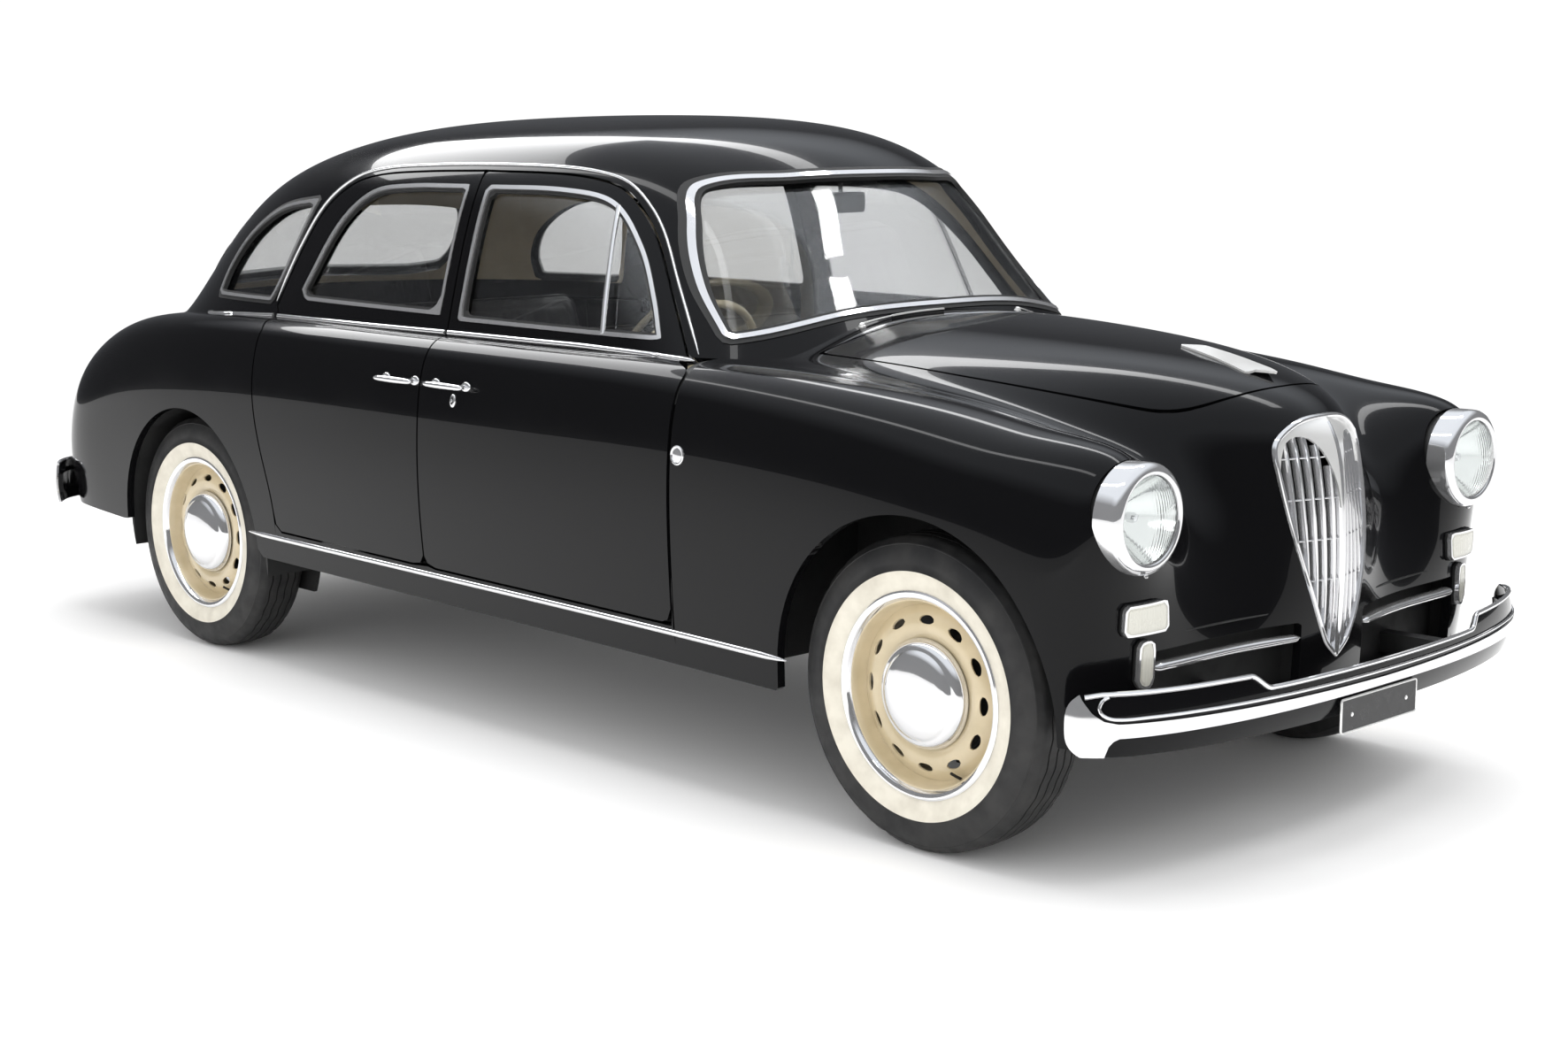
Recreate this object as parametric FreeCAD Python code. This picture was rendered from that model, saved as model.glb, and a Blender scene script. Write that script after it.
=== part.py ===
"""Four-door classic saloon car of the early 1950s, built as separate panels, glass, running gear and interior.

Frame: +X forward, +Y to the car's left, +Z up, in millimetres, origin on the floor under the middle of the car.
The skin is two freeform surfaces drawn by hand on a lines plan: the lower body and the glasshouse.
"""
import math
import os

import FreeCAD
import Part

Vec = FreeCAD.Vector
os.makedirs("parts", exist_ok=True)

# Lines plan: the whole plan follows the wheelbase, the half width and the shoulder height
WHEELBASE = 2860.0
WHEELBASE_STATION_SHARE = 2.86
STATION = WHEELBASE / WHEELBASE_STATION_SHARE
HALF_WIDTH = 800.0
HALF_WIDTH_BEAM_SHARE = 0.8
BEAM = HALF_WIDTH / HALF_WIDTH_BEAM_SHARE
SHOULDER_HEIGHT = 1000.0
LIFT = SHOULDER_HEIGHT
AXLE_SHIFT_SHARE = 0.125
FRONT_AXLE_X = WHEELBASE / 2 + AXLE_SHIFT_SHARE * STATION
REAR_AXLE_X = FRONT_AXLE_X - WHEELBASE

# Wheels and tyres
TYRE_RADIUS = 341.5
TYRE_WIDTH = 165.0
TRACK = 1347.0
RIM_SEAT_RADIUS = 201.0
RIM_FLANGE_RADIUS = 214.0
RIM_WIDTH = 122.0
RIM_WALL = 5.0
TYRE_WALL = 12.0
DISC_THICKNESS = 5.0
DISC_OFFSET = 22.0
CAP_RADIUS = 118.0
CAP_DEPTH = 34.0
HUB_RADIUS = 46.0
HUB_BORE_RADIUS = 19.0
HUB_LENGTH = 58.0
DRUM_RADIUS = 138.0
DRUM_DEPTH = 44.0
DRUM_WALL = 8.0
VENT_COUNT = 12
VENT_CIRCLE_RADIUS = 156.0
VENT_LENGTH = 38.0
VENT_WIDTH = 17.0
RUNNING_CLEARANCE = 0.3
SEAT_CLEARANCE = 0.3

# Sheet and gaps
PANEL_WALL = 22.0
DOOR_WALL = 58.0
ROOF_WALL = 34.0
DOOR_GAP = 8.0
LID_GAP = 8.0
GLASS_THICKNESS = 5.0
GLASS_INSET = 14.0
OVERRUN = 200.0
LOFT_DROP = 60.0
NET_DEGREE = 3

# Arches
FRONT_ARCH_RADIUS = 382.0
REAR_ARCH_RADIUS = 366.0
ARCH_RISE = 6.0
WHEELHOUSE_WALL = 10.0
WHEELHOUSE_CLEARANCE = 14.0

# Lower body: poles of each station from the centre line down to the sill, as shares of STATION, BEAM and LIFT
BODY_NET_SHARES = [
    [(2.075, 0, .25), (2.07, .12, .25), (2.06, .28, .25), (2.05, .42, .25), (2.03, .56, .25), (1.99, .66, .25),
     (1.96, .72, .25), (1.93, .755, .25), (1.90, .77, .25)],
    [(2.10, 0, .42), (2.085, .12, .42), (2.06, .28, .45), (2.05, .42, .45), (2.04, .58, .44), (2.00, .71, .42),
     (1.95, .765, .37), (1.90, .775, .31), (1.85, .775, .25)],
    [(2.115, 0, .60), (2.08, .13, .60), (2.01, .27, .62), (2.01, .42, .62), (2.035, .60, .62), (1.99, .745, .60),
     (1.92, .785, .50), (1.85, .785, .38), (1.78, .78, .25)],
    [(2.105, 0, .80), (2.06, .15, .80), (1.93, .27, .76), (1.925, .40, .73), (2.075, .60, .815), (2.02, .76, .765),
     (1.85, .79, .60), (1.75, .79, .44), (1.68, .78, .25)],
    [(2.075, 0, .915), (2.02, .17, .91), (1.86, .30, .85), (1.85, .42, .815), (2.045, .60, .925), (1.945, .755, .86),
     (1.75, .795, .68), (1.65, .79, .48), (1.58, .78, .25)],
    [(1.96, 0, .985), (1.90, .20, .975), (1.76, .36, .92), (1.73, .46, .865), (1.80, .60, .93), (1.70, .765, .89),
     (1.60, .80, .72), (1.52, .79, .50), (1.48, .78, .25)],
    [(1.70, 0, 1.04), (1.68, .22, 1.03), (1.58, .40, .975), (1.56, .49, .92), (1.58, .60, .962), (1.50, .765, .93),
     (1.42, .80, .74), (1.36, .79, .50), (1.34, .78, .25)],
    [(1.30, 0, 1.075), (1.30, .24, 1.065), (1.28, .43, 1.00), (1.27, .52, .965), (1.26, .62, .985), (1.20, .765, .96),
     (1.15, .80, .76), (1.12, .79, .50), (1.10, .775, .25)],
    [(.85, 0, 1.09), (.85, .26, 1.08), (.85, .46, 1.02), (.85, .55, .99), (.84, .65, 1.005), (.82, .765, .975),
     (.80, .80, .77), (.80, .79, .50), (.80, .77, .25)],
    [(.35, 0, 1.05), (.35, .26, 1.04), (.35, .46, 1.0), (.35, .57, .985), (.35, .675, 1.0), (.35, .765, .975),
     (.35, .80, .78), (.35, .795, .50), (.35, .765, .25)],
    [(-.30, 0, 1.0), (-.30, .26, 1.0), (-.30, .46, 1.0), (-.30, .57, .985), (-.30, .685, 1.0), (-.30, .77, .975),
     (-.30, .805, .78), (-.30, .80, .50), (-.30, .765, .25)],
    [(-.95, 0, 1.0), (-.95, .26, 1.0), (-.95, .46, 1.0), (-.95, .57, .985), (-.95, .685, 1.0), (-.95, .77, .98),
     (-.95, .805, .78), (-.95, .80, .50), (-.95, .77, .25)],
    [(-1.45, 0, 1.0), (-1.45, .26, 1.0), (-1.45, .46, .99), (-1.45, .57, .975), (-1.45, .67, .985), (-1.42, .765, .96),
     (-1.40, .80, .77), (-1.38, .80, .50), (-1.36, .775, .25)],
    [(-1.85, 0, .99), (-1.83, .26, .985), (-1.80, .44, .97), (-1.80, .56, .955), (-1.80, .65, .95), (-1.76, .75, .91),
     (-1.72, .79, .74), (-1.68, .79, .50), (-1.64, .775, .25)],
    [(-2.09, 0, .89), (-2.08, .26, .885), (-2.07, .42, .88), (-2.06, .54, .87), (-2.05, .64, .845), (-2.01, .74, .79),
     (-1.95, .78, .68), (-1.89, .785, .48), (-1.84, .77, .25)],
    [(-2.20, 0, .78), (-2.195, .26, .775), (-2.185, .42, .765), (-2.17, .54, .75), (-2.15, .64, .72),
     (-2.09, .735, .66), (-2.03, .77, .57), (-1.97, .775, .44), (-1.92, .765, .25)],
    [(-2.23, 0, .60), (-2.225, .26, .60), (-2.215, .42, .59), (-2.20, .54, .58), (-2.18, .635, .55), (-2.13, .72, .51),
     (-2.08, .755, .45), (-2.02, .765, .36), (-1.97, .755, .25)],
    [(-2.18, 0, .44), (-2.175, .26, .44), (-2.165, .42, .43), (-2.15, .53, .425), (-2.13, .60, .41), (-2.10, .67, .39),
     (-2.06, .715, .35), (-2.02, .73, .30), (-1.99, .73, .25)],
    [(-2.13, 0, .25), (-2.125, .26, .25), (-2.12, .42, .25), (-2.11, .52, .25), (-2.10, .58, .25), (-2.08, .64, .25),
     (-2.06, .68, .25), (-2.04, .71, .25), (-2.02, .72, .25)],
]
# Glasshouse: poles of each station from the centre line down to the belt
GLASSHOUSE_NET_SHARES = [
    [(1.09, 0, .93), (1.08, .20, .93), (1.05, .40, .93), (.98, .57, .93), (.89, .67, .93), (.80, .70, .93)],
    [(.95, 0, 1.08), (.94, .20, 1.08), (.91, .41, 1.07), (.85, .59, 1.05), (.74, .68, 1.00), (.62, .705, .93)],
    [(.83, 0, 1.26), (.82, .20, 1.26), (.785, .40, 1.245), (.71, .565, 1.21), (.51, .66, 1.12), (.36, .71, .93)],
    [(.70, 0, 1.44), (.69, .19, 1.435), (.64, .38, 1.415), (.55, .535, 1.37), (.28, .635, 1.22), (.14, .71, .93)],
    [(.45, 0, 1.54), (.44, .18, 1.535), (.39, .38, 1.51), (.29, .54, 1.45), (.05, .625, 1.27), (-.05, .71, .93)],
    [(.05, 0, 1.555), (.04, .18, 1.55), (.02, .39, 1.525), (-.03, .55, 1.465), (-.15, .63, 1.29), (-.20, .71, .93)],
    [(-.40, 0, 1.552), (-.40, .18, 1.547), (-.40, .39, 1.52), (-.40, .55, 1.46), (-.42, .63, 1.28), (-.45, .71, .93)],
    [(-.93, 0, 1.53), (-.91, .18, 1.525), (-.88, .38, 1.495), (-.83, .535, 1.435), (-.77, .62, 1.27), (-.75, .70, .93)],
    [(-1.40, 0, 1.435), (-1.38, .18, 1.43), (-1.33, .37, 1.40), (-1.24, .51, 1.345), (-1.12, .60, 1.21),
     (-1.04, .69, .93)],
    [(-1.69, 0, 1.27), (-1.67, .18, 1.265), (-1.61, .36, 1.24), (-1.52, .49, 1.19), (-1.40, .58, 1.10),
     (-1.30, .67, .93)],
    [(-1.86, 0, 1.07), (-1.84, .18, 1.07), (-1.79, .35, 1.055), (-1.71, .47, 1.03), (-1.61, .56, 1.00),
     (-1.52, .64, .93)],
    [(-1.97, 0, .93), (-1.95, .18, .93), (-1.91, .34, .93), (-1.84, .44, .93), (-1.76, .53, .93), (-1.70, .60, .93)],
]

# Outlines in side view, as shares of STATION and LIFT
UNDERSIDE_SHARES = [(2.4, .30), (1.94, .30), (1.20, .292), (-.95, .322), (-1.64, .341), (-2.4, .375)]
FRONT_DOOR_SHARES = [
    (-.135, .399), (.825, .389), (.825, .975), (.752, .992), (.64, 1.136), (.528, 1.273), (.422, 1.353),
    (.337, 1.385), (.175, 1.404), (-.135, 1.409)]
REAR_DOOR_SHARES = [
    (-.135, 1.409), (-.398, 1.404), (-.611, 1.392), (-.73, 1.366), (-.83, 1.298), (-.908, 1.172), (-.979, 1.014),
    (-.925, .965), (-.921, .90), (-.919, .80), (-.905, .72), (-.885, .65), (-.845, .52), (-.828, .408), (-.135, .399)]
FRONT_WINDOW_SHARES = [
    (-.095, 1.035), (.655, 1.030), (.602, 1.116), (.509, 1.236), (.377, 1.337), (.202, 1.366), (-.095, 1.370)]
REAR_WINDOW_SHARES = [
    (-.178, 1.045), (-.175, 1.370), (-.453, 1.366), (-.616, 1.345), (-.732, 1.264), (-.831, 1.108), (-.862, 1.050)]
QUARTER_WINDOW_SHARES = [
    (-1.012, 1.036), (-.966, 1.124), (-.888, 1.321), (-1.112, 1.290), (-1.28, 1.210), (-1.361, 1.116),
    (-1.375, 1.034)]
# Screens in front view and rear view, as shares of BEAM and LIFT
WINDSCREEN_SHARES = [(0, 1.092), (.30, 1.082), (.598, 1.034), (.575, 1.150), (.52, 1.290), (.455, 1.383), (.25, 1.403),
                     (0, 1.408)]
BACKLIGHT_SHARES = [(0, 1.060), (.34, 1.055), (.43, 1.070), (.44, 1.12), (.415, 1.22), (.36, 1.285), (0, 1.300)]
BOOT_SHARES = [(0, .895), (.40, .885), (.47, .85), (.49, .60), (.45, .535), (0, .530)]
# Bonnet in plan, as shares of STATION and BEAM
BONNET_SHARES = [(1.045, 0), (1.035, .20), (.985, .47), (1.18, .455), (1.43, .43), (1.63, .385), (1.80, .31),
                 (1.88, .24), (1.93, .14), (1.95, 0)]
SPLIT_FRONT_SHARE = .833
SPLIT_REAR_SHARE = -.836
NOSE_START_SHARE = 1.60
NOSE_HALF_SHARE = .43
COWL_START_SHARE = 1.12
COWL_HALF_SHARE = .475
COWL_FLOOR_SHARE = .80
WINDOW_CORNER = 28.0
DOOR_CORNER = 24.0
LID_CORNER = 40.0

# Gap between the doors' frames widens outward, clear of their swing
FRAME_GAP_OUT = 28.0
B_LINE_SHARE = -.135
FRAME_LEAN_SHARES = [(.660, 1.0), (.541, 1.39)]
JAMB_OUTER_Y = 735.0
JAMB_INNER_Y = 620.0
JAMB_SETBACK = 16.0
JAMB_LOW_Z = 860.0

# Hinges
FRONT_HINGE_X_SHARE = .797
REAR_HINGE_X_SHARE = -.826
FRONT_HINGE_Y = 778.0
REAR_HINGE_Y = 784.0
HINGE_PIN_RADIUS = 4.0
HINGE_PIN_HALF = 27.0
HINGE_EYE_RADIUS = 7.0
HINGE_ARM_HEIGHT = 30.0
HINGE_ROOM = 3.0
HINGE_SWEEP = 6.0
FRONT_HINGE_HEIGHTS = (540.0, 760.0)
REAR_HINGE_HEIGHTS = (570.0, 720.0)
POST_FACE_Y = 695.0
REAR_POST_FACE_Y = 655.0
POST_WIDTH = 50.0
POST_LENGTH = 70.0
POST_TOP = 895.0
DOOR_ZONE_REAR_SHARE = -.98
SILL_CLEAR_Z = 382.0
AXLE_SLOT_HALF = 62.0
AXLE_SLOT_RISE = 90.0
AXLE_SLOT_INNER = 560.0
FIREWALL_SIDE_TOP = 935.0
FIREWALL_LANDING = 360.0
LATCH_HALF_WIDTH = 300.0
LATCH_TOP = 575.0

# Floor and bulkheads
FLOOR_THICKNESS = 14.0
FLOOR_TOP = 336.0
FIREWALL_X_SHARE = 1.03
FIREWALL_THICKNESS = 12.0
BAY_HALF_WIDTH = 392.0
BAY_WALL_TOP = 800.0
SEAT_PANEL_X_SHARE = -1.16
BOOT_FLOOR_TOP = 470.0
FLOOR_FRONT_SHARE = 1.98
FLOOR_REAR_SHARE = -2.16
TUNNEL_HALF_WIDTH = 90.0
TUNNEL_TOP = 410.0
TUNNEL_REAR_SHARE = -.58
TAIL_PANEL_MARGIN = 24.0
RAIL_HALF_SPAN = 330.0
RAIL_WIDTH = 60.0
RAIL_BOTTOM = 250.0

# Axles
KINGPIN_Y = 598.0
PILLAR_RADIUS = 14.0
PILLAR_HALF_HEIGHT = 150.0
ARM_RADIUS = 15.0
SLEEVE_RADIUS = 25.0
SLEEVE_HALF_HEIGHT = 62.0
SPINDLE_ROOT_RADIUS = 24.0
CROSSMEMBER_WIDTH = 110.0
CROSSMEMBER_HALF_SPAN = 392.0
CROSSMEMBER_DROP = 24.0
PILLAR_TAIL = 20.0
TOWER_RISE = 28.0
REAR_TUBE_RADIUS = 34.0
DIFFERENTIAL_RADIUS = 100.0
DIFFERENTIAL_LENGTH = 190.0
SPRING_WIDTH = 50.0
SPRING_THICKNESS = 26.0
SPRING_HALF_SPAN = 520.0
SPRING_Y = 440.0

# Engine, radiator, tank and exhaust
ENGINE_LENGTH = 560.0
ENGINE_WIDTH = 520.0
ENGINE_HEIGHT = 500.0
ENGINE_REAR_SHARE = 1.16
ENGINE_BOTTOM = 310.0
GEARBOX_RADIUS = 70.0
RADIATOR_WIDTH = 420.0
RADIATOR_HEIGHT = 480.0
RADIATOR_DEPTH = 60.0
RADIATOR_X_SHARE = 1.86
TANK_LENGTH = 420.0
TANK_WIDTH = 560.0
TANK_HEIGHT = 120.0
TANK_REAR_SHARE = -2.08
EXHAUST_RADIUS = 19.0
SILENCER_RADIUS = 62.0
SILENCER_LENGTH = 480.0
EXHAUST_Y = 210.0
EXHAUST_Z = 290.0

# Bumpers
BUMPER_DEPTH = 26.0
BUMPER_HEIGHT = 125.0
BUMPER_Z = 374.5
BUMPER_STEP_HALF = 410.0
BUMPER_STEP_DROP = 28.0
FRONT_BUMPER_SHARES = [(2.215, 0), (2.203, .30), (2.165, .55), (2.105, .73), (2.04, .805), (1.985, .822)]
REAR_BUMPER_SHARES = [(-2.215, 0), (-2.213, .30), (-2.20, .55), (-2.155, .72), (-2.08, .80), (-2.0, .822)]
BUMPER_RISE = 40.0
IRON_WIDTH = 40.0
IRON_HEIGHT = 46.0
IRON_Y = 360.0

# Grille
GRILLE_TOP_SHARE = .915
GRILLE_TIP_SHARE = .395
GRILLE_SHARES = [(0, .915), (.09, .905), (.152, .865), (.158, .80), (.135, .66), (.095, .54), (.045, .435), (0, .395)]
GRILLE_BAR_COUNT = 13
GRILLE_BAR_WIDTH = 7.0
GRILLE_BAR_DEPTH = 16.0
GRILLE_FRAME_WIDTH = 17.0
GRILLE_PROUD = 6.0
GRILLE_RIB = 9.0
SLAT_COUNT = 5
SLAT_HEIGHT = 4.0
INTAKE_BOTTOM_SHARE = .325
INTAKE_TOP_SHARE = .485
INTAKE_HALF_SHARE = .575
INTAKE_INNER_SHARE = .118
INTAKE_BAR_RADIUS = 7.0
INTAKE_BAR_Z_SHARE = .452

# Lamps
HEADLAMP_Y = 614.0
HEADLAMP_Z = 759.0
HEADLAMP_FRONT_X_SHARE = 2.055
HEADLAMP_RADIUS = 113.0
HEADLAMP_GLASS_RADIUS = 90.0
HEADLAMP_DEPTH = 190.0
HEADLAMP_DOME = 26.0
TAIL_LAMP_Y = 640.0
TAIL_LAMP_Z = 700.0
TAIL_LAMP_RADIUS = 32.0
TAIL_LAMP_LENGTH = 40.0
SIDELAMP_WIDTH = 120.0
SIDELAMP_HEIGHT = 64.0
SIDELAMP_DEPTH = 34.0
SIDELAMP_Z = 558.0
SIDELAMP_Y = 600.0
OVAL_WIDTH = 42.0
OVAL_HEIGHT = 98.0
OVAL_Z = 465.0

# Plates
PLATE_WIDTH = 290.0
PLATE_HEIGHT = 72.0
PLATE_THICKNESS = 4.0
FRONT_PLATE_Y = -24.0

# Interior
SEAT_WIDTH = 520.0
SEAT_Y = 300.0
SEAT_DEPTH = 480.0
SEAT_CUSHION = 160.0
SEAT_BACK = 110.0
SEAT_BACK_TOP = 1010.0
SEAT_BOTTOM_GAP = 60.0
REAR_SEAT_GAP = 12.0
FRONT_SEAT_X_SHARE = .02
REAR_SEAT_X_SHARE = -.64
REAR_SEAT_WIDTH = 1060.0
SEAT_ROUND = 40.0
SEAT_LEG = 36.0
SEAT_BACK_LEAN_SHARE = .20
DASH_X_SHARE = .80
DASH_DEPTH = 90.0
DASH_TOP = 985.0
DASH_HEIGHT = 210.0
DASH_HALF_WIDTH = 570.0
DRIVER_Y = -360.0
WHEEL_HUB_X = 420.0
WHEEL_HUB_Z = 905.0
COLUMN_SLOPE = 28.0
STEERING_RADIUS = 208.0
STEERING_RIM = 11.0
STEERING_HUB_RADIUS = 34.0
STEERING_SPOKE = 9.0
COLUMN_RADIUS = 19.0
SHAFT_RADIUS = 10.0
MIRROR_WIDTH = 170.0
MIRROR_HEIGHT = 52.0
MIRROR_DEPTH = 16.0
MIRROR_X = 600.0
MIRROR_Z = 1330.0
MIRROR_STEM = 6.0

# Handles and ornament
HANDLE_LENGTH = 165.0
HANDLE_RADIUS = 8.0
HANDLE_FOOT_RADIUS = 6.0
HANDLE_STANDOFF = 26.0
HANDLE_Z = 880.0
FRONT_HANDLE_SHARE = -.005
REAR_HANDLE_SHARE = -.220
ORNAMENT_START_SHARE = 1.66
ORNAMENT_END_SHARE = 1.93
ORNAMENT_HALF_WIDTH = 52.0
ORNAMENT_HEIGHT = 26.0
WIPER_RADIUS = 5.0
WIPER_SHARES = [((.962, -.36), (.998, -.06)), ((.980, .30), (.905, .58))]
HANDLE_FOOT_SHARE = .38
SPEAR_SHARES = [(1.66, 0), (1.88, 1), (1.875, .6), (1.915, 0), (1.875, -.6), (1.88, -1)]
SPOKE_ANGLES = (0.0, 180.0, 90.0)
LENS_ROUND_SHARE = .15
OVAL_ROUND_SHARE = .48
STEER_ARM = 110.0
STEER_ARM_WIDTH = 16.0
SPRING_FRONT_SHARE = .78
TREAD_SHARE = .70
TYRE_SHOULDER_SHARE = .88
RIM_WELL = 14.0
WELL_SHARE = .62
WELL_INNER_SHARE = .45
VENT_ROUND_SHARE = .48
CAP_EDGE = 8.0
SPINDLE_SINK = 1.0


def at(share_point):
    x, y, z = share_point
    return Vec(x * STATION, y * BEAM, z * LIFT)


def full_rows(net_shares):
    """Each station from the right sill over the centre line to the left sill."""
    rows = []
    for station in net_shares:
        left = [at(p) for p in station]
        right = [Vec(p.x, -p.y, p.z) for p in left[1:]]
        rows.append(list(reversed(right)) + left)
    return rows


def knots_for(count):
    spans = count - NET_DEGREE
    values = [i / spans for i in range(spans + 1)]
    mults = [NET_DEGREE + 1] + [1] * (spans - 1) + [NET_DEGREE + 1]
    return values, mults


def surface_of(rows):
    u_values, u_mults = knots_for(len(rows))
    v_values, v_mults = knots_for(len(rows[0]))
    surface = Part.BSplineSurface()
    surface.buildFromPolesMultsKnots(rows, u_mults, v_mults, u_values, v_values, False, False, NET_DEGREE, NET_DEGREE)
    return surface


def greville(count):
    values, mults = knots_for(count)
    flat = [v for v, m in zip(values, mults) for _ in range(m)]
    return [sum(flat[i + 1:i + 1 + NET_DEGREE]) / NET_DEGREE for i in range(count)]


def inset_rows(rows, depth):
    """The same net moved inward along its own normals; the open rim is carried below the outer one."""
    surface = surface_of(rows)
    us = greville(len(rows))
    vs = greville(len(rows[0]))
    rim = rows[0][0].z
    result = []
    for i, row in enumerate(rows):
        moved = []
        for j, pole in enumerate(row):
            u = min(max(us[i], EDGE_SHARE), 1 - EDGE_SHARE)
            v = min(max(vs[j], EDGE_SHARE), 1 - EDGE_SHARE)
            normal = surface.normal(u, v)
            inside = Vec(0, 0, SHOULDER_HEIGHT * CORE_SHARE) - pole
            if normal.dot(inside) < 0:
                normal = normal * -1
            shifted = pole + normal * depth
            if abs(pole.z - rim) < SEAT_CLEARANCE:
                shifted.z = rim - LOFT_DROP
            moved.append(shifted)
        result.append(moved)
    return result


EDGE_SHARE = 0.001
CORE_SHARE = 0.55


def solid_of(rows):
    surface = surface_of(rows)
    skin = surface.toShape()
    edges = Part.sortEdges(skin.Edges)[0]
    cap = Part.Face(Part.Wire(edges))
    shell = Part.Shell([skin, cap])
    solid = Part.Solid(shell)
    if solid.Volume < 0:
        solid.reverse()
    return solid


def rounded_wire(points, radius):
    """Closed outline through the points, its corners rounded by an arc of the radius or less."""
    count = len(points)
    cuts = []
    for i in range(count):
        before, here, after = points[i - 1], points[i], points[(i + 1) % count]
        a = before - here
        b = after - here
        angle = a.getAngle(b)
        room = min(a.Length, b.Length) * CORNER_ROOM_SHARE
        if radius <= 0 or angle > math.pi * STRAIGHT_SHARE:
            cuts.append((here, None, here))
            continue
        reach = min(radius / math.tan(angle / 2), room)
        bow = reach * math.tan(angle / 2)
        a.normalize()
        b.normalize()
        start = here + a * reach
        end = here + b * reach
        axis = (a + b).normalize()
        middle = here + axis * (bow / math.sin(angle / 2) - bow)
        cuts.append((start, middle, end))
    edges = []
    for i in range(count):
        start, middle, end = cuts[i]
        if middle is not None:
            edges.append(Part.Arc(start, middle, end).toShape())
        following = cuts[(i + 1) % count][0]
        if (following - end).Length > TINY:
            edges.append(Part.makeLine(end, following))
    return Part.Wire(edges)


CORNER_ROOM_SHARE = 0.45
STRAIGHT_SHARE = 0.98
TINY = 0.001


def prism(points, sweep, radius=0.0):
    return Part.Face(rounded_wire(points, radius)).extrude(sweep)


def side_prism(shares, y0, y1, radius=0.0, grow=0.0):
    points = [Vec(x * STATION, y0, z * LIFT) for x, z in shares]
    face = Part.Face(rounded_wire(points, radius))
    if grow:
        face = Part.Face(face.OuterWire.makeOffset2D(grow, 0, False, False, True))
    return face.extrude(Vec(0, y1 - y0, 0))


def mirrored_outline(shares):
    return list(shares) + [(-a, b) for a, b in reversed(shares) if a != 0]


def end_prism(half_shares, x0, x1, radius=0.0, grow=0.0):
    points = [Vec(x0, y * BEAM, z * LIFT) for y, z in mirrored_outline(half_shares)]
    face = Part.Face(rounded_wire(points, radius))
    if grow:
        face = Part.Face(face.OuterWire.makeOffset2D(grow, 0, False, False, True))
    return face.extrude(Vec(x1 - x0, 0, 0))


def plan_prism(half_shares, z0, z1, radius=0.0, grow=0.0):
    outline = list(half_shares) + [(x, -y) for x, y in reversed(half_shares) if y != 0]
    points = [Vec(x * STATION, y * BEAM, z0) for x, y in outline]
    face = Part.Face(rounded_wire(points, radius))
    if grow:
        face = Part.Face(face.OuterWire.makeOffset2D(grow, 0, False, False, True))
    return face.extrude(Vec(0, 0, z1 - z0))


def block(x0, x1, y0, y1, z0, z1):
    return Part.makeBox(x1 - x0, y1 - y0, z1 - z0, Vec(x0, y0, z0))


def rod(start, end, radius):
    return Part.makeCylinder(radius, (end - start).Length, start, end - start)


def flip(shape):
    return shape.mirror(Vec(0, 0, 0), Vec(0, 1, 0))


def both(shape):
    return [shape, flip(shape)]


def solids(shape):
    found = []
    for item in shape if isinstance(shape, list) else [shape]:
        found.extend(item.Solids)
    return [s for s in found if s.Volume > CRUMB_VOLUME]


CRUMB_VOLUME = 2000.0
NODES = {}


def keep(name, shape):
    pieces = solids(shape)
    NODES[name] = pieces[0] if len(pieces) == 1 else Part.makeCompound(pieces)


# Skins
body_rows = full_rows(BODY_NET_SHARES)
glasshouse_rows = full_rows(GLASSHOUSE_NET_SHARES)
body_outer = solid_of(body_rows)
body_inner = solid_of(inset_rows(body_rows, PANEL_WALL))
body_fit = solid_of(inset_rows(body_rows, PANEL_WALL + SEAT_CLEARANCE))
body_deep = solid_of(inset_rows(body_rows, DOOR_WALL))
body_touch = solid_of(inset_rows(body_rows, -SEAT_CLEARANCE))
roof_outer = solid_of(glasshouse_rows)
roof_inner = solid_of(inset_rows(glasshouse_rows, ROOF_WALL))

FAR_X = WHEELBASE
FAR_Y = HALF_WIDTH + OVERRUN
FAR_Z = SHOULDER_HEIGHT * 2
MID_Y = HALF_WIDTH * .42

under_points = [Vec(x * STATION, -FAR_Y, z * LIFT) for x, z in UNDERSIDE_SHARES]
under_points += [Vec(-FAR_X, -FAR_Y, -OVERRUN), Vec(FAR_X, -FAR_Y, -OVERRUN)]
underside = prism(under_points, Vec(0, FAR_Y * 2, 0))

axle_z = TYRE_RADIUS


def arch(x, radius):
    height = axle_z + ARCH_RISE
    tunnel = Part.makeCylinder(radius, FAR_Y * 2, Vec(x, -FAR_Y, height), Vec(0, 1, 0))
    return tunnel.fuse(block(x - radius, x + radius, -FAR_Y, FAR_Y, -OVERRUN, height))


arches = arch(FRONT_AXLE_X, FRONT_ARCH_RADIUS).fuse(arch(REAR_AXLE_X, REAR_ARCH_RADIUS))

shell = body_outer.cut(body_inner).cut(roof_inner).cut(underside).cut(arches)

bonnet_cut = plan_prism(BONNET_SHARES, SHOULDER_HEIGHT * .80, FAR_Z, 0.0, 0.0)
bonnet_keep = plan_prism(BONNET_SHARES, SHOULDER_HEIGHT * .80, FAR_Z, 0.0, -LID_GAP)
boot_cut = end_prism(BOOT_SHARES, -FAR_X, -STATION * 1.92, LID_CORNER, 0.0)
boot_keep = end_prism(BOOT_SHARES, -FAR_X, -STATION * 1.92, LID_CORNER, -LID_GAP)

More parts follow.
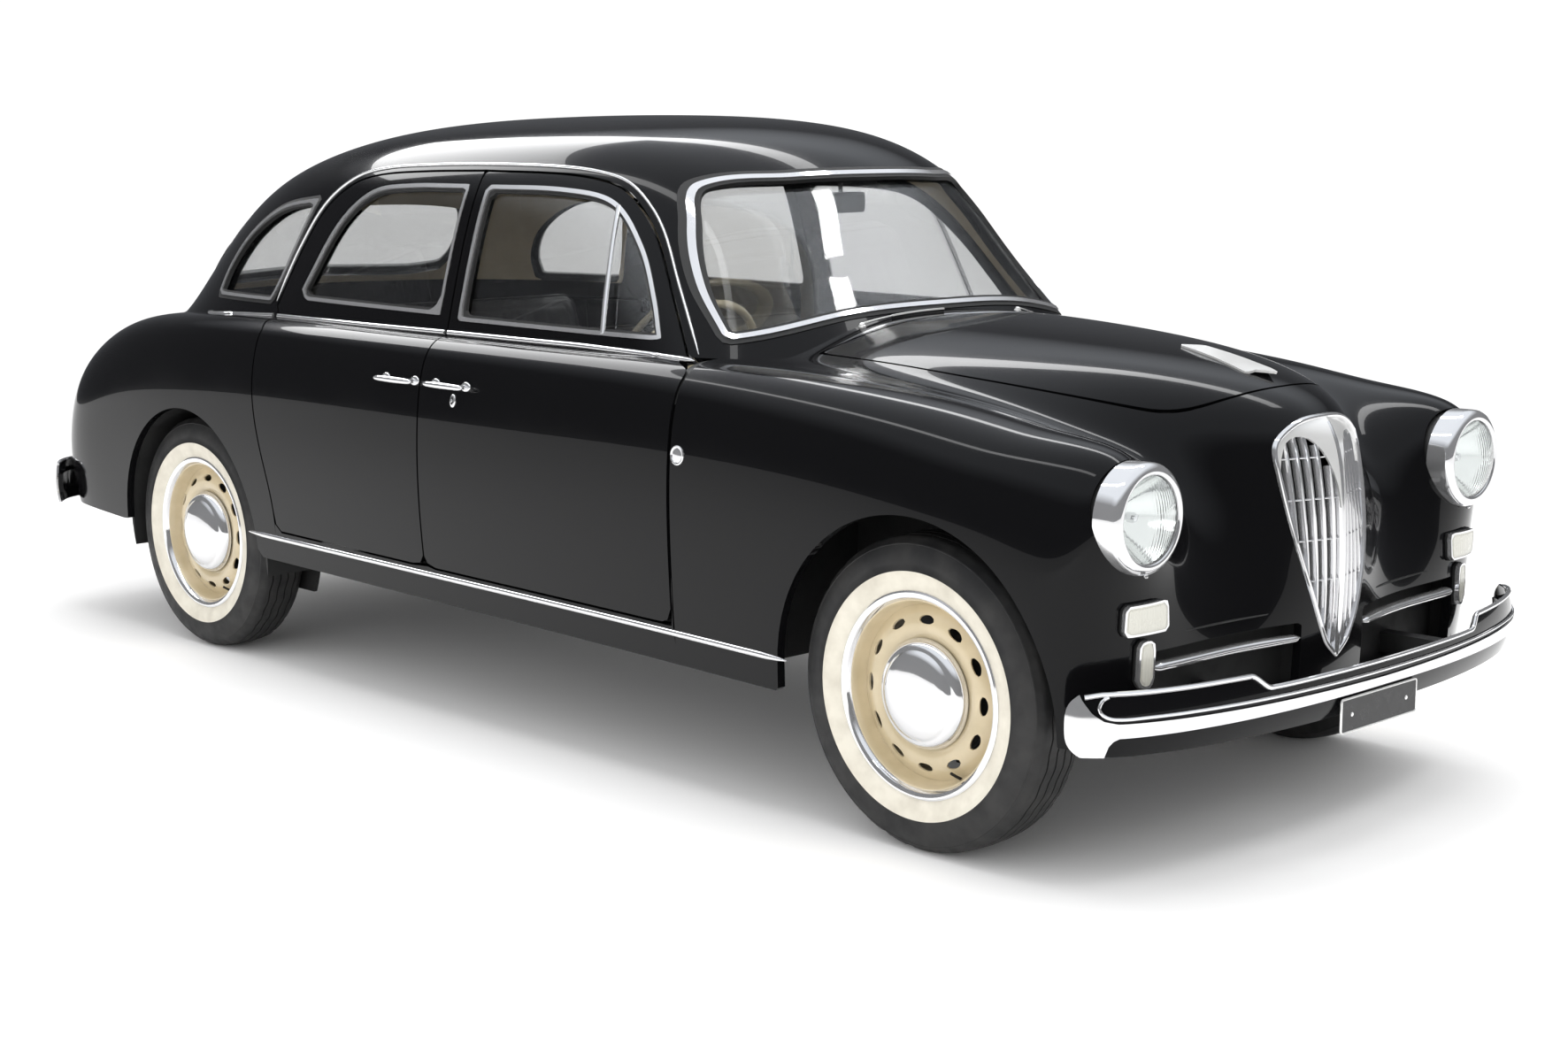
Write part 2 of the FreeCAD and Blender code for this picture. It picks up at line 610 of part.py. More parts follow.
front_door_cut = side_prism(FRONT_DOOR_SHARES, MID_Y, FAR_Y, 0.0)
rear_door_cut = side_prism(REAR_DOOR_SHARES, MID_Y, FAR_Y, 0.0)
front_door_keep = side_prism(FRONT_DOOR_SHARES, MID_Y, FAR_Y, 0.0, -DOOR_GAP / 2)
rear_door_keep = side_prism(REAR_DOOR_SHARES, MID_Y, FAR_Y, 0.0, -DOOR_GAP / 2)
door_holes = side_prism(FRONT_DOOR_SHARES, MID_Y, FAR_Y, 0.0, DOOR_GAP / 2).fuse(
    side_prism(REAR_DOOR_SHARES, MID_Y, FAR_Y, 0.0, DOOR_GAP / 2))
door_holes = door_holes.fuse(flip(door_holes))

keep("bonnet", shell.common(bonnet_keep))
keep("boot_lid", shell.common(boot_keep))

rest = shell.cut(bonnet_cut).cut(boot_cut).cut(door_holes)
split_front = SPLIT_FRONT_SHARE * STATION
split_rear = SPLIT_REAR_SHARE * STATION
front_rest = rest.common(block(split_front, FAR_X, -FAR_Y, FAR_Y, 0, FAR_Z))
middle_rest = rest.common(block(split_rear, split_front, -FAR_Y, FAR_Y, 0, SHOULDER_HEIGHT / 2))
rear_rest = rest.common(block(-FAR_X, split_rear, -FAR_Y, FAR_Y, 0, FAR_Z))
nose_zone = block(NOSE_START_SHARE * STATION, FAR_X, -NOSE_HALF_SHARE * BEAM, NOSE_HALF_SHARE * BEAM, 0, FAR_Z)
cowl_zone = block(0, COWL_START_SHARE * STATION, -COWL_HALF_SHARE * BEAM, COWL_HALF_SHARE * BEAM,
                  COWL_FLOOR_SHARE * LIFT, FAR_Z)

grille_hole = end_prism(GRILLE_SHARES, NOSE_START_SHARE * STATION, FAR_X)
intake_shares = [(INTAKE_INNER_SHARE, INTAKE_BOTTOM_SHARE), (INTAKE_HALF_SHARE, INTAKE_BOTTOM_SHARE),
                 (INTAKE_HALF_SHARE, INTAKE_TOP_SHARE), (INTAKE_INNER_SHARE, INTAKE_TOP_SHARE)]
intake_points = [Vec(NOSE_START_SHARE * STATION, y * BEAM, z * LIFT) for y, z in intake_shares]
intake = prism(intake_points, Vec(STATION, 0, 0))
lamp_holes = []
for side in (1, -1):
    lamp_holes.append(Part.makeCylinder(HEADLAMP_RADIUS + SEAT_CLEARANCE, HEADLAMP_DEPTH + OVERRUN,
                                        Vec(HEADLAMP_FRONT_X_SHARE * STATION - HEADLAMP_DEPTH, side * HEADLAMP_Y,
                                            HEADLAMP_Z), Vec(1, 0, 0)))
front_rest = front_rest.cut(grille_hole).cut(intake).cut(flip(intake)).cut(lamp_holes[0]).cut(lamp_holes[1])
keep("nose_panel", front_rest.common(nose_zone))
keep("cowl", front_rest.common(cowl_zone))
keep("front_fenders", front_rest.cut(nose_zone).cut(cowl_zone))
keep("sills", middle_rest)
keep("rear_body", rear_rest)

# Glasshouse
windscreen_cut = end_prism(WINDSCREEN_SHARES, STATION * .20, FAR_X, WINDOW_CORNER)
backlight_cut = end_prism(BACKLIGHT_SHARES, -FAR_X, -STATION * 1.10, WINDOW_CORNER)
quarter_cut = side_prism(QUARTER_WINDOW_SHARES, MID_Y, FAR_Y, WINDOW_CORNER)
front_window_cut = side_prism(FRONT_WINDOW_SHARES, MID_Y, FAR_Y, WINDOW_CORNER)
rear_window_cut = side_prism(REAR_WINDOW_SHARES, MID_Y, FAR_Y, WINDOW_CORNER)
roof_shell_all = roof_outer.cut(roof_inner)
roof = roof_shell_all.cut(body_touch).cut(door_holes).cut(windscreen_cut).cut(backlight_cut)
roof = roof.cut(quarter_cut).cut(flip(quarter_cut))
keep("roof_shell", roof)

# Doors, each on two pins carried by arms that reach out from the posts
front_hinge_x = FRONT_HINGE_X_SHARE * STATION
rear_hinge_x = REAR_HINGE_X_SHARE * STATION
door_hinges = ((front_hinge_x, FRONT_HINGE_Y, POST_FACE_Y, FRONT_HINGE_HEIGHTS),
               (rear_hinge_x, REAR_HINGE_Y, REAR_POST_FACE_Y, REAR_HINGE_HEIGHTS))


def hinge_arm(x, y, face, z):
    """An arm from the post out to the hinge line, with its pin."""
    half = HINGE_EYE_RADIUS
    arm = block(x - half, x + half, face - POST_WIDTH / 2, y, z - HINGE_ARM_HEIGHT / 2, z + HINGE_ARM_HEIGHT / 2)
    eye = rod(Vec(x, y, z - HINGE_ARM_HEIGHT / 2), Vec(x, y, z + HINGE_ARM_HEIGHT / 2), half)
    pin = rod(Vec(x, y, z - HINGE_PIN_HALF), Vec(x, y, z + HINGE_PIN_HALF), HINGE_PIN_RADIUS)
    return arm.fuse([eye, pin])


def hinge_notch(x, y, z, edge):
    """Room in the door for the arm while the door swings, open to the inside and to the edge; and the pin's bore."""
    half = HINGE_EYE_RADIUS + HINGE_ROOM
    top = z + HINGE_ARM_HEIGHT / 2 + SEAT_CLEARANCE
    low = z - HINGE_ARM_HEIGHT / 2 - SEAT_CLEARANCE
    far = edge * OVERRUN / 2
    room = block(min(x - edge * half, x + far), max(x - edge * half, x + far), 0, y, low, top)
    room = room.fuse(block(min(x, x + far), max(x, x + far), 0, y + HINGE_SWEEP, low, top))
    room = room.fuse(rod(Vec(x, y, low), Vec(x, y, top), half))
    bore = rod(Vec(x, y, z - HINGE_PIN_HALF - HINGE_ROOM), Vec(x, y, z + HINGE_PIN_HALF + HINGE_ROOM),
               HINGE_PIN_RADIUS + RUNNING_CLEARANCE)
    return room.fuse(bore)


door_skin = body_outer.cut(body_deep).cut(roof_inner).fuse(roof_shell_all)
lean_a = Vec(0, FRAME_LEAN_SHARES[0][0] * BEAM, FRAME_LEAN_SHARES[0][1] * LIFT)
lean_b = Vec(0, FRAME_LEAN_SHARES[1][0] * BEAM, FRAME_LEAN_SHARES[1][1] * LIFT)
lean = (lean_b - lean_a).normalize()
outward = Vec(0, lean.z, -lean.y)
b_x = B_LINE_SHARE * STATION
start = lean_a + Vec(b_x, 0, 0)
wedge = [start - outward * ROOF_WALL / 2 + Vec(-DOOR_GAP / 2, 0, 0), start + outward * ROOF_WALL * 2 + Vec(
    -(FRAME_GAP_OUT / 2 - DOOR_GAP / 2) * 2 - DOOR_GAP / 2, 0, 0)]
wedge += [Vec(2 * b_x - wedge[1].x, wedge[1].y, wedge[1].z), Vec(2 * b_x - wedge[0].x, wedge[0].y, wedge[0].z)]
wedge_cut = prism(wedge, lean * (SHOULDER_HEIGHT * .6))
gap = DOOR_GAP / 2
jamb = [Vec(b_x - gap, JAMB_OUTER_Y, JAMB_LOW_Z), Vec(b_x - gap - JAMB_SETBACK, JAMB_INNER_Y, JAMB_LOW_Z),
        Vec(b_x + gap + JAMB_SETBACK, JAMB_INNER_Y, JAMB_LOW_Z), Vec(b_x + gap, JAMB_OUTER_Y, JAMB_LOW_Z)]
jamb_cut = prism(jamb, Vec(0, 0, LIFT - JAMB_LOW_Z)).fuse(wedge_cut)
front_door = door_skin.common(front_door_keep).cut(jamb_cut).cut(front_window_cut).cut(arches)
rear_door = door_skin.common(rear_door_keep).cut(jamb_cut).cut(rear_window_cut).cut(arches)
for z in FRONT_HINGE_HEIGHTS:
    front_door = front_door.cut(hinge_notch(front_hinge_x, FRONT_HINGE_Y, z, 1))
for z in REAR_HINGE_HEIGHTS:
    rear_door = rear_door.cut(hinge_notch(rear_hinge_x, REAR_HINGE_Y, z, -1))
keep("front_door_left", front_door)
keep("front_door_right", flip(front_door))
keep("rear_door_left", rear_door)
keep("rear_door_right", flip(rear_door))

# Glass follows the skin a little inside it
glass_band = solid_of(inset_rows(glasshouse_rows, GLASS_INSET)).cut(
    solid_of(inset_rows(glasshouse_rows, GLASS_INSET + GLASS_THICKNESS)))


def pane(outline_cut):
    return glass_band.common(outline_cut)


windscreen_fit = end_prism(WINDSCREEN_SHARES, STATION * .20, FAR_X, WINDOW_CORNER, -SEAT_CLEARANCE)
backlight_fit = end_prism(BACKLIGHT_SHARES, -FAR_X, -STATION * 1.10, WINDOW_CORNER, -SEAT_CLEARANCE)
quarter_fit = side_prism(QUARTER_WINDOW_SHARES, MID_Y, FAR_Y, WINDOW_CORNER, -SEAT_CLEARANCE)
front_fit = side_prism(FRONT_WINDOW_SHARES, MID_Y, FAR_Y, WINDOW_CORNER, -SEAT_CLEARANCE)
rear_fit = side_prism(REAR_WINDOW_SHARES, MID_Y, FAR_Y, WINDOW_CORNER, -SEAT_CLEARANCE)
keep("windscreen", pane(windscreen_fit))
keep("rear_glass", [pane(backlight_fit)] + both(pane(quarter_fit)))
front_glass = pane(front_fit)
rear_glass = pane(rear_fit)
keep("front_glass_left", front_glass)
keep("front_glass_right", flip(front_glass))
keep("rear_glass_left", rear_glass)
keep("rear_glass_right", flip(rear_glass))

# Pressings under the skin: front frame, floor halves, tunnel, rear floor and latch panel
low_z = FLOOR_TOP - FLOOR_THICKNESS
front_house_radius = FRONT_ARCH_RADIUS + WHEELHOUSE_CLEARANCE
rear_house_radius = REAR_ARCH_RADIUS + WHEELHOUSE_CLEARANCE
rear_house_y = TRACK / 2 - TYRE_WIDTH / 2 - WHEELHOUSE_CLEARANCE
firewall_x = FIREWALL_X_SHARE * STATION
seat_panel_x = SEAT_PANEL_X_SHARE * STATION
floor_front = FLOOR_FRONT_SHARE * STATION
floor_rear = FLOOR_REAR_SHARE * STATION
tunnel_rear = TUNNEL_REAR_SHARE * STATION

floor = block(tunnel_rear, firewall_x, -HALF_WIDTH, HALF_WIDTH, low_z, FLOOR_TOP)
tunnel = block(tunnel_rear, firewall_x, -TUNNEL_HALF_WIDTH, TUNNEL_HALF_WIDTH, low_z, TUNNEL_TOP)
tunnel_inside = block(tunnel_rear - OVERRUN, firewall_x + OVERRUN, -TUNNEL_HALF_WIDTH + FLOOR_THICKNESS,
                      TUNNEL_HALF_WIDTH - FLOOR_THICKNESS, low_z - OVERRUN, TUNNEL_TOP - FLOOR_THICKNESS)
firewall = block(firewall_x, firewall_x + FIREWALL_THICKNESS, -HALF_WIDTH, HALF_WIDTH, low_z, FIREWALL_SIDE_TOP)
firewall = firewall.fuse(block(firewall_x, firewall_x + FIREWALL_THICKNESS, -FIREWALL_LANDING, FIREWALL_LANDING, low_z,
                               FAR_Z))
latch_panel = body_fit.cut(solid_of(inset_rows(body_rows, PANEL_WALL + SEAT_CLEARANCE + FLOOR_THICKNESS)))
latch_panel = latch_panel.common(block(-FAR_X, floor_rear + OVERRUN, -LATCH_HALF_WIDTH, LATCH_HALF_WIDTH,
                                       BOOT_FLOOR_TOP - FLOOR_THICKNESS, LATCH_TOP))
seat_panel = block(seat_panel_x - FLOOR_THICKNESS, seat_panel_x, -HALF_WIDTH, HALF_WIDTH,
                   BOOT_FLOOR_TOP - FLOOR_THICKNESS, BOOT_FLOOR_TOP + SEAT_CUSHION)
heel_board = block(tunnel_rear - FLOOR_THICKNESS, tunnel_rear, -HALF_WIDTH, HALF_WIDTH, low_z, BOOT_FLOOR_TOP)
boot_floor = block(floor_rear, tunnel_rear, -HALF_WIDTH, HALF_WIDTH, BOOT_FLOOR_TOP - FLOOR_THICKNESS,
                   BOOT_FLOOR_TOP)
bay_side = block(firewall_x, floor_front, BAY_HALF_WIDTH - WHEELHOUSE_WALL, BAY_HALF_WIDTH, low_z, BAY_WALL_TOP)
rail = block(firewall_x, floor_front, RAIL_HALF_SPAN - RAIL_WIDTH / 2, RAIL_HALF_SPAN + RAIL_WIDTH / 2, RAIL_BOTTOM,
             low_z + FLOOR_THICKNESS)
bay_side = bay_side.fuse(rail).fuse(block(firewall_x, floor_front, RAIL_HALF_SPAN, BAY_HALF_WIDTH, low_z, FLOOR_TOP))
house_z = axle_z + ARCH_RISE
house = Part.makeCylinder(rear_house_radius, HALF_WIDTH - rear_house_y, Vec(REAR_AXLE_X, rear_house_y, house_z),
                          Vec(0, 1, 0))
house = house.fuse(block(REAR_AXLE_X - rear_house_radius, REAR_AXLE_X + rear_house_radius, rear_house_y, HALF_WIDTH,
                         low_z, house_z))
hollow_radius = rear_house_radius - WHEELHOUSE_WALL
hollow = Part.makeCylinder(hollow_radius, HALF_WIDTH * 2, Vec(REAR_AXLE_X, rear_house_y + WHEELHOUSE_WALL, house_z),
                           Vec(0, 1, 0))
hollow = hollow.fuse(block(REAR_AXLE_X - hollow_radius, REAR_AXLE_X + hollow_radius, rear_house_y + WHEELHOUSE_WALL,
                           FAR_Y, -OVERRUN, house_z))
rear_rail = block(floor_rear + OVERRUN / 2, REAR_AXLE_X + rear_house_radius + SPRING_WIDTH, SPRING_Y - SPRING_WIDTH / 2,
                  SPRING_Y + SPRING_WIDTH / 2, BOOT_FLOOR_TOP - FLOOR_THICKNESS - RAIL_WIDTH, BOOT_FLOOR_TOP)
front_clear = block(FRONT_AXLE_X - front_house_radius, FRONT_AXLE_X + front_house_radius, BAY_HALF_WIDTH, FAR_Y,
                    -OVERRUN, house_z + front_house_radius)
front_frame = firewall.fuse(both(bay_side)).cut(front_clear.fuse(flip(front_clear))).common(body_fit).removeSplitter()
floor = floor.cut(tunnel).common(body_fit)
rear_floor = heel_board.fuse([seat_panel, boot_floor] + both(house) + both(rear_rail))
rear_floor = rear_floor.cut(tunnel_inside).cut(hollow).cut(flip(hollow))
rear_floor = rear_floor.cut(block(REAR_AXLE_X - AXLE_SLOT_HALF, REAR_AXLE_X + AXLE_SLOT_HALF, AXLE_SLOT_INNER, FAR_Y,
                                  -OVERRUN, axle_z + AXLE_SLOT_RISE))
rear_floor = rear_floor.cut(block(REAR_AXLE_X - AXLE_SLOT_HALF, REAR_AXLE_X + AXLE_SLOT_HALF, -FAR_Y, -AXLE_SLOT_INNER,
                                  -OVERRUN, axle_z + AXLE_SLOT_RISE))
door_zone = block(DOOR_ZONE_REAR_SHARE * STATION, tunnel_rear + FLOOR_THICKNESS, REAR_POST_FACE_Y, FAR_Y, SILL_CLEAR_Z,
                  FAR_Z)
rear_floor = rear_floor.cut(door_zone).cut(flip(door_zone))


def door_post(x, y, face, heights, low):
    """A post with its hinge arms."""
    post = block(x - POST_LENGTH / 2, x + POST_LENGTH / 2, face - POST_WIDTH, face, low, POST_TOP).common(body_fit)
    return post.fuse([hinge_arm(x, y, face, z) for z in heights])


front_post = door_post(*door_hinges[0], FLOOR_TOP)
rear_post = door_post(*door_hinges[1], BOOT_FLOOR_TOP - FLOOR_THICKNESS)
rear_floor = rear_floor.common(body_fit).fuse(both(rear_post)).cut(latch_panel).removeSplitter()
keep("front_frame", [front_frame] + both(front_post))
keep("floor_pan", floor)
keep("tunnel", tunnel.cut(tunnel_inside))
keep("rear_floor", rear_floor)
keep("latch_panel", latch_panel)

# Engine with its mounts, as one plain block
engine_rear = ENGINE_REAR_SHARE * STATION
engine = block(engine_rear, engine_rear + ENGINE_LENGTH, -ENGINE_WIDTH / 2, ENGINE_WIDTH / 2, FLOOR_TOP + SEAT_CLEARANCE,
               ENGINE_BOTTOM + ENGINE_HEIGHT)
engine = engine.fuse(block(engine_rear, engine_rear + ENGINE_LENGTH, -RAIL_HALF_SPAN, RAIL_HALF_SPAN,
                           FLOOR_TOP + SEAT_CLEARANCE, FLOOR_TOP + RAIL_WIDTH / 2))
keep("engine_block", engine)
radiator_x = RADIATOR_X_SHARE * STATION
radiator = block(radiator_x - RADIATOR_DEPTH / 2, radiator_x + RADIATOR_DEPTH / 2, -RADIATOR_WIDTH / 2,
                 RADIATOR_WIDTH / 2, FLOOR_TOP + SEAT_CLEARANCE, FLOOR_TOP + RADIATOR_HEIGHT)
radiator = radiator.fuse(block(radiator_x - RADIATOR_DEPTH / 2, radiator_x + RADIATOR_DEPTH / 2, -RAIL_HALF_SPAN,
                               RAIL_HALF_SPAN, FLOOR_TOP + SEAT_CLEARANCE, FLOOR_TOP + RAIL_WIDTH))
keep("radiator", radiator.common(body_fit))

# Front axle: crossmember, arms and the fixed pillars that the hub sleeves slide and turn on
pillar_top = axle_z + PILLAR_HALF_HEIGHT
pillar_low = axle_z - PILLAR_HALF_HEIGHT
member_top = RAIL_BOTTOM - SEAT_CLEARANCE
axle_parts = [block(FRONT_AXLE_X - CROSSMEMBER_WIDTH / 2, FRONT_AXLE_X + CROSSMEMBER_WIDTH / 2, -CROSSMEMBER_HALF_SPAN,
                    CROSSMEMBER_HALF_SPAN, pillar_low - CROSSMEMBER_DROP, member_top)]
for side in (1, -1):
    tower_y = side * (BAY_HALF_WIDTH + ARM_RADIUS + SEAT_CLEARANCE)
    foot_y = side * (CROSSMEMBER_HALF_SPAN - ARM_RADIUS)
    pin_y = side * KINGPIN_Y
    axle_parts.append(rod(Vec(FRONT_AXLE_X, foot_y, pillar_low), Vec(FRONT_AXLE_X, pin_y, pillar_low), ARM_RADIUS))
    axle_parts.append(rod(Vec(FRONT_AXLE_X, tower_y, pillar_top), Vec(FRONT_AXLE_X, pin_y, pillar_top), ARM_RADIUS))
    axle_parts.append(rod(Vec(FRONT_AXLE_X, tower_y, pillar_low - PILLAR_TAIL), Vec(FRONT_AXLE_X, tower_y, pillar_top + TOWER_RISE),
                          ARM_RADIUS))
    axle_parts.append(rod(Vec(FRONT_AXLE_X, pin_y, pillar_low - PILLAR_TAIL),
                          Vec(FRONT_AXLE_X, pin_y, pillar_top + PILLAR_TAIL), PILLAR_RADIUS))
keep("front_axle", axle_parts[0].fuse(axle_parts[1:]).removeSplitter())

# Hub carriers
hub_y = TRACK / 2
sleeve_low = Vec(FRONT_AXLE_X, KINGPIN_Y, axle_z - SLEEVE_HALF_HEIGHT)
sleeve_top = Vec(FRONT_AXLE_X, KINGPIN_Y, axle_z + SLEEVE_HALF_HEIGHT)
spindle_end = hub_y + DISC_OFFSET
spindle = rod(Vec(FRONT_AXLE_X, KINGPIN_Y, axle_z), Vec(FRONT_AXLE_X, spindle_end, axle_z),
              HUB_BORE_RADIUS - RUNNING_CLEARANCE)
hub_inner_y = spindle_end + DISC_THICKNESS - HUB_LENGTH
shoulder = rod(Vec(FRONT_AXLE_X, KINGPIN_Y, axle_z), Vec(FRONT_AXLE_X, hub_inner_y - RUNNING_CLEARANCE, axle_z),
               SPINDLE_ROOT_RADIUS)
arm_low = axle_z - SLEEVE_HALF_HEIGHT
arm_y = KINGPIN_Y - SLEEVE_RADIUS
steer_arm = block(FRONT_AXLE_X - SLEEVE_RADIUS - STEER_ARM, FRONT_AXLE_X - PILLAR_RADIUS, arm_y,
                  arm_y + STEER_ARM_WIDTH, arm_low, arm_low + STEER_ARM_WIDTH)
knuckle = rod(sleeve_low, sleeve_top, SLEEVE_RADIUS).fuse([spindle, shoulder, steer_arm])
knuckle = knuckle.cut(rod(sleeve_low - Vec(0, 0, OVERRUN), sleeve_top + Vec(0, 0, OVERRUN),
                          PILLAR_RADIUS + RUNNING_CLEARANCE)).removeSplitter()
keep("knuckle_left", knuckle)
keep("knuckle_right", flip(knuckle))

# Rear axle: tube, differential, stub ends and leaf springs
rear_stub = rod(Vec(REAR_AXLE_X, -spindle_end, axle_z), Vec(REAR_AXLE_X, spindle_end, axle_z),
                HUB_BORE_RADIUS - RUNNING_CLEARANCE)
tube_end = hub_inner_y - RUNNING_CLEARANCE
rear_tube = rod(Vec(REAR_AXLE_X, -tube_end, axle_z), Vec(REAR_AXLE_X, tube_end, axle_z), REAR_TUBE_RADIUS)
differential = rod(Vec(REAR_AXLE_X, -DIFFERENTIAL_LENGTH / 2, axle_z), Vec(REAR_AXLE_X, DIFFERENTIAL_LENGTH / 2, axle_z),
                   DIFFERENTIAL_RADIUS)
spring_top = BOOT_FLOOR_TOP - FLOOR_THICKNESS - RAIL_WIDTH - SEAT_CLEARANCE
springs = []
for side in (1, -1):
    y = side * SPRING_Y
    x0 = REAR_AXLE_X - SPRING_HALF_SPAN
    x1 = REAR_AXLE_X + SPRING_HALF_SPAN * SPRING_FRONT_SHARE
    low = axle_z - REAR_TUBE_RADIUS - SPRING_THICKNESS / 2
    ends = [Vec(x0, y - SPRING_WIDTH / 2, spring_top), Vec(REAR_AXLE_X, y - SPRING_WIDTH / 2, low),
            Vec(x1, y - SPRING_WIDTH / 2, spring_top)]
    lower = [p + Vec(0, 0, -SPRING_THICKNESS) for p in reversed(ends)]
    springs.append(prism(ends + lower, Vec(0, SPRING_WIDTH, 0)))
    springs.append(block(REAR_AXLE_X - SPRING_WIDTH, REAR_AXLE_X + SPRING_WIDTH, y - SPRING_WIDTH / 2,
                         y + SPRING_WIDTH / 2, low - SPRING_THICKNESS, axle_z))
keep("rear_axle", rear_stub.fuse([rear_tube, differential] + springs).removeSplitter())


# Wheels: rim barrel, disc with vents, hub, drum and domed cap in one; tyre on its seats
def revolve(points):
    face = Part.Face(Part.makePolygon(points + [points[0]]))
    return face.revolve(Vec(0, 0, 0), Vec(0, 1, 0), 360)


def tyre_shape():
    half = TYRE_WIDTH / 2
    bead = RIM_WIDTH / 2
    seat = RIM_SEAT_RADIUS + SEAT_CLEARANCE
    flank = half * TYRE_SHOULDER_SHARE
    bulge = (TYRE_RADIUS + seat) / 2
    outer = [Vec(0, half * TREAD_SHARE, TYRE_RADIUS), Vec(0, flank, TYRE_RADIUS - TYRE_WALL), Vec(0, half, bulge),
             Vec(0, flank, RIM_FLANGE_RADIUS + TYRE_WALL), Vec(0, bead, RIM_FLANGE_RADIUS + SEAT_CLEARANCE),
             Vec(0, bead, seat)]
    inner = [Vec(0, bead - TYRE_WALL, seat), Vec(0, half - TYRE_WALL, bulge),
             Vec(0, bead - TYRE_WALL, TYRE_RADIUS - TYRE_WALL)]
    mirrored = [Vec(0, -p.y, p.z) for p in outer]
    mirrored_inner = [Vec(0, -p.y, p.z) for p in inner]
    return revolve(outer + inner + list(reversed(mirrored_inner)) + list(reversed(mirrored)))


def wheel_shape():
    half = RIM_WIDTH / 2
    seat = RIM_SEAT_RADIUS
    well = seat - RIM_WELL
    profile = [Vec(0, half, seat), Vec(0, half * WELL_SHARE, seat), Vec(0, half * WELL_INNER_SHARE, well),
               Vec(0, -half * WELL_INNER_SHARE, well), Vec(0, -half * WELL_SHARE, seat), Vec(0, -half, seat)]
    lower = [Vec(0, p.y, p.z - RIM_WALL) for p in reversed(profile)]
    rim = revolve(profile + lower)
    for side in (1, -1):
        y = side * (half + SEAT_CLEARANCE)
        flange = Part.makeCylinder(RIM_FLANGE_RADIUS, RIM_WALL, Vec(0, y, 0), Vec(0, side, 0))
        flange = flange.fuse(Part.makeCylinder(seat, RIM_WALL, Vec(0, y - side * RIM_WALL, 0), Vec(0, side, 0)))
        inside = Part.makeCylinder(seat - RIM_WALL, TYRE_WIDTH * 2, Vec(0, -TYRE_WIDTH, 0), Vec(0, 1, 0))
        rim = rim.fuse(flange.cut(inside))
    disc_y = DISC_OFFSET
    disc = Part.makeCylinder(well - RIM_WALL / 2, DISC_THICKNESS, Vec(0, disc_y, 0), Vec(0, 1, 0))
    for i in range(VENT_COUNT):
        vent = block(-VENT_LENGTH / 2, VENT_LENGTH / 2, disc_y - OVERRUN, disc_y + OVERRUN,
                     VENT_CIRCLE_RADIUS - VENT_WIDTH / 2, VENT_CIRCLE_RADIUS + VENT_WIDTH / 2)
        long_edges = [e for e in vent.Edges if e.Length > OVERRUN]
        vent = vent.makeFillet(VENT_WIDTH * VENT_ROUND_SHARE, long_edges)
        vent.rotate(Vec(0, 0, 0), Vec(0, 1, 0), 360 / VENT_COUNT * i)
        disc = disc.cut(vent)
    rise = (CAP_RADIUS * CAP_RADIUS + CAP_DEPTH * CAP_DEPTH) / (CAP_DEPTH + CAP_DEPTH)
    cap = Part.makeSphere(rise, Vec(0, disc_y + DISC_THICKNESS + CAP_DEPTH - rise + CAP_EDGE, 0))
    cap = cap.common(Part.makeCylinder(CAP_RADIUS, CAP_DEPTH + CAP_EDGE + CAP_EDGE, Vec(0, disc_y, 0), Vec(0, 1, 0)))
    hub = Part.makeCylinder(HUB_RADIUS, HUB_LENGTH, Vec(0, disc_y + DISC_THICKNESS - HUB_LENGTH, 0), Vec(0, 1, 0))
    drum = Part.makeCylinder(DRUM_RADIUS, DRUM_DEPTH, Vec(0, disc_y - DRUM_DEPTH, 0), Vec(0, 1, 0))
    drum = drum.cut(Part.makeCylinder(DRUM_RADIUS - DRUM_WALL, DRUM_DEPTH, Vec(0, disc_y - DRUM_DEPTH - DRUM_WALL, 0),
                                      Vec(0, 1, 0)))
    bore = Part.makeCylinder(HUB_BORE_RADIUS, HUB_LENGTH, Vec(0, disc_y + SPINDLE_SINK - HUB_LENGTH, 0), Vec(0, 1, 0))
    return rim.fuse([disc, cap, hub, drum]).cut(bore).removeSplitter()


tyre = tyre_shape()
wheel = wheel_shape()
for corner, x in (("front", FRONT_AXLE_X), ("rear", REAR_AXLE_X)):
    for side, name in ((1, "left"), (-1, "right")):
        for kind, shape in (("tyre", tyre), ("wheel", wheel)):
            placed = shape.copy() if side > 0 else flip(shape)
            placed.translate(Vec(x, side * TRACK / 2, axle_z))
            keep(corner + "_" + kind + "_" + name, placed)


# Bumpers: a curved blade on two irons each
def band(shares, middle_z, height, depth):
    outer = [Vec(x * STATION, y * BEAM, middle_z - height / 2) for x, y in shares]
    outer = [Vec(p.x, -p.y, p.z) for p in reversed(outer[1:])] + outer
    inner = []
    for i, p in enumerate(outer):
        before = outer[max(i - 1, 0)]
        after = outer[min(i + 1, len(outer) - 1)]
        along = (after - before).normalize()
        across = Vec(-along.y, along.x, 0)
        if across.x * p.x > 0:
            across = across * -1
        inner.append(p + across * depth)
    front = Part.BSplineCurve()
    front.interpolate(outer)
    back = Part.BSplineCurve()
    back.interpolate(inner)
    edges = [front.toShape(), Part.makeLine(outer[-1], inner[-1]), back.toShape(), Part.makeLine(inner[0], outer[0])]
    return Part.Face(Part.Wire(Part.sortEdges(edges)[0])).extrude(Vec(0, 0, height))


def irons(x_tip, x_root, z):
    low_x = min(x_tip, x_root)
    high_x = max(x_tip, x_root)
    return [block(low_x, high_x, side * IRON_Y - IRON_WIDTH / 2, side * IRON_Y + IRON_WIDTH / 2,
                  z - IRON_HEIGHT / 2, z + IRON_HEIGHT / 2) for side in (1, -1)]


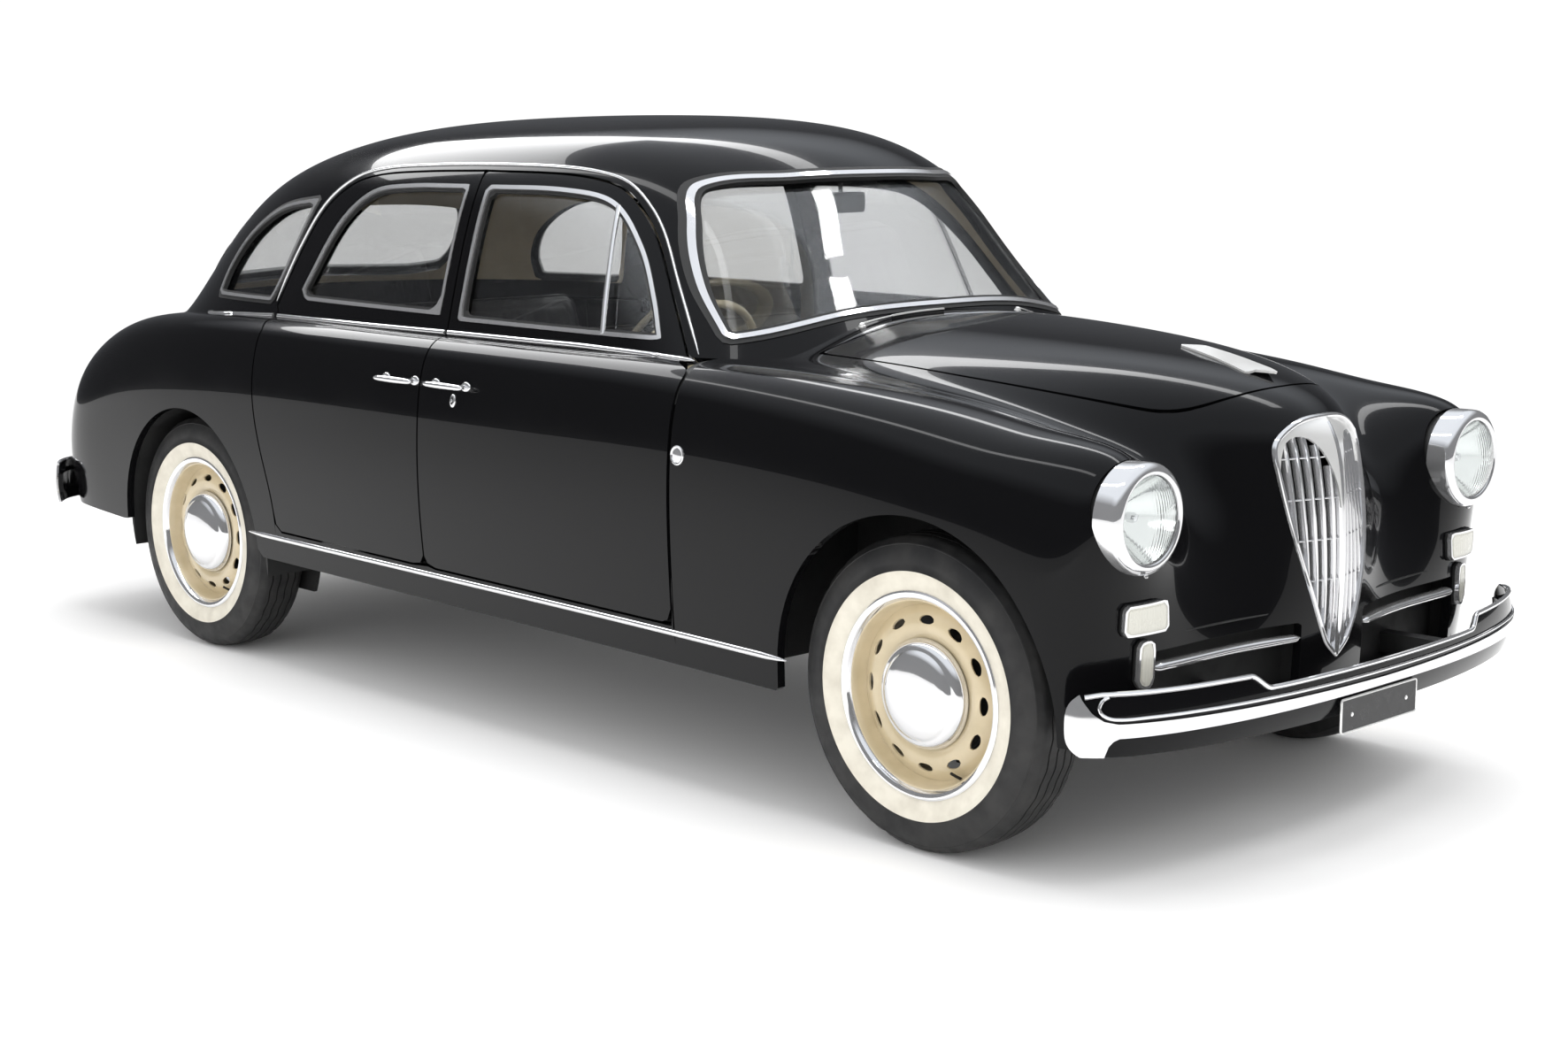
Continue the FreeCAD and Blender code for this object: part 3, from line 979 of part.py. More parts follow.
front_bumper = band(FRONT_BUMPER_SHARES, BUMPER_Z, BUMPER_HEIGHT, BUMPER_DEPTH)
step_low = BUMPER_Z + BUMPER_HEIGHT / 2 - BUMPER_STEP_DROP
front_bumper = front_bumper.cut(block(-FAR_X, FAR_X, -BUMPER_STEP_HALF, BUMPER_STEP_HALF, step_low, FAR_Z))
rear_z = BUMPER_Z + BUMPER_RISE
rear_bumper = band(REAR_BUMPER_SHARES, rear_z, BUMPER_HEIGHT, BUMPER_DEPTH)
rear_bumper = rear_bumper.cut(block(-FAR_X, FAR_X, -BUMPER_STEP_HALF, BUMPER_STEP_HALF, step_low + BUMPER_RISE, FAR_Z))
front_iron_tip = FRONT_BUMPER_SHARES[1][0] * STATION - BUMPER_DEPTH / 2
rear_iron_tip = REAR_BUMPER_SHARES[1][0] * STATION + BUMPER_DEPTH / 2
front_iron_z = FLOOR_TOP + SEAT_CLEARANCE + IRON_HEIGHT / 2
front_iron_root = floor_front - IRON_HEIGHT
keep("front_bumper", front_bumper.fuse(irons(front_iron_tip, front_iron_root, front_iron_z)))
rear_iron_root = floor_rear + IRON_HEIGHT
rear_skin = body_outer.translated(Vec(-SEAT_CLEARANCE, 0, 0))
keep("rear_bumper", rear_bumper.fuse([i.cut(rear_skin) for i in irons(rear_iron_tip, rear_iron_root, rear_z)]))

# Grille: a shield of vertical bars in a frame that follows the nose, with cross slats; intake bars beside it
proud = solid_of(inset_rows(body_rows, -GRILLE_PROUD))
behind = solid_of(inset_rows(body_rows, GRILLE_BAR_DEPTH))
fitted = end_prism(GRILLE_SHARES, NOSE_START_SHARE * STATION, FAR_X, 0.0, -SEAT_CLEARANCE)
opening = end_prism(GRILLE_SHARES, NOSE_START_SHARE * STATION, FAR_X, 0.0, -GRILLE_FRAME_WIDTH)
frame = proud.cut(behind).common(fitted).cut(opening)
bars = []
pitch = GRILLE_SHARES[3][0] * BEAM * 2 / GRILLE_BAR_COUNT
for i in range(GRILLE_BAR_COUNT):
    y = (i - (GRILLE_BAR_COUNT - 1) / 2) * pitch
    width = GRILLE_BAR_WIDTH * (2 if i == (GRILLE_BAR_COUNT - 1) / 2 else 1)
    bars.append(block(NOSE_START_SHARE * STATION, FAR_X, y - width / 2, y + width / 2, 0, FAR_Z))
for i in range(SLAT_COUNT):
    z = (GRILLE_TIP_SHARE + (GRILLE_TOP_SHARE - GRILLE_TIP_SHARE) * (i + 1) / (SLAT_COUNT + 1)) * LIFT
    bars.append(block(NOSE_START_SHARE * STATION, FAR_X, -FAR_Y, FAR_Y, z - SLAT_HEIGHT / 2, z + SLAT_HEIGHT / 2))
bar_skin = body_outer.cut(behind)
grid = bar_skin.common(fitted).common(bars[0].fuse(bars[1:]))
keep("grille", frame.fuse(grid))
intake_bars = []
for side in (1, -1):
    y0 = side * (INTAKE_INNER_SHARE * BEAM + SEAT_CLEARANCE)
    y1 = side * (INTAKE_HALF_SHARE * BEAM - SEAT_CLEARANCE)
    z = INTAKE_BAR_Z_SHARE * LIFT
    slab = block(NOSE_START_SHARE * STATION, FAR_X, min(y0, y1), max(y0, y1), z - INTAKE_BAR_RADIUS, z + INTAKE_BAR_RADIUS)
    intake_bars.append(bar_skin.common(slab))
keep("intake_bars", intake_bars)


# Lamps
def lamp(side):
    face_x = HEADLAMP_FRONT_X_SHARE * STATION
    centre = Vec(face_x - HEADLAMP_DEPTH, side * HEADLAMP_Y, HEADLAMP_Z)
    cup = Part.makeCylinder(HEADLAMP_RADIUS, HEADLAMP_DEPTH, centre, Vec(1, 0, 0))
    bore = Part.makeCylinder(HEADLAMP_GLASS_RADIUS, HEADLAMP_DEPTH, centre + Vec(PANEL_WALL, 0, 0), Vec(1, 0, 0))
    radius = HEADLAMP_GLASS_RADIUS - SEAT_CLEARANCE
    glass = Part.makeCylinder(radius, PANEL_WALL / 2, Vec(face_x - PANEL_WALL / 2, side * HEADLAMP_Y, HEADLAMP_Z),
                              Vec(1, 0, 0))
    rise = (radius * radius + HEADLAMP_DOME * HEADLAMP_DOME) / (HEADLAMP_DOME + HEADLAMP_DOME)
    dome = Part.makeSphere(rise, Vec(face_x + HEADLAMP_DOME - rise, side * HEADLAMP_Y, HEADLAMP_Z))
    dome = dome.common(Part.makeCylinder(radius, HEADLAMP_DOME, Vec(face_x, side * HEADLAMP_Y, HEADLAMP_Z), Vec(1, 0, 0)))
    return cup.cut(bore), glass.fuse(dome)


cups, lenses = zip(*[lamp(side) for side in (1, -1)])
keep("headlamps", list(cups))
keep("headlamp_glass", list(lenses))


def proud_lens(y, z, width, height, radius):
    """A lens standing out of the skin by half its depth, its back on the skin."""
    points = [Vec(NOSE_START_SHARE * STATION, y + a * width / 2, z + b * height / 2)
              for a, b in ((-1, -1), (1, -1), (1, 1), (-1, 1))]
    return lens_skin.common(prism(points, Vec(STATION, 0, 0), radius))


lens_skin = solid_of(inset_rows(body_rows, -SIDELAMP_DEPTH / 2)).cut(body_touch)
small_lamps = []
for side in (1, -1):
    small_lamps.append(proud_lens(side * SIDELAMP_Y, SIDELAMP_Z, SIDELAMP_WIDTH, SIDELAMP_HEIGHT,
                                  SIDELAMP_HEIGHT * LENS_ROUND_SHARE))
    small_lamps.append(proud_lens(side * SIDELAMP_Y, OVAL_Z, OVAL_WIDTH, OVAL_HEIGHT, OVAL_WIDTH * OVAL_ROUND_SHARE))
keep("front_sidelamps", small_lamps)
tail = []
for side in (1, -1):
    tool = Part.makeCylinder(TAIL_LAMP_RADIUS, FAR_X, Vec(-FAR_X, side * TAIL_LAMP_Y, TAIL_LAMP_Z), Vec(1, 0, 0))
    tool = tool.common(block(-FAR_X, -NOSE_START_SHARE * STATION, -FAR_Y, FAR_Y, 0, FAR_Z))
    tail.append(lens_skin.common(tool))
keep("tail_lamps", tail)

# Number plates, blank
front_face = FRONT_BUMPER_SHARES[0][0] * STATION + SEAT_CLEARANCE
rear_face = REAR_BUMPER_SHARES[0][0] * STATION - SEAT_CLEARANCE
plate_z = BUMPER_Z - BUMPER_HEIGHT / 2
front_plate = block(front_face, front_face + PLATE_THICKNESS, FRONT_PLATE_Y - PLATE_WIDTH / 2,
                    FRONT_PLATE_Y + PLATE_WIDTH / 2, plate_z - PLATE_HEIGHT / 2, plate_z + PLATE_HEIGHT / 2)
rear_plate = block(rear_face - PLATE_THICKNESS, rear_face, -PLATE_WIDTH / 2, PLATE_WIDTH / 2,
                   rear_z - PLATE_HEIGHT / 2, rear_z + PLATE_HEIGHT / 2)
keep("number_plates", [front_plate, rear_plate])

# Fuel tank and exhaust under the floor
tank_rear = TANK_REAR_SHARE * STATION + SPRING_WIDTH
tank_top = BOOT_FLOOR_TOP - FLOOR_THICKNESS - SEAT_CLEARANCE
tank = block(tank_rear, tank_rear + TANK_LENGTH, -TANK_WIDTH / 2, TANK_WIDTH / 2, tank_top - TANK_HEIGHT, tank_top)
keep("fuel_tank", tank.makeFillet(SEAT_ROUND / 2, [e for e in tank.Edges if e.Vertexes[0].Point.z < tank_top
                                                   or e.Vertexes[-1].Point.z < tank_top]))
pipe_rear = tunnel_rear + OVERRUN
silencer_x = (split_front + split_rear) / 2
silencer_z = EXHAUST_Z - SILENCER_RADIUS + EXHAUST_RADIUS
pipe = rod(Vec(engine_rear, EXHAUST_Y, EXHAUST_Z), Vec(pipe_rear, EXHAUST_Y, EXHAUST_Z), EXHAUST_RADIUS)
silencer = rod(Vec(silencer_x - SILENCER_LENGTH / 2, EXHAUST_Y, silencer_z),
               Vec(silencer_x + SILENCER_LENGTH / 2, EXHAUST_Y, silencer_z), SILENCER_RADIUS)
hangers = [block(x - EXHAUST_RADIUS, x + EXHAUST_RADIUS, EXHAUST_Y - EXHAUST_RADIUS / 2, EXHAUST_Y + EXHAUST_RADIUS / 2,
                 EXHAUST_Z, low_z - SEAT_CLEARANCE) for x in (split_front, pipe_rear + EXHAUST_RADIUS * 2)]
keep("exhaust", pipe.fuse([silencer] + hangers))


# Seats
def seat(x, y, width, floor_z, gap):
    lean = SEAT_BACK_TOP * SEAT_BACK_LEAN_SHARE
    bottom = floor_z + gap
    middle = bottom + SEAT_CUSHION / 2
    left = y - width / 2
    cushion = block(x, x + SEAT_DEPTH, left, left + width, bottom, bottom + SEAT_CUSHION)
    cushion = cushion.makeFillet(SEAT_ROUND, cushion.Edges)
    points = [Vec(x + SEAT_BACK, left, middle), Vec(x, left, middle), Vec(x - lean, left, SEAT_BACK_TOP),
              Vec(x - lean + SEAT_BACK, left, SEAT_BACK_TOP)]
    back = prism(points, Vec(0, width, 0))
    back = back.makeFillet(SEAT_ROUND, back.Edges)
    legs = [block(leg_x, leg_x + SEAT_LEG, left + SEAT_ROUND, left + width - SEAT_ROUND, floor_z + SEAT_CLEARANCE,
                  middle) for leg_x in (x + SEAT_ROUND, x + SEAT_DEPTH - SEAT_ROUND - SEAT_LEG)]
    return cushion.fuse([back] + legs)


front_x = FRONT_SEAT_X_SHARE * STATION
rear_x = REAR_SEAT_X_SHARE * STATION - SEAT_DEPTH + SEAT_BACK
rear_seat_space = block(seat_panel_x - FLOOR_THICKNESS - SEAT_CLEARANCE, seat_panel_x + SEAT_CLEARANCE, -HALF_WIDTH,
                        HALF_WIDTH, low_z, BOOT_FLOOR_TOP + SEAT_CUSHION + SEAT_CLEARANCE)
tunnel_space = block(tunnel_rear - OVERRUN, firewall_x, -TUNNEL_HALF_WIDTH - SEAT_CLEARANCE,
                     TUNNEL_HALF_WIDTH + SEAT_CLEARANCE, low_z, TUNNEL_TOP + SEAT_CLEARANCE)
keep("front_seats", [seat(front_x, side * SEAT_Y, SEAT_WIDTH, FLOOR_TOP, SEAT_BOTTOM_GAP).cut(tunnel_space)
                     for side in (1, -1)])
keep("rear_seat", seat(rear_x, 0, REAR_SEAT_WIDTH, BOOT_FLOOR_TOP, REAR_SEAT_GAP).cut(rear_seat_space))

# Dashboard, fixed to the bulkhead
dash_x = DASH_X_SHARE * STATION
dash = block(dash_x - DASH_DEPTH, firewall_x - SEAT_CLEARANCE, -DASH_HALF_WIDTH, DASH_HALF_WIDTH, DASH_TOP - DASH_HEIGHT,
             DASH_TOP)
dash = dash.cut(block(dash_x, firewall_x - FIREWALL_THICKNESS, -FAR_Y, FAR_Y, DASH_TOP - DASH_HEIGHT - OVERRUN,
                      DASH_TOP - PANEL_WALL))

# Steering column and wheel
tilt = math.radians(COLUMN_SLOPE)
column_dir = Vec(-math.cos(tilt), 0, math.sin(tilt))
hub_point = Vec(WHEEL_HUB_X, DRIVER_Y, WHEEL_HUB_Z)
column_top = hub_point - column_dir * STEERING_HUB_RADIUS
column_foot = column_top - column_dir * STATION
cabin_space = block(0, firewall_x - SEAT_CLEARANCE, -FAR_Y, FAR_Y, FLOOR_TOP + SEAT_CLEARANCE, FAR_Z)
column = rod(column_foot, column_top, COLUMN_RADIUS).common(cabin_space)
column_space = rod(column_foot, column_top, COLUMN_RADIUS + SEAT_CLEARANCE)
column_bore = rod(column_top - column_dir * STEERING_HUB_RADIUS * 2, column_top + column_dir * OVERRUN,
                  SHAFT_RADIUS + RUNNING_CLEARANCE)
keep("dashboard", dash.common(body_fit).cut(column_space))
keep("steering_column", column.cut(column_bore))
ring = Part.makeTorus(STEERING_RADIUS, STEERING_RIM, hub_point, column_dir)
boss = rod(hub_point - column_dir * (STEERING_HUB_RADIUS - RUNNING_CLEARANCE), hub_point + column_dir * STEERING_RIM,
           STEERING_HUB_RADIUS)
shaft = rod(hub_point - column_dir * STEERING_HUB_RADIUS * 2, hub_point, SHAFT_RADIUS)
side_dir = Vec(0, 1, 0)
down_dir = column_dir.cross(side_dir)
spokes = []
for angle in SPOKE_ANGLES:
    direction = side_dir * math.cos(math.radians(angle)) + down_dir * math.sin(math.radians(angle))
    spokes.append(rod(hub_point, hub_point + direction * STEERING_RADIUS, STEERING_SPOKE))
keep("steering_wheel", ring.fuse([boss, shaft] + spokes))

# Mirror hangs from the roof
mirror = block(MIRROR_X - MIRROR_DEPTH / 2, MIRROR_X + MIRROR_DEPTH / 2, -MIRROR_WIDTH / 2, MIRROR_WIDTH / 2,
               MIRROR_Z - MIRROR_HEIGHT / 2, MIRROR_Z + MIRROR_HEIGHT / 2)
mirror = mirror.makeFillet(MIRROR_STEM, [e for e in mirror.Edges if e.Length < MIRROR_DEPTH + TINY])
stem = rod(Vec(MIRROR_X, 0, MIRROR_Z), Vec(MIRROR_X, 0, FAR_Z), MIRROR_STEM)
roof_touch = solid_of(inset_rows(glasshouse_rows, ROOF_WALL + SEAT_CLEARANCE))
keep("interior_mirror", mirror.fuse(stem.common(roof_touch)))

# Wipers: a post and a thin arm on each side of the middle, standing on the cowl
wiper_top = solid_of(inset_rows(body_rows, -WIPER_RADIUS * 2))
wiper_low = solid_of(inset_rows(body_rows, -WIPER_RADIUS))


def wiper(foot, tip):
    """A post on the cowl and the arm that lies from it along the foot of the windscreen."""
    foot_x, foot_y = foot[0] * STATION, foot[1] * BEAM
    tip_x, tip_y = tip[0] * STATION, tip[1] * BEAM
    post = rod(Vec(foot_x, foot_y, SHOULDER_HEIGHT), Vec(foot_x, foot_y, FAR_Z), WIPER_RADIUS * 2)
    post = post.common(wiper_top).cut(body_touch)
    low = SHOULDER_HEIGHT * COWL_FLOOR_SHARE
    plan = [Vec(foot_x - WIPER_RADIUS, foot_y, low), Vec(foot_x + WIPER_RADIUS, foot_y, low),
            Vec(tip_x + WIPER_RADIUS, tip_y, low), Vec(tip_x - WIPER_RADIUS, tip_y, low)]
    return post.fuse(prism(plan, Vec(0, 0, FAR_Z)).common(wiper_top.cut(wiper_low)))


keep("wipers", [wiper(foot, tip).cut(roof_outer) for foot, tip in WIPER_SHARES])


# Handles on the doors
body_face = surface_of(body_rows).toShape()


def surface_y(x, z):
    line = Part.makeLine(Vec(x, HALF_WIDTH / 2, z), Vec(x, FAR_Y, z))
    return max(v.Point.y for v in body_face.section(line).Vertexes)


def handle(x):
    y = surface_y(x, HANDLE_Z) + HANDLE_STANDOFF
    half = HANDLE_LENGTH / 2
    grip = rod(Vec(x - half, y, HANDLE_Z), Vec(x + half, y, HANDLE_Z), HANDLE_RADIUS)
    feet = []
    for share in (-HANDLE_FOOT_SHARE, HANDLE_FOOT_SHARE):
        foot_x = x + share * HANDLE_LENGTH
        feet.append(rod(Vec(foot_x, surface_y(foot_x, HANDLE_Z) - HANDLE_RADIUS, HANDLE_Z), Vec(foot_x, y, HANDLE_Z),
                        HANDLE_FOOT_RADIUS))
    return grip.fuse(feet).cut(body_touch)


for label, share in (("front", FRONT_HANDLE_SHARE), ("rear", REAR_HANDLE_SHARE)):
    shape = handle(share * STATION)
    keep(label + "_handle_left", shape)
    keep(label + "_handle_right", flip(shape))

# Bonnet ornament: a low spear on the bonnet's front
spear_points = [Vec(x * STATION, y * ORNAMENT_HALF_WIDTH, SHOULDER_HEIGHT * COWL_FLOOR_SHARE) for x, y in SPEAR_SHARES]
spear = prism(spear_points, Vec(0, 0, SHOULDER_HEIGHT))
lifted = solid_of(inset_rows(body_rows, -ORNAMENT_HEIGHT / 2)).cut(body_touch)
keep("bonnet_ornament", lifted.common(spear))

for name, shape in NODES.items():
    shape.exportStep("parts/" + name + ".step")
    print(name, len(shape.Solids), round(shape.Volume / 1e6, 2), shape.isValid())
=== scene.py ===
import math

import bmesh
import bpy
import numpy as np
from mathutils import Matrix, Vector
from mathutils.bvhtree import BVHTree


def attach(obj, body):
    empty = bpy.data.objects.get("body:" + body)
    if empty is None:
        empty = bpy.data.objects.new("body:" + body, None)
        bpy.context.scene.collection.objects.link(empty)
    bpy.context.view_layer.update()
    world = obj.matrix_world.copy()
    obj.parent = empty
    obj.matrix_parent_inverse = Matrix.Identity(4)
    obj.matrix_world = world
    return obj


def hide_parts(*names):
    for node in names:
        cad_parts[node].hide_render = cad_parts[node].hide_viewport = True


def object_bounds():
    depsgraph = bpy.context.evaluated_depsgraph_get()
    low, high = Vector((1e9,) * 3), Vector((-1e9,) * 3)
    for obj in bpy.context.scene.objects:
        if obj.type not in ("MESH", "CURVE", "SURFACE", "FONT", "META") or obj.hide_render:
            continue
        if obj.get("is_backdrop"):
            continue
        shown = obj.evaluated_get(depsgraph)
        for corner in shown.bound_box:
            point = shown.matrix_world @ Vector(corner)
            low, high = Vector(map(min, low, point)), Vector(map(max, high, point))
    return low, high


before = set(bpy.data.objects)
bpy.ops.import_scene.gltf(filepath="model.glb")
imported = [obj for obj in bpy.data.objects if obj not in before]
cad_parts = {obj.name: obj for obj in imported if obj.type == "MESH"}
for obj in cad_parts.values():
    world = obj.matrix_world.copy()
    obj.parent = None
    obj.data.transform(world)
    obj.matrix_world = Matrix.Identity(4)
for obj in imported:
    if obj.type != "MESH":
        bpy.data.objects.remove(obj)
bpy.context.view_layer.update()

# The same drawn lines as the solids, in metres
BODY_NET = [
    [(2.075, 0, .25), (2.07, .12, .25), (2.06, .28, .25), (2.05, .42, .25), (2.03, .56, .25), (1.99, .66, .25),
     (1.96, .72, .25), (1.93, .755, .25), (1.90, .77, .25)],
    [(2.10, 0, .42), (2.085, .12, .42), (2.06, .28, .45), (2.05, .42, .45), (2.04, .58, .44), (2.00, .71, .42),
     (1.95, .765, .37), (1.90, .775, .31), (1.85, .775, .25)],
    [(2.115, 0, .60), (2.08, .13, .60), (2.01, .27, .62), (2.01, .42, .62), (2.035, .60, .62), (1.99, .745, .60),
     (1.92, .785, .50), (1.85, .785, .38), (1.78, .78, .25)],
    [(2.105, 0, .80), (2.06, .15, .80), (1.93, .27, .76), (1.925, .40, .73), (2.075, .60, .815), (2.02, .76, .765),
     (1.85, .79, .60), (1.75, .79, .44), (1.68, .78, .25)],
    [(2.075, 0, .915), (2.02, .17, .91), (1.86, .30, .85), (1.85, .42, .815), (2.045, .60, .925), (1.945, .755, .86),
     (1.75, .795, .68), (1.65, .79, .48), (1.58, .78, .25)],
    [(1.96, 0, .985), (1.90, .20, .975), (1.76, .36, .92), (1.73, .46, .865), (1.80, .60, .93), (1.70, .765, .89),
     (1.60, .80, .72), (1.52, .79, .50), (1.48, .78, .25)],
    [(1.70, 0, 1.04), (1.68, .22, 1.03), (1.58, .40, .975), (1.56, .49, .92), (1.58, .60, .962), (1.50, .765, .93),
     (1.42, .80, .74), (1.36, .79, .50), (1.34, .78, .25)],
    [(1.30, 0, 1.075), (1.30, .24, 1.065), (1.28, .43, 1.00), (1.27, .52, .965), (1.26, .62, .985), (1.20, .765, .96),
     (1.15, .80, .76), (1.12, .79, .50), (1.10, .775, .25)],
    [(.85, 0, 1.09), (.85, .26, 1.08), (.85, .46, 1.02), (.85, .55, .99), (.84, .65, 1.005), (.82, .765, .975),
     (.80, .80, .77), (.80, .79, .50), (.80, .77, .25)],
    [(.35, 0, 1.05), (.35, .26, 1.04), (.35, .46, 1.0), (.35, .57, .985), (.35, .675, 1.0), (.35, .765, .975),
     (.35, .80, .78), (.35, .795, .50), (.35, .765, .25)],
    [(-.30, 0, 1.0), (-.30, .26, 1.0), (-.30, .46, 1.0), (-.30, .57, .985), (-.30, .685, 1.0), (-.30, .77, .975),
     (-.30, .805, .78), (-.30, .80, .50), (-.30, .765, .25)],
    [(-.95, 0, 1.0), (-.95, .26, 1.0), (-.95, .46, 1.0), (-.95, .57, .985), (-.95, .685, 1.0), (-.95, .77, .98),
     (-.95, .805, .78), (-.95, .80, .50), (-.95, .77, .25)],
    [(-1.45, 0, 1.0), (-1.45, .26, 1.0), (-1.45, .46, .99), (-1.45, .57, .975), (-1.45, .67, .985), (-1.42, .765, .96),
     (-1.40, .80, .77), (-1.38, .80, .50), (-1.36, .775, .25)],
    [(-1.85, 0, .99), (-1.83, .26, .985), (-1.80, .44, .97), (-1.80, .56, .955), (-1.80, .65, .95), (-1.76, .75, .91),
     (-1.72, .79, .74), (-1.68, .79, .50), (-1.64, .775, .25)],
    [(-2.09, 0, .89), (-2.08, .26, .885), (-2.07, .42, .88), (-2.06, .54, .87), (-2.05, .64, .845), (-2.01, .74, .79),
     (-1.95, .78, .68), (-1.89, .785, .48), (-1.84, .77, .25)],
    [(-2.20, 0, .78), (-2.195, .26, .775), (-2.185, .42, .765), (-2.17, .54, .75), (-2.15, .64, .72),
     (-2.09, .735, .66), (-2.03, .77, .57), (-1.97, .775, .44), (-1.92, .765, .25)],
    [(-2.23, 0, .60), (-2.225, .26, .60), (-2.215, .42, .59), (-2.20, .54, .58), (-2.18, .635, .55), (-2.13, .72, .51),
     (-2.08, .755, .45), (-2.02, .765, .36), (-1.97, .755, .25)],
    [(-2.18, 0, .44), (-2.175, .26, .44), (-2.165, .42, .43), (-2.15, .53, .425), (-2.13, .60, .41), (-2.10, .67, .39),
     (-2.06, .715, .35), (-2.02, .73, .30), (-1.99, .73, .25)],
    [(-2.13, 0, .25), (-2.125, .26, .25), (-2.12, .42, .25), (-2.11, .52, .25), (-2.10, .58, .25), (-2.08, .64, .25),
     (-2.06, .68, .25), (-2.04, .71, .25), (-2.02, .72, .25)],
]
GLASSHOUSE_NET = [
    [(1.09, 0, .93), (1.08, .20, .93), (1.05, .40, .93), (.98, .57, .93), (.89, .67, .93), (.80, .70, .93)],
    [(.95, 0, 1.08), (.94, .20, 1.08), (.91, .41, 1.07), (.85, .59, 1.05), (.74, .68, 1.00), (.62, .705, .93)],
    [(.83, 0, 1.26), (.82, .20, 1.26), (.785, .40, 1.245), (.71, .565, 1.21), (.51, .66, 1.12), (.36, .71, .93)],
    [(.70, 0, 1.44), (.69, .19, 1.435), (.64, .38, 1.415), (.55, .535, 1.37), (.28, .635, 1.22), (.14, .71, .93)],
    [(.45, 0, 1.54), (.44, .18, 1.535), (.39, .38, 1.51), (.29, .54, 1.45), (.05, .625, 1.27), (-.05, .71, .93)],
    [(.05, 0, 1.555), (.04, .18, 1.55), (.02, .39, 1.525), (-.03, .55, 1.465), (-.15, .63, 1.29), (-.20, .71, .93)],
    [(-.40, 0, 1.552), (-.40, .18, 1.547), (-.40, .39, 1.52), (-.40, .55, 1.46), (-.42, .63, 1.28), (-.45, .71, .93)],
    [(-.93, 0, 1.53), (-.91, .18, 1.525), (-.88, .38, 1.495), (-.83, .535, 1.435), (-.77, .62, 1.27), (-.75, .70, .93)],
    [(-1.40, 0, 1.435), (-1.38, .18, 1.43), (-1.33, .37, 1.40), (-1.24, .51, 1.345), (-1.12, .60, 1.21),
     (-1.04, .69, .93)],
    [(-1.69, 0, 1.27), (-1.67, .18, 1.265), (-1.61, .36, 1.24), (-1.52, .49, 1.19), (-1.40, .58, 1.10),
     (-1.30, .67, .93)],
    [(-1.86, 0, 1.07), (-1.84, .18, 1.07), (-1.79, .35, 1.055), (-1.71, .47, 1.03), (-1.61, .56, 1.00),
     (-1.52, .64, .93)],
    [(-1.97, 0, .93), (-1.95, .18, .93), (-1.91, .34, .93), (-1.84, .44, .93), (-1.76, .53, .93), (-1.70, .60, .93)],
]
UNDERSIDE = [(2.4, .30), (1.94, .30), (1.20, .292), (-.95, .322), (-1.64, .341), (-2.4, .375)]
FRONT_DOOR = [
    (-.135, .399), (.825, .389), (.825, .975), (.752, .992), (.64, 1.136), (.528, 1.273), (.422, 1.353),
    (.337, 1.385), (.175, 1.404), (-.135, 1.409)]
REAR_DOOR = [
    (-.135, 1.409), (-.398, 1.404), (-.611, 1.392), (-.73, 1.366), (-.83, 1.298), (-.908, 1.172), (-.979, 1.014),
    (-.925, .965), (-.921, .90), (-.919, .80), (-.905, .72), (-.885, .65), (-.845, .52), (-.828, .408), (-.135, .399)]
FRONT_WINDOW = [
    (-.095, 1.035), (.655, 1.030), (.602, 1.116), (.509, 1.236), (.377, 1.337), (.202, 1.366), (-.095, 1.370)]
REAR_WINDOW = [
    (-.178, 1.045), (-.175, 1.370), (-.453, 1.366), (-.616, 1.345), (-.732, 1.264), (-.831, 1.108), (-.862, 1.050)]
QUARTER_WINDOW = [
    (-1.012, 1.036), (-.966, 1.124), (-.888, 1.321), (-1.112, 1.290), (-1.28, 1.210), (-1.361, 1.116),
    (-1.375, 1.034)]
WINDSCREEN = [(0, 1.092), (.30, 1.082), (.598, 1.034), (.575, 1.150), (.52, 1.290), (.455, 1.383), (.25, 1.403),
              (0, 1.408)]
BACKLIGHT = [(0, 1.060), (.34, 1.055), (.43, 1.070), (.44, 1.12), (.415, 1.22), (.36, 1.285), (0, 1.300)]
BOOT = [(0, .895), (.40, .885), (.47, .85), (.49, .60), (.45, .535), (0, .530)]
BONNET = [(1.045, 0), (1.035, .20), (.985, .47), (1.18, .455), (1.43, .43), (1.63, .385), (1.80, .31),
          (1.88, .24), (1.93, .14), (1.95, 0)]
GRILLE = [(0, .915), (.09, .905), (.152, .865), (.158, .80), (.135, .66), (.095, .54), (.045, .435), (0, .395)]
INTAKE = [(.118, .325), (.575, .325), (.575, .485), (.118, .485)]
FRONT_AXLE_X = 1.555
REAR_AXLE_X = -1.305
TYRE_RADIUS = .3415
ARCH_Z = .3475
FRONT_ARCH_RADIUS = .382
REAR_ARCH_RADIUS = .366
HALF_TRACK = .6735
GAP = .006
PANEL_WALL = .022
DOOR_WALL = .058
ROOF_WALL = .034
SEAM = .0012
FLANK_Y = .336


def basis(count, t):
    """Cubic B-spline weights of count poles at each t of 0 to 1."""
    knots = np.concatenate([[0] * 3, np.linspace(0, 1, count - 2), [1] * 3])
    t = np.clip(t, 0, 1 - 1e-9)
    weights = np.array([(knots[i] <= t) & (t < knots[i + 1]) for i in range(len(knots) - 1)], float).T
    for degree in (1, 2, 3):
        raised = np.zeros((len(t), weights.shape[1] - 1))
        for i in range(raised.shape[1]):
            left = knots[i + degree] - knots[i]
            right = knots[i + degree + 1] - knots[i + 1]
            if left > 0:
                raised[:, i] += (t - knots[i]) / left * weights[:, i]
            if right > 0:
                raised[:, i] += (knots[i + degree + 1] - t) / right * weights[:, i + 1]
        weights = raised
    return weights


def unit(v):
    return v / np.maximum(np.linalg.norm(v, axis=-1, keepdims=True), 1e-12)


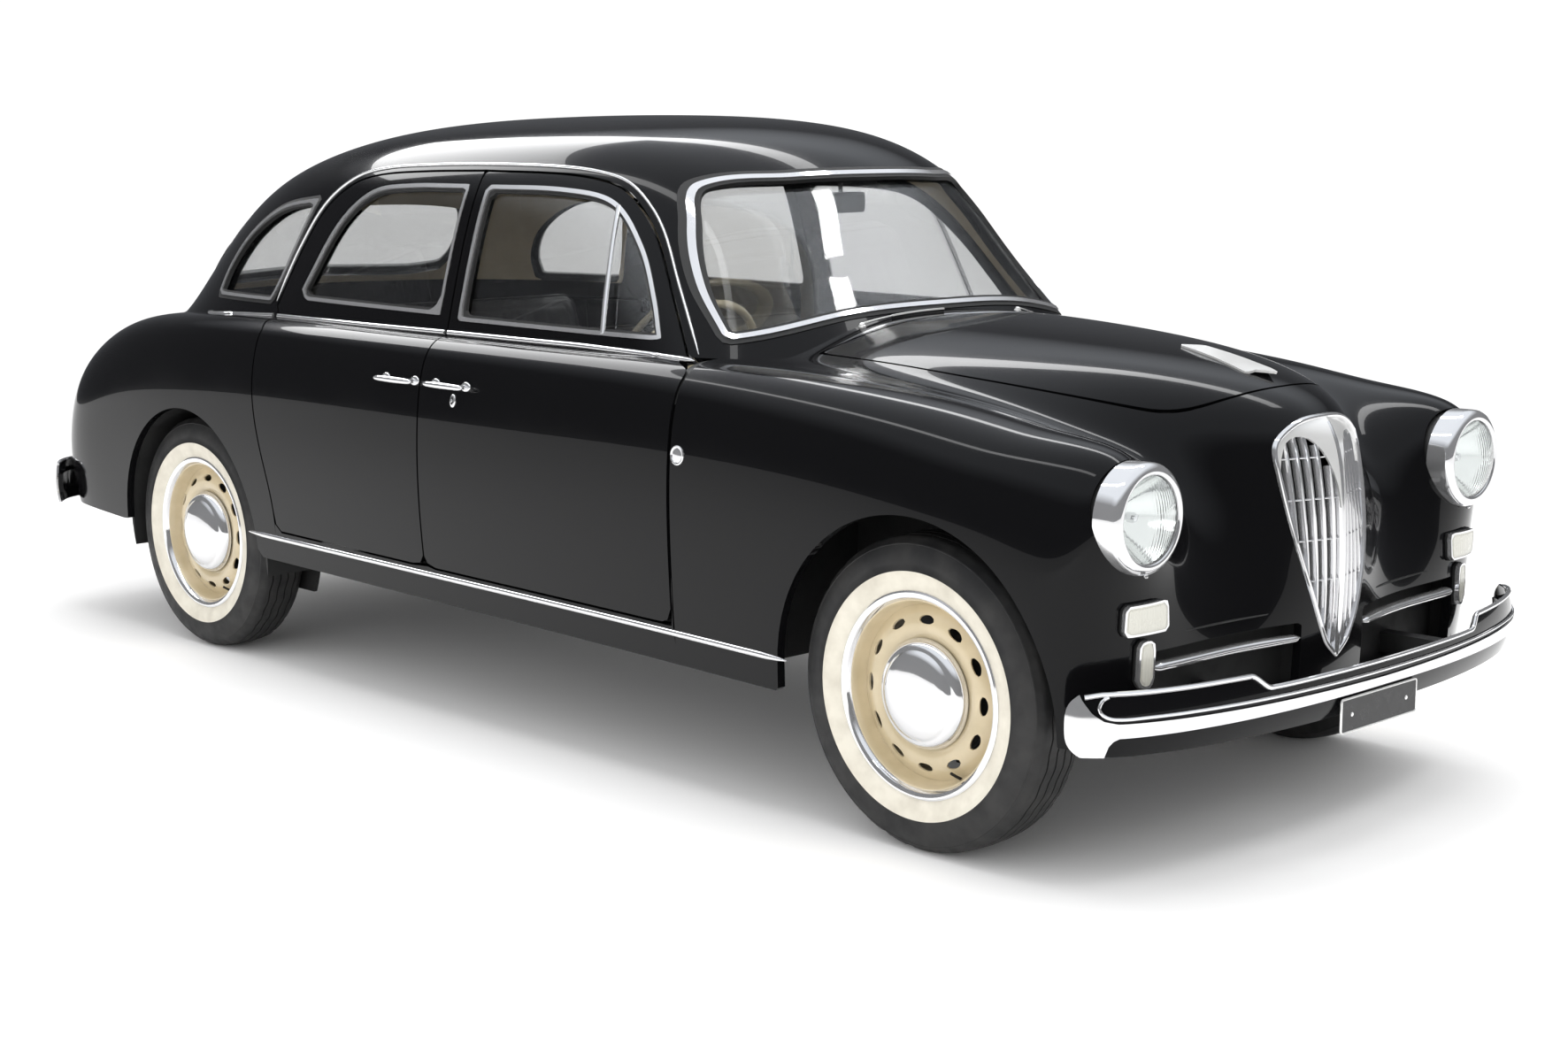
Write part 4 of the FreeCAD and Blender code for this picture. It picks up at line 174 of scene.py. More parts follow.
class Sheet:
    """Points with their outward normals, and the faces between them."""

    def __init__(self, points, normals, faces):
        self.points = points
        self.normals = normals
        self.faces = faces

    def clip(self, value):
        """Keeps the part where value, one number a point, is above nought."""
        points = list(self.points)
        normals = list(self.normals)
        inside = (value > 0).tolist()
        cuts = {}
        kept = []
        for face in self.faces:
            flags = [inside[i] for i in face]
            if all(flags):
                kept.append(face)
                continue
            if not any(flags):
                continue
            loop = []
            for n, here in enumerate(face):
                there = face[(n + 1) % len(face)]
                if inside[here]:
                    loop.append(here)
                if inside[here] != inside[there]:
                    key = (min(here, there), max(here, there))
                    if key not in cuts:
                        a, b = key
                        share = value[a] / (value[a] - value[b])
                        cuts[key] = len(points)
                        points.append(self.points[a] * (1 - share) + self.points[b] * share)
                        normals.append(self.normals[a] * (1 - share) + self.normals[b] * share)
                    loop.append(cuts[key])
            if len(loop) > 2:
                kept.append(tuple(loop))
        used = sorted({i for face in kept for i in face})
        place = {old: new for new, old in enumerate(used)}
        return Sheet(np.array([points[i] for i in used]).reshape(-1, 3),
                     unit(np.array([normals[i] for i in used]).reshape(-1, 3)),
                     [tuple(place[i] for i in face) for face in kept])

    def where(self, *values):
        return self.clip(np.minimum.reduce(values))

    def moved(self, depth):
        return Sheet(self.points - self.normals * depth, self.normals, self.faces)


def grid_faces(rows, columns, turned_round=False):
    """The four-cornered faces of a grid of points."""
    index = np.arange(rows * columns).reshape(rows, columns)
    corners = [index[:-1, :-1], index[1:, :-1], index[1:, 1:], index[:-1, 1:]]
    if turned_round:
        corners[1], corners[3] = corners[3], corners[1]
    return np.stack(corners, -1).reshape(-1, 4)


def between_loops(layers, count):
    """The faces that join closed loops of count points, laid one after another."""
    faces = []
    for i in range(layers - 1):
        for n in range(count):
            m = (n + 1) % count
            faces.append((i * count + n, i * count + m, (i + 1) * count + m, (i + 1) * count + n))
    return faces


def net_sheet(net, along, across):
    """The whole skin of a net, sampled along and across."""
    half = np.array(net, float)
    other = half[:, :0:-1] * (1, -1, 1)
    poles = np.concatenate([other, half], 1)
    step = 1e-4
    u = np.linspace(0, 1, along)
    v = np.linspace(0, 1, across)

    def evaluate(us, vs):
        return np.einsum("ui,vj,ijk->uvk", basis(len(poles), us), basis(poles.shape[1], vs), poles)

    points = evaluate(u, v)
    du = evaluate(np.minimum(u + step, 1), v) - evaluate(np.maximum(u - step, 0), v)
    dv = evaluate(u, np.minimum(v + step, 1)) - evaluate(u, np.maximum(v - step, 0))
    normals = unit(np.cross(dv, du))
    if normals[along // 2, across // 2, 2] < 0:
        normals = -normals
    quads = grid_faces(along, across, True)
    points = points.reshape(-1, 3)
    normals = normals.reshape(-1, 3)
    middle = quads[len(quads) // 2 + across // 2]
    a, b, c = (points[i] for i in middle[:3])
    if np.dot(np.cross(b - a, c - b), normals[middle[0]]) < 0:
        quads = quads[:, ::-1]
    return Sheet(points, normals, [tuple(q) for q in quads.tolist()])


def mirrored(half, swap=0):
    """A whole outline from its half, mirrored in the first coordinate, or in the second with swap."""
    sign = (1, -1) if swap else (-1, 1)
    seam = 1 if swap else 0
    other = [(a * sign[0], b * sign[1]) for a, b in reversed(half) if (a, b)[seam] != 0]
    return list(half) + other


OUTLINE_STEP = .012
OUTLINE_REACH = .12


def bend(p0, p1, p2, p3, step):
    """Points of a smooth line from p1 up to p2, guided by the points before and after them."""
    length = np.linalg.norm(p2 - p1)
    m1 = (p2 - p0) * length / max(length + np.linalg.norm(p1 - p0), 1e-9)
    m2 = (p3 - p1) * length / max(length + np.linalg.norm(p3 - p2), 1e-9)
    pieces = max(1, int(length / step))
    return [(2 * t ** 3 - 3 * t ** 2 + 1) * p1 + (t ** 3 - 2 * t ** 2 + t) * m1
            + (3 * t ** 2 - 2 * t ** 3) * p2 + (t ** 3 - t ** 2) * m2 for t in (n / pieces for n in range(pieces))]


def flow(points, sharp=34.0):
    """A closed outline made smooth through its points, but for its sharp corners."""
    p = np.array(points, float)
    count = len(p)
    turns = []
    for i in range(count):
        a = p[i] - p[i - 1]
        b = p[(i + 1) % count] - p[i]
        turns.append(abs(math.degrees(math.atan2(a[0] * b[1] - a[1] * b[0], a @ b))))
    hard = [t > sharp for t in turns]
    result = []
    for i in range(count):
        p1, p2 = p[i], p[(i + 1) % count]
        p0 = p[i - 1] if not hard[i] else 2 * p1 - p2
        p3 = p[(i + 2) % count] if not hard[(i + 1) % count] else 2 * p2 - p1
        result += bend(p0, p1, p2, p3, OUTLINE_STEP)
    return np.array(result)


def depth_in(a, b, outline):
    """How far each point of the plane a, b lies inside the outline; below nought outside."""
    a = np.asarray(a)
    b = np.asarray(b)
    low = outline.min(0) - OUTLINE_REACH
    high = outline.max(0) + OUTLINE_REACH
    near = (a > low[0]) & (a < high[0]) & (b > low[1]) & (b < high[1])
    result = np.full(len(a), -OUTLINE_REACH)
    x = a[near]
    y = b[near]
    best = np.full(len(x), 1e9)
    odd = np.zeros(len(x), bool)
    for (x0, y0), (x1, y1) in zip(outline, np.roll(outline, -1, 0)):
        dx, dy = x1 - x0, y1 - y0
        t = np.clip(((x - x0) * dx + (y - y0) * dy) / max(dx * dx + dy * dy, 1e-12), 0, 1)
        best = np.minimum(best, np.hypot(x - x0 - t * dx, y - y0 - t * dy))
        if dy != 0:
            crosses = ((y0 > y) != (y1 > y)) & (x < x0 + (y - y0) * dx / dy)
            odd ^= crosses
    result[near] = np.where(odd, best, -best)
    return result


def tree_of(sheet):
    return BVHTree.FromPolygons([Vector(p) for p in sheet.points], sheet.faces)


def outside_of(sheet, tree, z_low):
    """How far each point lies outside the skin of the tree, for points above z_low; others are well outside."""
    result = np.full(len(sheet.points), .5)
    for i in np.nonzero(sheet.points[:, 2] > z_low)[0]:
        place, normal, _, _ = tree.find_nearest(Vector(sheet.points[i]))
        result[i] = (Vector(sheet.points[i]) - place).dot(normal)
    return result


def placed(name, data):
    """A new object in the scene."""
    made = bpy.data.objects.new(name, data)
    bpy.context.scene.collection.objects.link(made)
    return made


def carried(name, mesh, body_name, replaced):
    """A new piece that moves with a body and stands in for some solids."""
    made = placed(name, mesh)
    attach(made, body_name)
    if replaced:
        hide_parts(*replaced)
    return made


def mesh_of(name, sheets, body_name, materials, replaced=()):
    """One piece from several (points, loop normals or None, faces, material number) sets."""
    points, faces, numbers, normals = [], [], [], []
    base = 0
    for part_points, part_normals, part_faces, number in sheets:
        points.extend(part_points)
        for n, face in enumerate(part_faces):
            faces.append([i + base for i in face])
            numbers.append(number)
            if part_normals is None:
                normals.extend([(0, 0, 0)] * len(face))
            elif len(part_normals) == len(part_points):
                normals.extend(part_normals[i] for i in face)
            else:
                normals.extend([part_normals[n]] * len(face))
        base += len(part_points)
    mesh = bpy.data.meshes.new(name)
    mesh.from_pydata([tuple(p) for p in points], [], faces)
    mesh.polygons.foreach_set("material_index", numbers)
    mesh.polygons.foreach_set("use_smooth", [True] * len(faces))
    for look in materials:
        mesh.materials.append(look)
    mesh.update()
    mesh.normals_split_custom_set([tuple(n) for n in normals])
    return carried(name, mesh, body_name, replaced)


def shell(sheet, wall, outer=0, inner=0):
    """A closed wall: the sheet, its inner side and the faces round its edges."""
    under = sheet.points - sheet.normals * wall
    edges = dict.fromkeys((a, face[(n + 1) % len(face)]) for face in sheet.faces for n, a in enumerate(face))
    rim_points, rim_normals, rim_faces = [], [], []
    for a, b in edges:
        if (b, a) in edges:
            continue
        base = len(rim_points)
        rim_points += [sheet.points[b], sheet.points[a], under[a], under[b]]
        rim_faces.append((base, base + 1, base + 2, base + 3))
        along = sheet.points[b] - sheet.points[a]
        rim_normals.append(unit(np.cross(along, sheet.normals[a] + sheet.normals[b])))
    return [(sheet.points, sheet.normals, sheet.faces, outer),
            (under, -sheet.normals, [tuple(reversed(f)) for f in sheet.faces], inner),
            (rim_points, rim_normals, rim_faces, outer)]


class Socket:
    """A shader socket that feeds further nodes."""

    def __init__(self, tree, socket):
        self.tree = tree
        self.socket = socket

    def node(self, kind, inputs=(), output=0, **settings):
        made = self.tree.nodes.new(kind)
        for key, value in settings.items():
            setattr(made, key, value)
        for key, value in dict(inputs).items():
            if isinstance(value, Socket):
                self.tree.links.new(value.socket, made.inputs[key])
            else:
                made.inputs[key].default_value = value
        return Socket(self.tree, made.outputs[output])

    def ramp(self, low, high, a, b):
        limits = {"Value": self, "From Min": low, "From Max": high, "To Min": a, "To Max": b}
        return self.node("ShaderNodeMapRange", limits)

    def noise(self, scale, detail=3.0):
        return self.node("ShaderNodeTexNoise", {"Vector": self, "Scale": scale, "Detail": detail})

    def colours(self, a, b):
        return self.node("ShaderNodeMix", {0: self, 6: (*a, 1), 7: (*b, 1)}, 2, data_type="RGBA")


def material(name, colour, roughness=.5, metallic=0.0, **extra):
    """A plain principled material; returns it, its shader and its object coordinates."""
    made = bpy.data.materials.new(name)
    made.use_nodes = True
    tree = made.node_tree
    shader = tree.nodes["Principled BSDF"]
    shader.inputs["Base Color"].default_value = (*colour, 1)
    shader.inputs["Roughness"].default_value = roughness
    shader.inputs["Metallic"].default_value = metallic
    for key, value in extra.items():
        shader.inputs[key.replace("_", " ")].default_value = value
    coordinates = tree.nodes.new("ShaderNodeTexCoord")
    return made, shader, Socket(tree, coordinates.outputs["Object"])


def link(shader, key, value):
    value.tree.links.new(value.socket, shader.inputs[key])


def bump(shader, height, strength, distance):
    settings = {"Height": height, "Strength": strength, "Distance": distance}
    link(shader, "Normal", height.node("ShaderNodeBump", settings))


def varied(name, colour, roughness, metallic=0.0, rough=None, tint=None, grain=None, **extra):
    """A material whose roughness, colour and surface vary a little with noise.

    rough is (scale, least, most), tint is (scale, one colour, other colour) and grain is
    (scale, detail, strength, distance)."""
    made, shader, place = material(name, colour, roughness, metallic, **extra)
    if rough:
        scale, least, most = rough
        link(shader, "Roughness", place.noise(scale).ramp(.3, .7, least, most))
    if tint:
        scale, one, other = tint
        link(shader, "Base Color", place.noise(scale).ramp(.35, .7, 0, 1).colours(one, other))
    if grain:
        scale, detail, strength, distance = grain
        bump(shader, place.noise(scale, detail), strength, distance)
    return made


# Materials
PAINT = varied("gloss_black", (.004, .004, .0045), .12, rough=(3.0, .10, .2), grain=(26.0, 1.0, .03, .001),
               Coat_Weight=1.0, Coat_Roughness=.012, Coat_IOR=1.23, Specular_IOR_Level=.05)
BRIGHT = varied("bright_satin", (.88, .88, .87), .2, .5, rough=(14.0, .16, .26))
CHROME = varied("chrome_plate", (.85, .85, .86), .06, .84, rough=(9.0, .04, .11))
SATIN = varied("satin_black", (.012, .012, .012), .5, rough=(20.0, .42, .62))
RUBBER = varied("black_rubber", (.012, .012, .012), .62, grain=(420.0, 2.0, .12, .0006))
TYRE = varied("tyre_rubber", (.014, .014, .0145), .6, rough=(30.0, .5, .7),
              tint=(14.0, (.011, .011, .0115), (.026, .025, .024)), grain=(600.0, 2.0, .1, .0004))
WHITEWALL, shader, place = material("cream_wall", (.72, .68, .58), .5)
link(shader, "Base Color", place.noise(22.0).ramp(.35, .75, 0, 1).colours((.74, .70, .60), (.60, .56, .47)))
bump(shader, place.noise(500.0, 2.0), .06, .0004)
BEIGE = varied("beige_enamel", (.60, .50, .32), .28, tint=(12.0, (.62, .52, .345), (.52, .43, .27)),
               Coat_Weight=.6, Coat_Roughness=.08)
GLASS = varied("clear_glass", (.93, .96, .95), .0, IOR=1.45, Transmission_Weight=1.0, Alpha=.3)
LENS = varied("lamp_glass", (.93, .95, .95), .02, IOR=1.45, Transmission_Weight=1.0)
RED = varied("red_lens", (.35, .006, .008), .12, rough=(40.0, .08, .2), Coat_Weight=.6, Coat_Roughness=.03)
LINING = varied("beige_cloth", (.62, .52, .36), .9, tint=(9.0, (.64, .54, .38), (.55, .46, .32)),
                grain=(900.0, 1.0, .3, .0005), Sheen_Weight=.25)
CREAM = varied("cream_moulding", (.70, .62, .44), .22, rough=(16.0, .16, .3), Coat_Weight=.5, Coat_Roughness=.06)
CAST = varied("cast_iron", (.045, .045, .046), .6, .5, grain=(180.0, 3.0, .3, .0008))
PAN = varied("chassis_black", (.014, .014, .014), .55, rough=(14.0, .45, .7), grain=(240.0, 2.0, .12, .0006))
PLATE = varied("plate_black", (.010, .010, .011), .3, rough=(50.0, .25, .36))
MIRROR = varied("lamp_reflector", (.86, .87, .86), .10, 1.0, rough=(12.0, .07, .16))
PIPING = varied("hide_piping", (.016, .016, .018), .45, rough=(60.0, .38, .55))
LEATHER, shader, place = material("grey_hide", (.030, .031, .034), .5, Coat_Weight=.1, Coat_Roughness=.4)
link(shader, "Base Color", place.noise(7.0).ramp(.35, .7, 0, 1).colours((.026, .027, .030), (.045, .045, .048)))
link(shader, "Roughness", place.noise(18.0).ramp(.3, .7, .4, .6))
bump(shader, place.node("ShaderNodeTexVoronoi", {"Vector": place, "Scale": 330.0}), .25, .0006)
MILK, shader, place = material("milky_lens", (.66, .65, .58), .22, Coat_Weight=.8, Coat_Roughness=.05)
link(shader, "Roughness", place.noise(60.0).ramp(.3, .7, .16, .3))
ribs = place.node("ShaderNodeTexWave", {"Vector": place, "Scale": 40.0, "Distortion": 0.0}, 1, bands_direction="Y")
bump(shader, ribs, .35, .0015)

# Skins
body = net_sheet(BODY_NET, 311, 211)
house = net_sheet(GLASSHOUSE_NET, 151, 141)
body_tree = tree_of(body)
house_tree = tree_of(house)
lower = body.clip(outside_of(body, house_tree, .93) + SEAM)
upper = house.clip(outside_of(house, body_tree, .0) + SEAM)


def side_depth(sheet, outline, side):
    x, y, z = sheet.points.T
    return np.minimum(depth_in(x, z, outline), side * y - FLANK_Y)


def end_depth(sheet, outline, x_low, x_high):
    x, y, z = sheet.points.T
    return np.minimum(depth_in(y, z, outline), np.minimum(x - x_low, x_high - x))


def arch_room(sheet):
    """How far each point lies outside the wheel arches, above nought where metal stays."""
    x, _, z = sheet.points.T
    room = []
    for axle, radius in ((FRONT_AXLE_X, FRONT_ARCH_RADIUS), (REAR_AXLE_X, REAR_ARCH_RADIUS)):
        room.append(np.hypot(x - axle, np.maximum(z - ARCH_Z, 0)) - radius)
    return np.minimum(*room)


def above_under(sheet):
    x, _, z = sheet.points.T
    low = np.array(UNDERSIDE)[::-1]
    return z - np.interp(x, low[:, 0], low[:, 1])


bonnet_line = flow(mirrored(BONNET, 1))
boot_line = flow(mirrored(BOOT), 70)
front_door_line = flow(FRONT_DOOR)
rear_door_line = flow(REAR_DOOR)
grille_line = flow(mirrored(GRILLE), 80)
windscreen_line = flow(mirrored(WINDSCREEN), 60)
backlight_line = flow(mirrored(BACKLIGHT), 60)
front_window_line = flow(FRONT_WINDOW, 50)
rear_window_line = flow(REAR_WINDOW, 50)
quarter_line = flow(QUARTER_WINDOW, 50)
intake_line = np.array(INTAKE)


def doors_depth(sheet):
    """How far each point lies inside the nearest door's outline."""
    return np.maximum.reduce([side_depth(sheet, line, side) for line in (front_door_line, rear_door_line)
                              for side in (1, -1)])


# Bonnet, boot lid and the fixed panels of the lower skin
HEADLAMP_Y = .614
HEADLAMP_Z = .759
LAMP_HOLE_RADIUS = .113
DOOR_FRONT_X = .833
DOOR_REAR_X = -.836
skin = lower.where(above_under(lower), arch_room(lower))
x, y, z = skin.points.T
in_bonnet = np.minimum(depth_in(x, y, bonnet_line), z - .80)
in_boot = end_depth(skin, boot_line, -3, -1.92)
in_doors = doors_depth(skin)
mesh_of("bonnet_panel", shell(skin.clip(in_bonnet - GAP), PANEL_WALL, 0, 1), "bonnet", [PAINT, SATIN], ["bonnet"])
mesh_of("boot_lid_panel", shell(skin.clip(in_boot - GAP), PANEL_WALL, 0, 1), "boot_lid", [PAINT, SATIN], ["boot_lid"])

holes = [end_depth(skin, grille_line, 1.6, 3)]
holes += [end_depth(skin, intake_line * (side, 1), 1.6, 3) for side in (1, -1)]
holes += [np.minimum(LAMP_HOLE_RADIUS - np.hypot(y - side * HEADLAMP_Y, z - HEADLAMP_Z), x - 1.8) for side in (1, -1)]
rest = np.minimum.reduce([-in_bonnet, -in_boot, -in_doors - GAP / 2] + [-h for h in holes])
front = skin.where(rest, x - DOOR_FRONT_X)
sills = skin.where(rest, DOOR_FRONT_X - x, x - DOOR_REAR_X, .5 - z)
rear = skin.where(rest, DOOR_REAR_X - x)
x, y, z = lower.points.T
corner = lower.where(x - .806, .900 - x, z - .90, np.abs(y) - .60).moved(.006)
mesh_of("front_wings_and_nose", shell(front, PANEL_WALL, 0, 1) + shell(corner, .002, 1, 1), "body", [PAINT, SATIN],
        ["front_fenders", "nose_panel", "cowl"])
mesh_of("sill_panels", shell(sills, PANEL_WALL, 0, 1), "body", [PAINT, SATIN], ["sills"])
mesh_of("rear_panels", shell(rear, PANEL_WALL, 0, 1), "body", [PAINT, SATIN], ["rear_body"])

# The roof with its pillars, lined inside but for its feet and its edges by the doors
LINING_LOW_Z = 1.035
LINING_EDGE = .018
screen_hole = end_depth(upper, windscreen_line, .2, 3)
backlight_hole = end_depth(upper, backlight_line, -3, -1.1)
quarter_hole = np.maximum(*[side_depth(upper, quarter_line, side) for side in (1, -1)])
roof = upper.where(-screen_hole, -backlight_hole, -quarter_hole, -doors_depth(upper) - GAP / 2)
lined = np.minimum(roof.points[:, 2] - LINING_LOW_Z, -doors_depth(roof) - LINING_EDGE)
mesh_of("roof_and_pillars", shell(roof.clip(lined), ROOF_WALL, 0, 1) + shell(roof.clip(-lined), ROOF_WALL, 0, 0),
        "body", [PAINT, LINING], ["roof_shell"])

# Doors: a thick lower part, and a thin frame round each window
MIDDLE_POST_X = -.135
SIDES = ((1, "left"), (-1, "right"))
DOORS = (("front", front_door_line, front_window_line), ("rear", rear_door_line, rear_window_line))
for side, hand in SIDES:
    for end, line, window in DOORS:
        low_part = skin.clip(side_depth(skin, line, side) - GAP / 2)
        lean = np.maximum(0, (upper.points[:, 2] - 1.0)) * .006
        split = (upper.points[:, 0] - MIDDLE_POST_X) * (1 if end == "front" else -1) - lean
        high_part = upper.where(side_depth(upper, line, side) - GAP / 2, -side_depth(upper, window, side), split)
        mesh_of(f"{end}_door_panel_{hand}", shell(low_part, DOOR_WALL, 0, 1) + shell(high_part, ROOF_WALL, 0, 0),
                f"{end}_door_{hand}", [PAINT, LEATHER], [f"{end}_door_{hand}"])


def piece(name, sets, body_name, materials, replaced=(), angle=34):
    """One piece from closed forms, each (points, faces, material number); their normals are turned outward."""
    points, faces, numbers = [], [], []
    for part_points, part_faces, number in sets:
        base = len(points)
        points.extend(tuple(map(float, p)) for p in part_points)
        faces.extend([i + base for i in f] for f in part_faces)
        numbers.extend([number] * len(part_faces))
    mesh = bpy.data.meshes.new(name)
    mesh.from_pydata(points, [], faces)
    mesh.polygons.foreach_set("material_index", numbers)
    for look in materials:
        mesh.materials.append(look)
    form = bmesh.new()
    form.from_mesh(mesh)
    bmesh.ops.recalc_face_normals(form, faces=form.faces)
    form.to_mesh(mesh)
    form.free()
    mesh.polygons.foreach_set("use_smooth", [True] * len(faces))
    mesh.set_sharp_from_angle(angle=math.radians(angle))
    mesh.update()
    return carried(name, mesh, body_name, replaced)


def turned(profile, centre, axis, count=96, number=0):
    """A closed profile of (radius, distance along the axis) turned about the axis."""
    centre = np.array(centre, float)
    axis = unit(np.array(axis, float))
    side = unit(np.cross(axis, (0, 0, 1) if abs(axis[2]) < .9 else (1, 0, 0)))
    up = np.cross(axis, side)
    points, faces = [], []
    size = len(profile)
    for n in range(count):
        angle = math.tau * n / count
        out = side * math.cos(angle) + up * math.sin(angle)
        points.extend(centre + out * r + axis * a for r, a in profile)
    for n in range(count):
        here, there = n * size, (n + 1) % count * size
        for i in range(size):
            j = (i + 1) % size
            corners = [here + i, here + j, there + j, there + i]
            if profile[i][0] < 1e-6:
                corners.remove(there + i)
            if profile[j][0] < 1e-6:
                corners.remove(there + j)
            if len(corners) > 2:
                faces.append(tuple(corners))
    places = {}
    target = []
    kept = []
    for i, p in enumerate(points):
        key = ("axis", round(profile[i % size][1], 7)) if profile[i % size][0] < 1e-6 else i
        if key not in places:
            places[key] = len(kept)
            kept.append(p)
        target.append(places[key])
    return kept, [tuple(target[i] for i in f) for f in faces], number


def swept(path, normals, profile, closed=False, number=0, size=None):
    """A closed profile of (across, outward) carried along a path; size scales it at each point.

    normals is the outward direction at each point, or one direction for them all."""
    path = np.array(path, float)
    normals = unit(np.broadcast_to(np.array(normals, float), path.shape))
    count = len(path)
    following = np.roll(path, -1, 0)
    before = np.roll(path, 1, 0)
    if not closed:
        following[-1] = path[-1]
        before[0] = path[0]
    along = unit(following - before)
    across = unit(np.cross(along, normals))
    out = np.cross(across, along)
    scale = np.ones(count) if size is None else np.array(size)
    points = []
    for n in range(count):
        points.extend(path[n] + (across[n] * a + out[n] * b) * scale[n] for a, b in profile)
    faces = []
    width = len(profile)
    for n in range(count if closed else count - 1):
        here, there = n * width, (n + 1) % count * width
        for i in range(width):
            j = (i + 1) % width
            faces.append((here + i, here + j, there + j, there + i))
    if not closed:
        faces.append(tuple(range(width)))
        faces.append(tuple(reversed(range((count - 1) * width, count * width))))
    return points, faces, number


def ring(radius, count=12, squash=1.0):
    return [(radius * math.cos(math.tau * n / count), radius * squash * math.sin(math.tau * n / count))
            for n in range(count)]


def half_round(width, height, count=8, sink=.002):
    return [(width / 2 * math.cos(math.pi * n / count), height * math.sin(math.pi * n / count) ** .8)
            for n in range(count + 1)] + [(-width / 2, -sink), (width / 2, -sink)]


def tube(path, radius, closed=False, number=0, count=12):
    path = np.array(path, float)
    guide = np.array((0, 0, 1.0)) if abs(unit(path[-1] - path[0])[2]) < .9 else np.array((0, 1.0, 0))
    return swept(path, guide, ring(radius, count), closed, number)


def box_form(low, high, number=0):
    (x0, y0, z0), (x1, y1, z1) = low, high
    points = [(x, y, z) for x in (x0, x1) for y in (y0, y1) for z in (z0, z1)]
    faces = [(0, 1, 3, 2), (4, 6, 7, 5), (0, 4, 5, 1), (2, 3, 7, 6), (0, 2, 6, 4), (1, 5, 7, 3)]
    return points, faces, number


def curve_through(points, step=.012):
    """A smooth line through points in space."""
    p = np.array(points, float)
    result = []
    for i in range(len(p) - 1):
        p1, p2 = p[i], p[i + 1]
        p0 = p[i - 1] if i else 2 * p1 - p2
        p3 = p[i + 2] if i + 2 < len(p) else 2 * p2 - p1
        result += bend(p0, p1, p2, p3, step)
    result.append(p[-1])
    return np.array(result)


def on_skin(tree, places, direction):
    """Where lines along a direction first meet a skin, with its outward normals."""
    found, normals = [], []
    direction = Vector(direction)
    for place in places:
        spot, normal, _, _ = tree.ray_cast(Vector(place) - direction * 3, direction)
        if spot is not None:
            found.append(np.array(spot))
            normals.append(np.array(normal if normal.dot(direction) < 0 else -normal))
    return np.array(found), np.array(normals)


# Glass, set in behind the skin
inner_house = house.moved(.014)
PANE_MARGIN = .006
PANE_WALL = .005


def pane(hole):
    return shell(inner_house.clip(hole + PANE_MARGIN), PANE_WALL, 0, 0)


def hole_depth(sheet, kind, side=1):
    if kind == "windscreen":
        return end_depth(sheet, windscreen_line, .2, 3)
    if kind == "backlight":
        return end_depth(sheet, backlight_line, -3, -1.1)
    line = {"quarter": quarter_line, "front": front_window_line, "rear": rear_window_line}[kind]
    return side_depth(sheet, line, side)


mesh_of("windscreen_glass", pane(hole_depth(inner_house, "windscreen")), "body", [GLASS], ["windscreen"])
mesh_of("rear_and_quarter_glass", pane(hole_depth(inner_house, "backlight"))
        + pane(hole_depth(inner_house, "quarter", 1)) + pane(hole_depth(inner_house, "quarter", -1)), "body", [GLASS],
        ["rear_glass"])
for side, hand in SIDES:
    for end in ("front", "rear"):
        mesh_of(f"{end}_door_glass_{hand}", pane(hole_depth(inner_house, end, side)), f"{end}_door_{hand}", [GLASS],
                [f"{end}_glass_{hand}"])


def band(sheet, kind, side, low, high, lift, wall):
    """A strip of skin between two depths inside a window's edge, raised by lift."""
    near = sheet.clip(hole_depth(sheet, kind, side) - low)
    strip = near.clip(high - hole_depth(near, kind, side))
    return shell(strip.moved(-lift), wall, 0, 0)


def recolour(sets, number):
    return [(p, n, f, number) for p, n, f, _ in sets]


# Rubbers and bright frames round the glass
fixed = []
for kind, side in (("windscreen", 1), ("backlight", 1), ("quarter", 1), ("quarter", -1)):
    fixed += recolour(band(house, kind, side, -.011, .013, .0025, .012), 0)
    fixed += recolour(band(house, kind, side, -.002, .007, .0055, .006), 1)
mesh_of("fixed_glass_seals", fixed, "body", [RUBBER, CHROME])
for side, hand in SIDES:
    for end in ("front", "rear"):
        frames = recolour(band(house, end, side, -.004, .006, .002, .012), 1)
        frames += recolour(band(house, end, side, .005, .013, -.004, .010), 0)
        mesh_of(f"{end}_window_frame_{hand}", frames, f"{end}_door_{hand}", [RUBBER, CHROME])

# Tyres and wheels
TREAD_STEPS = 240
DISC_STEPS = 192
SLOTS = 12
GROOVES = (-.037, -.0125, .0125, .037)


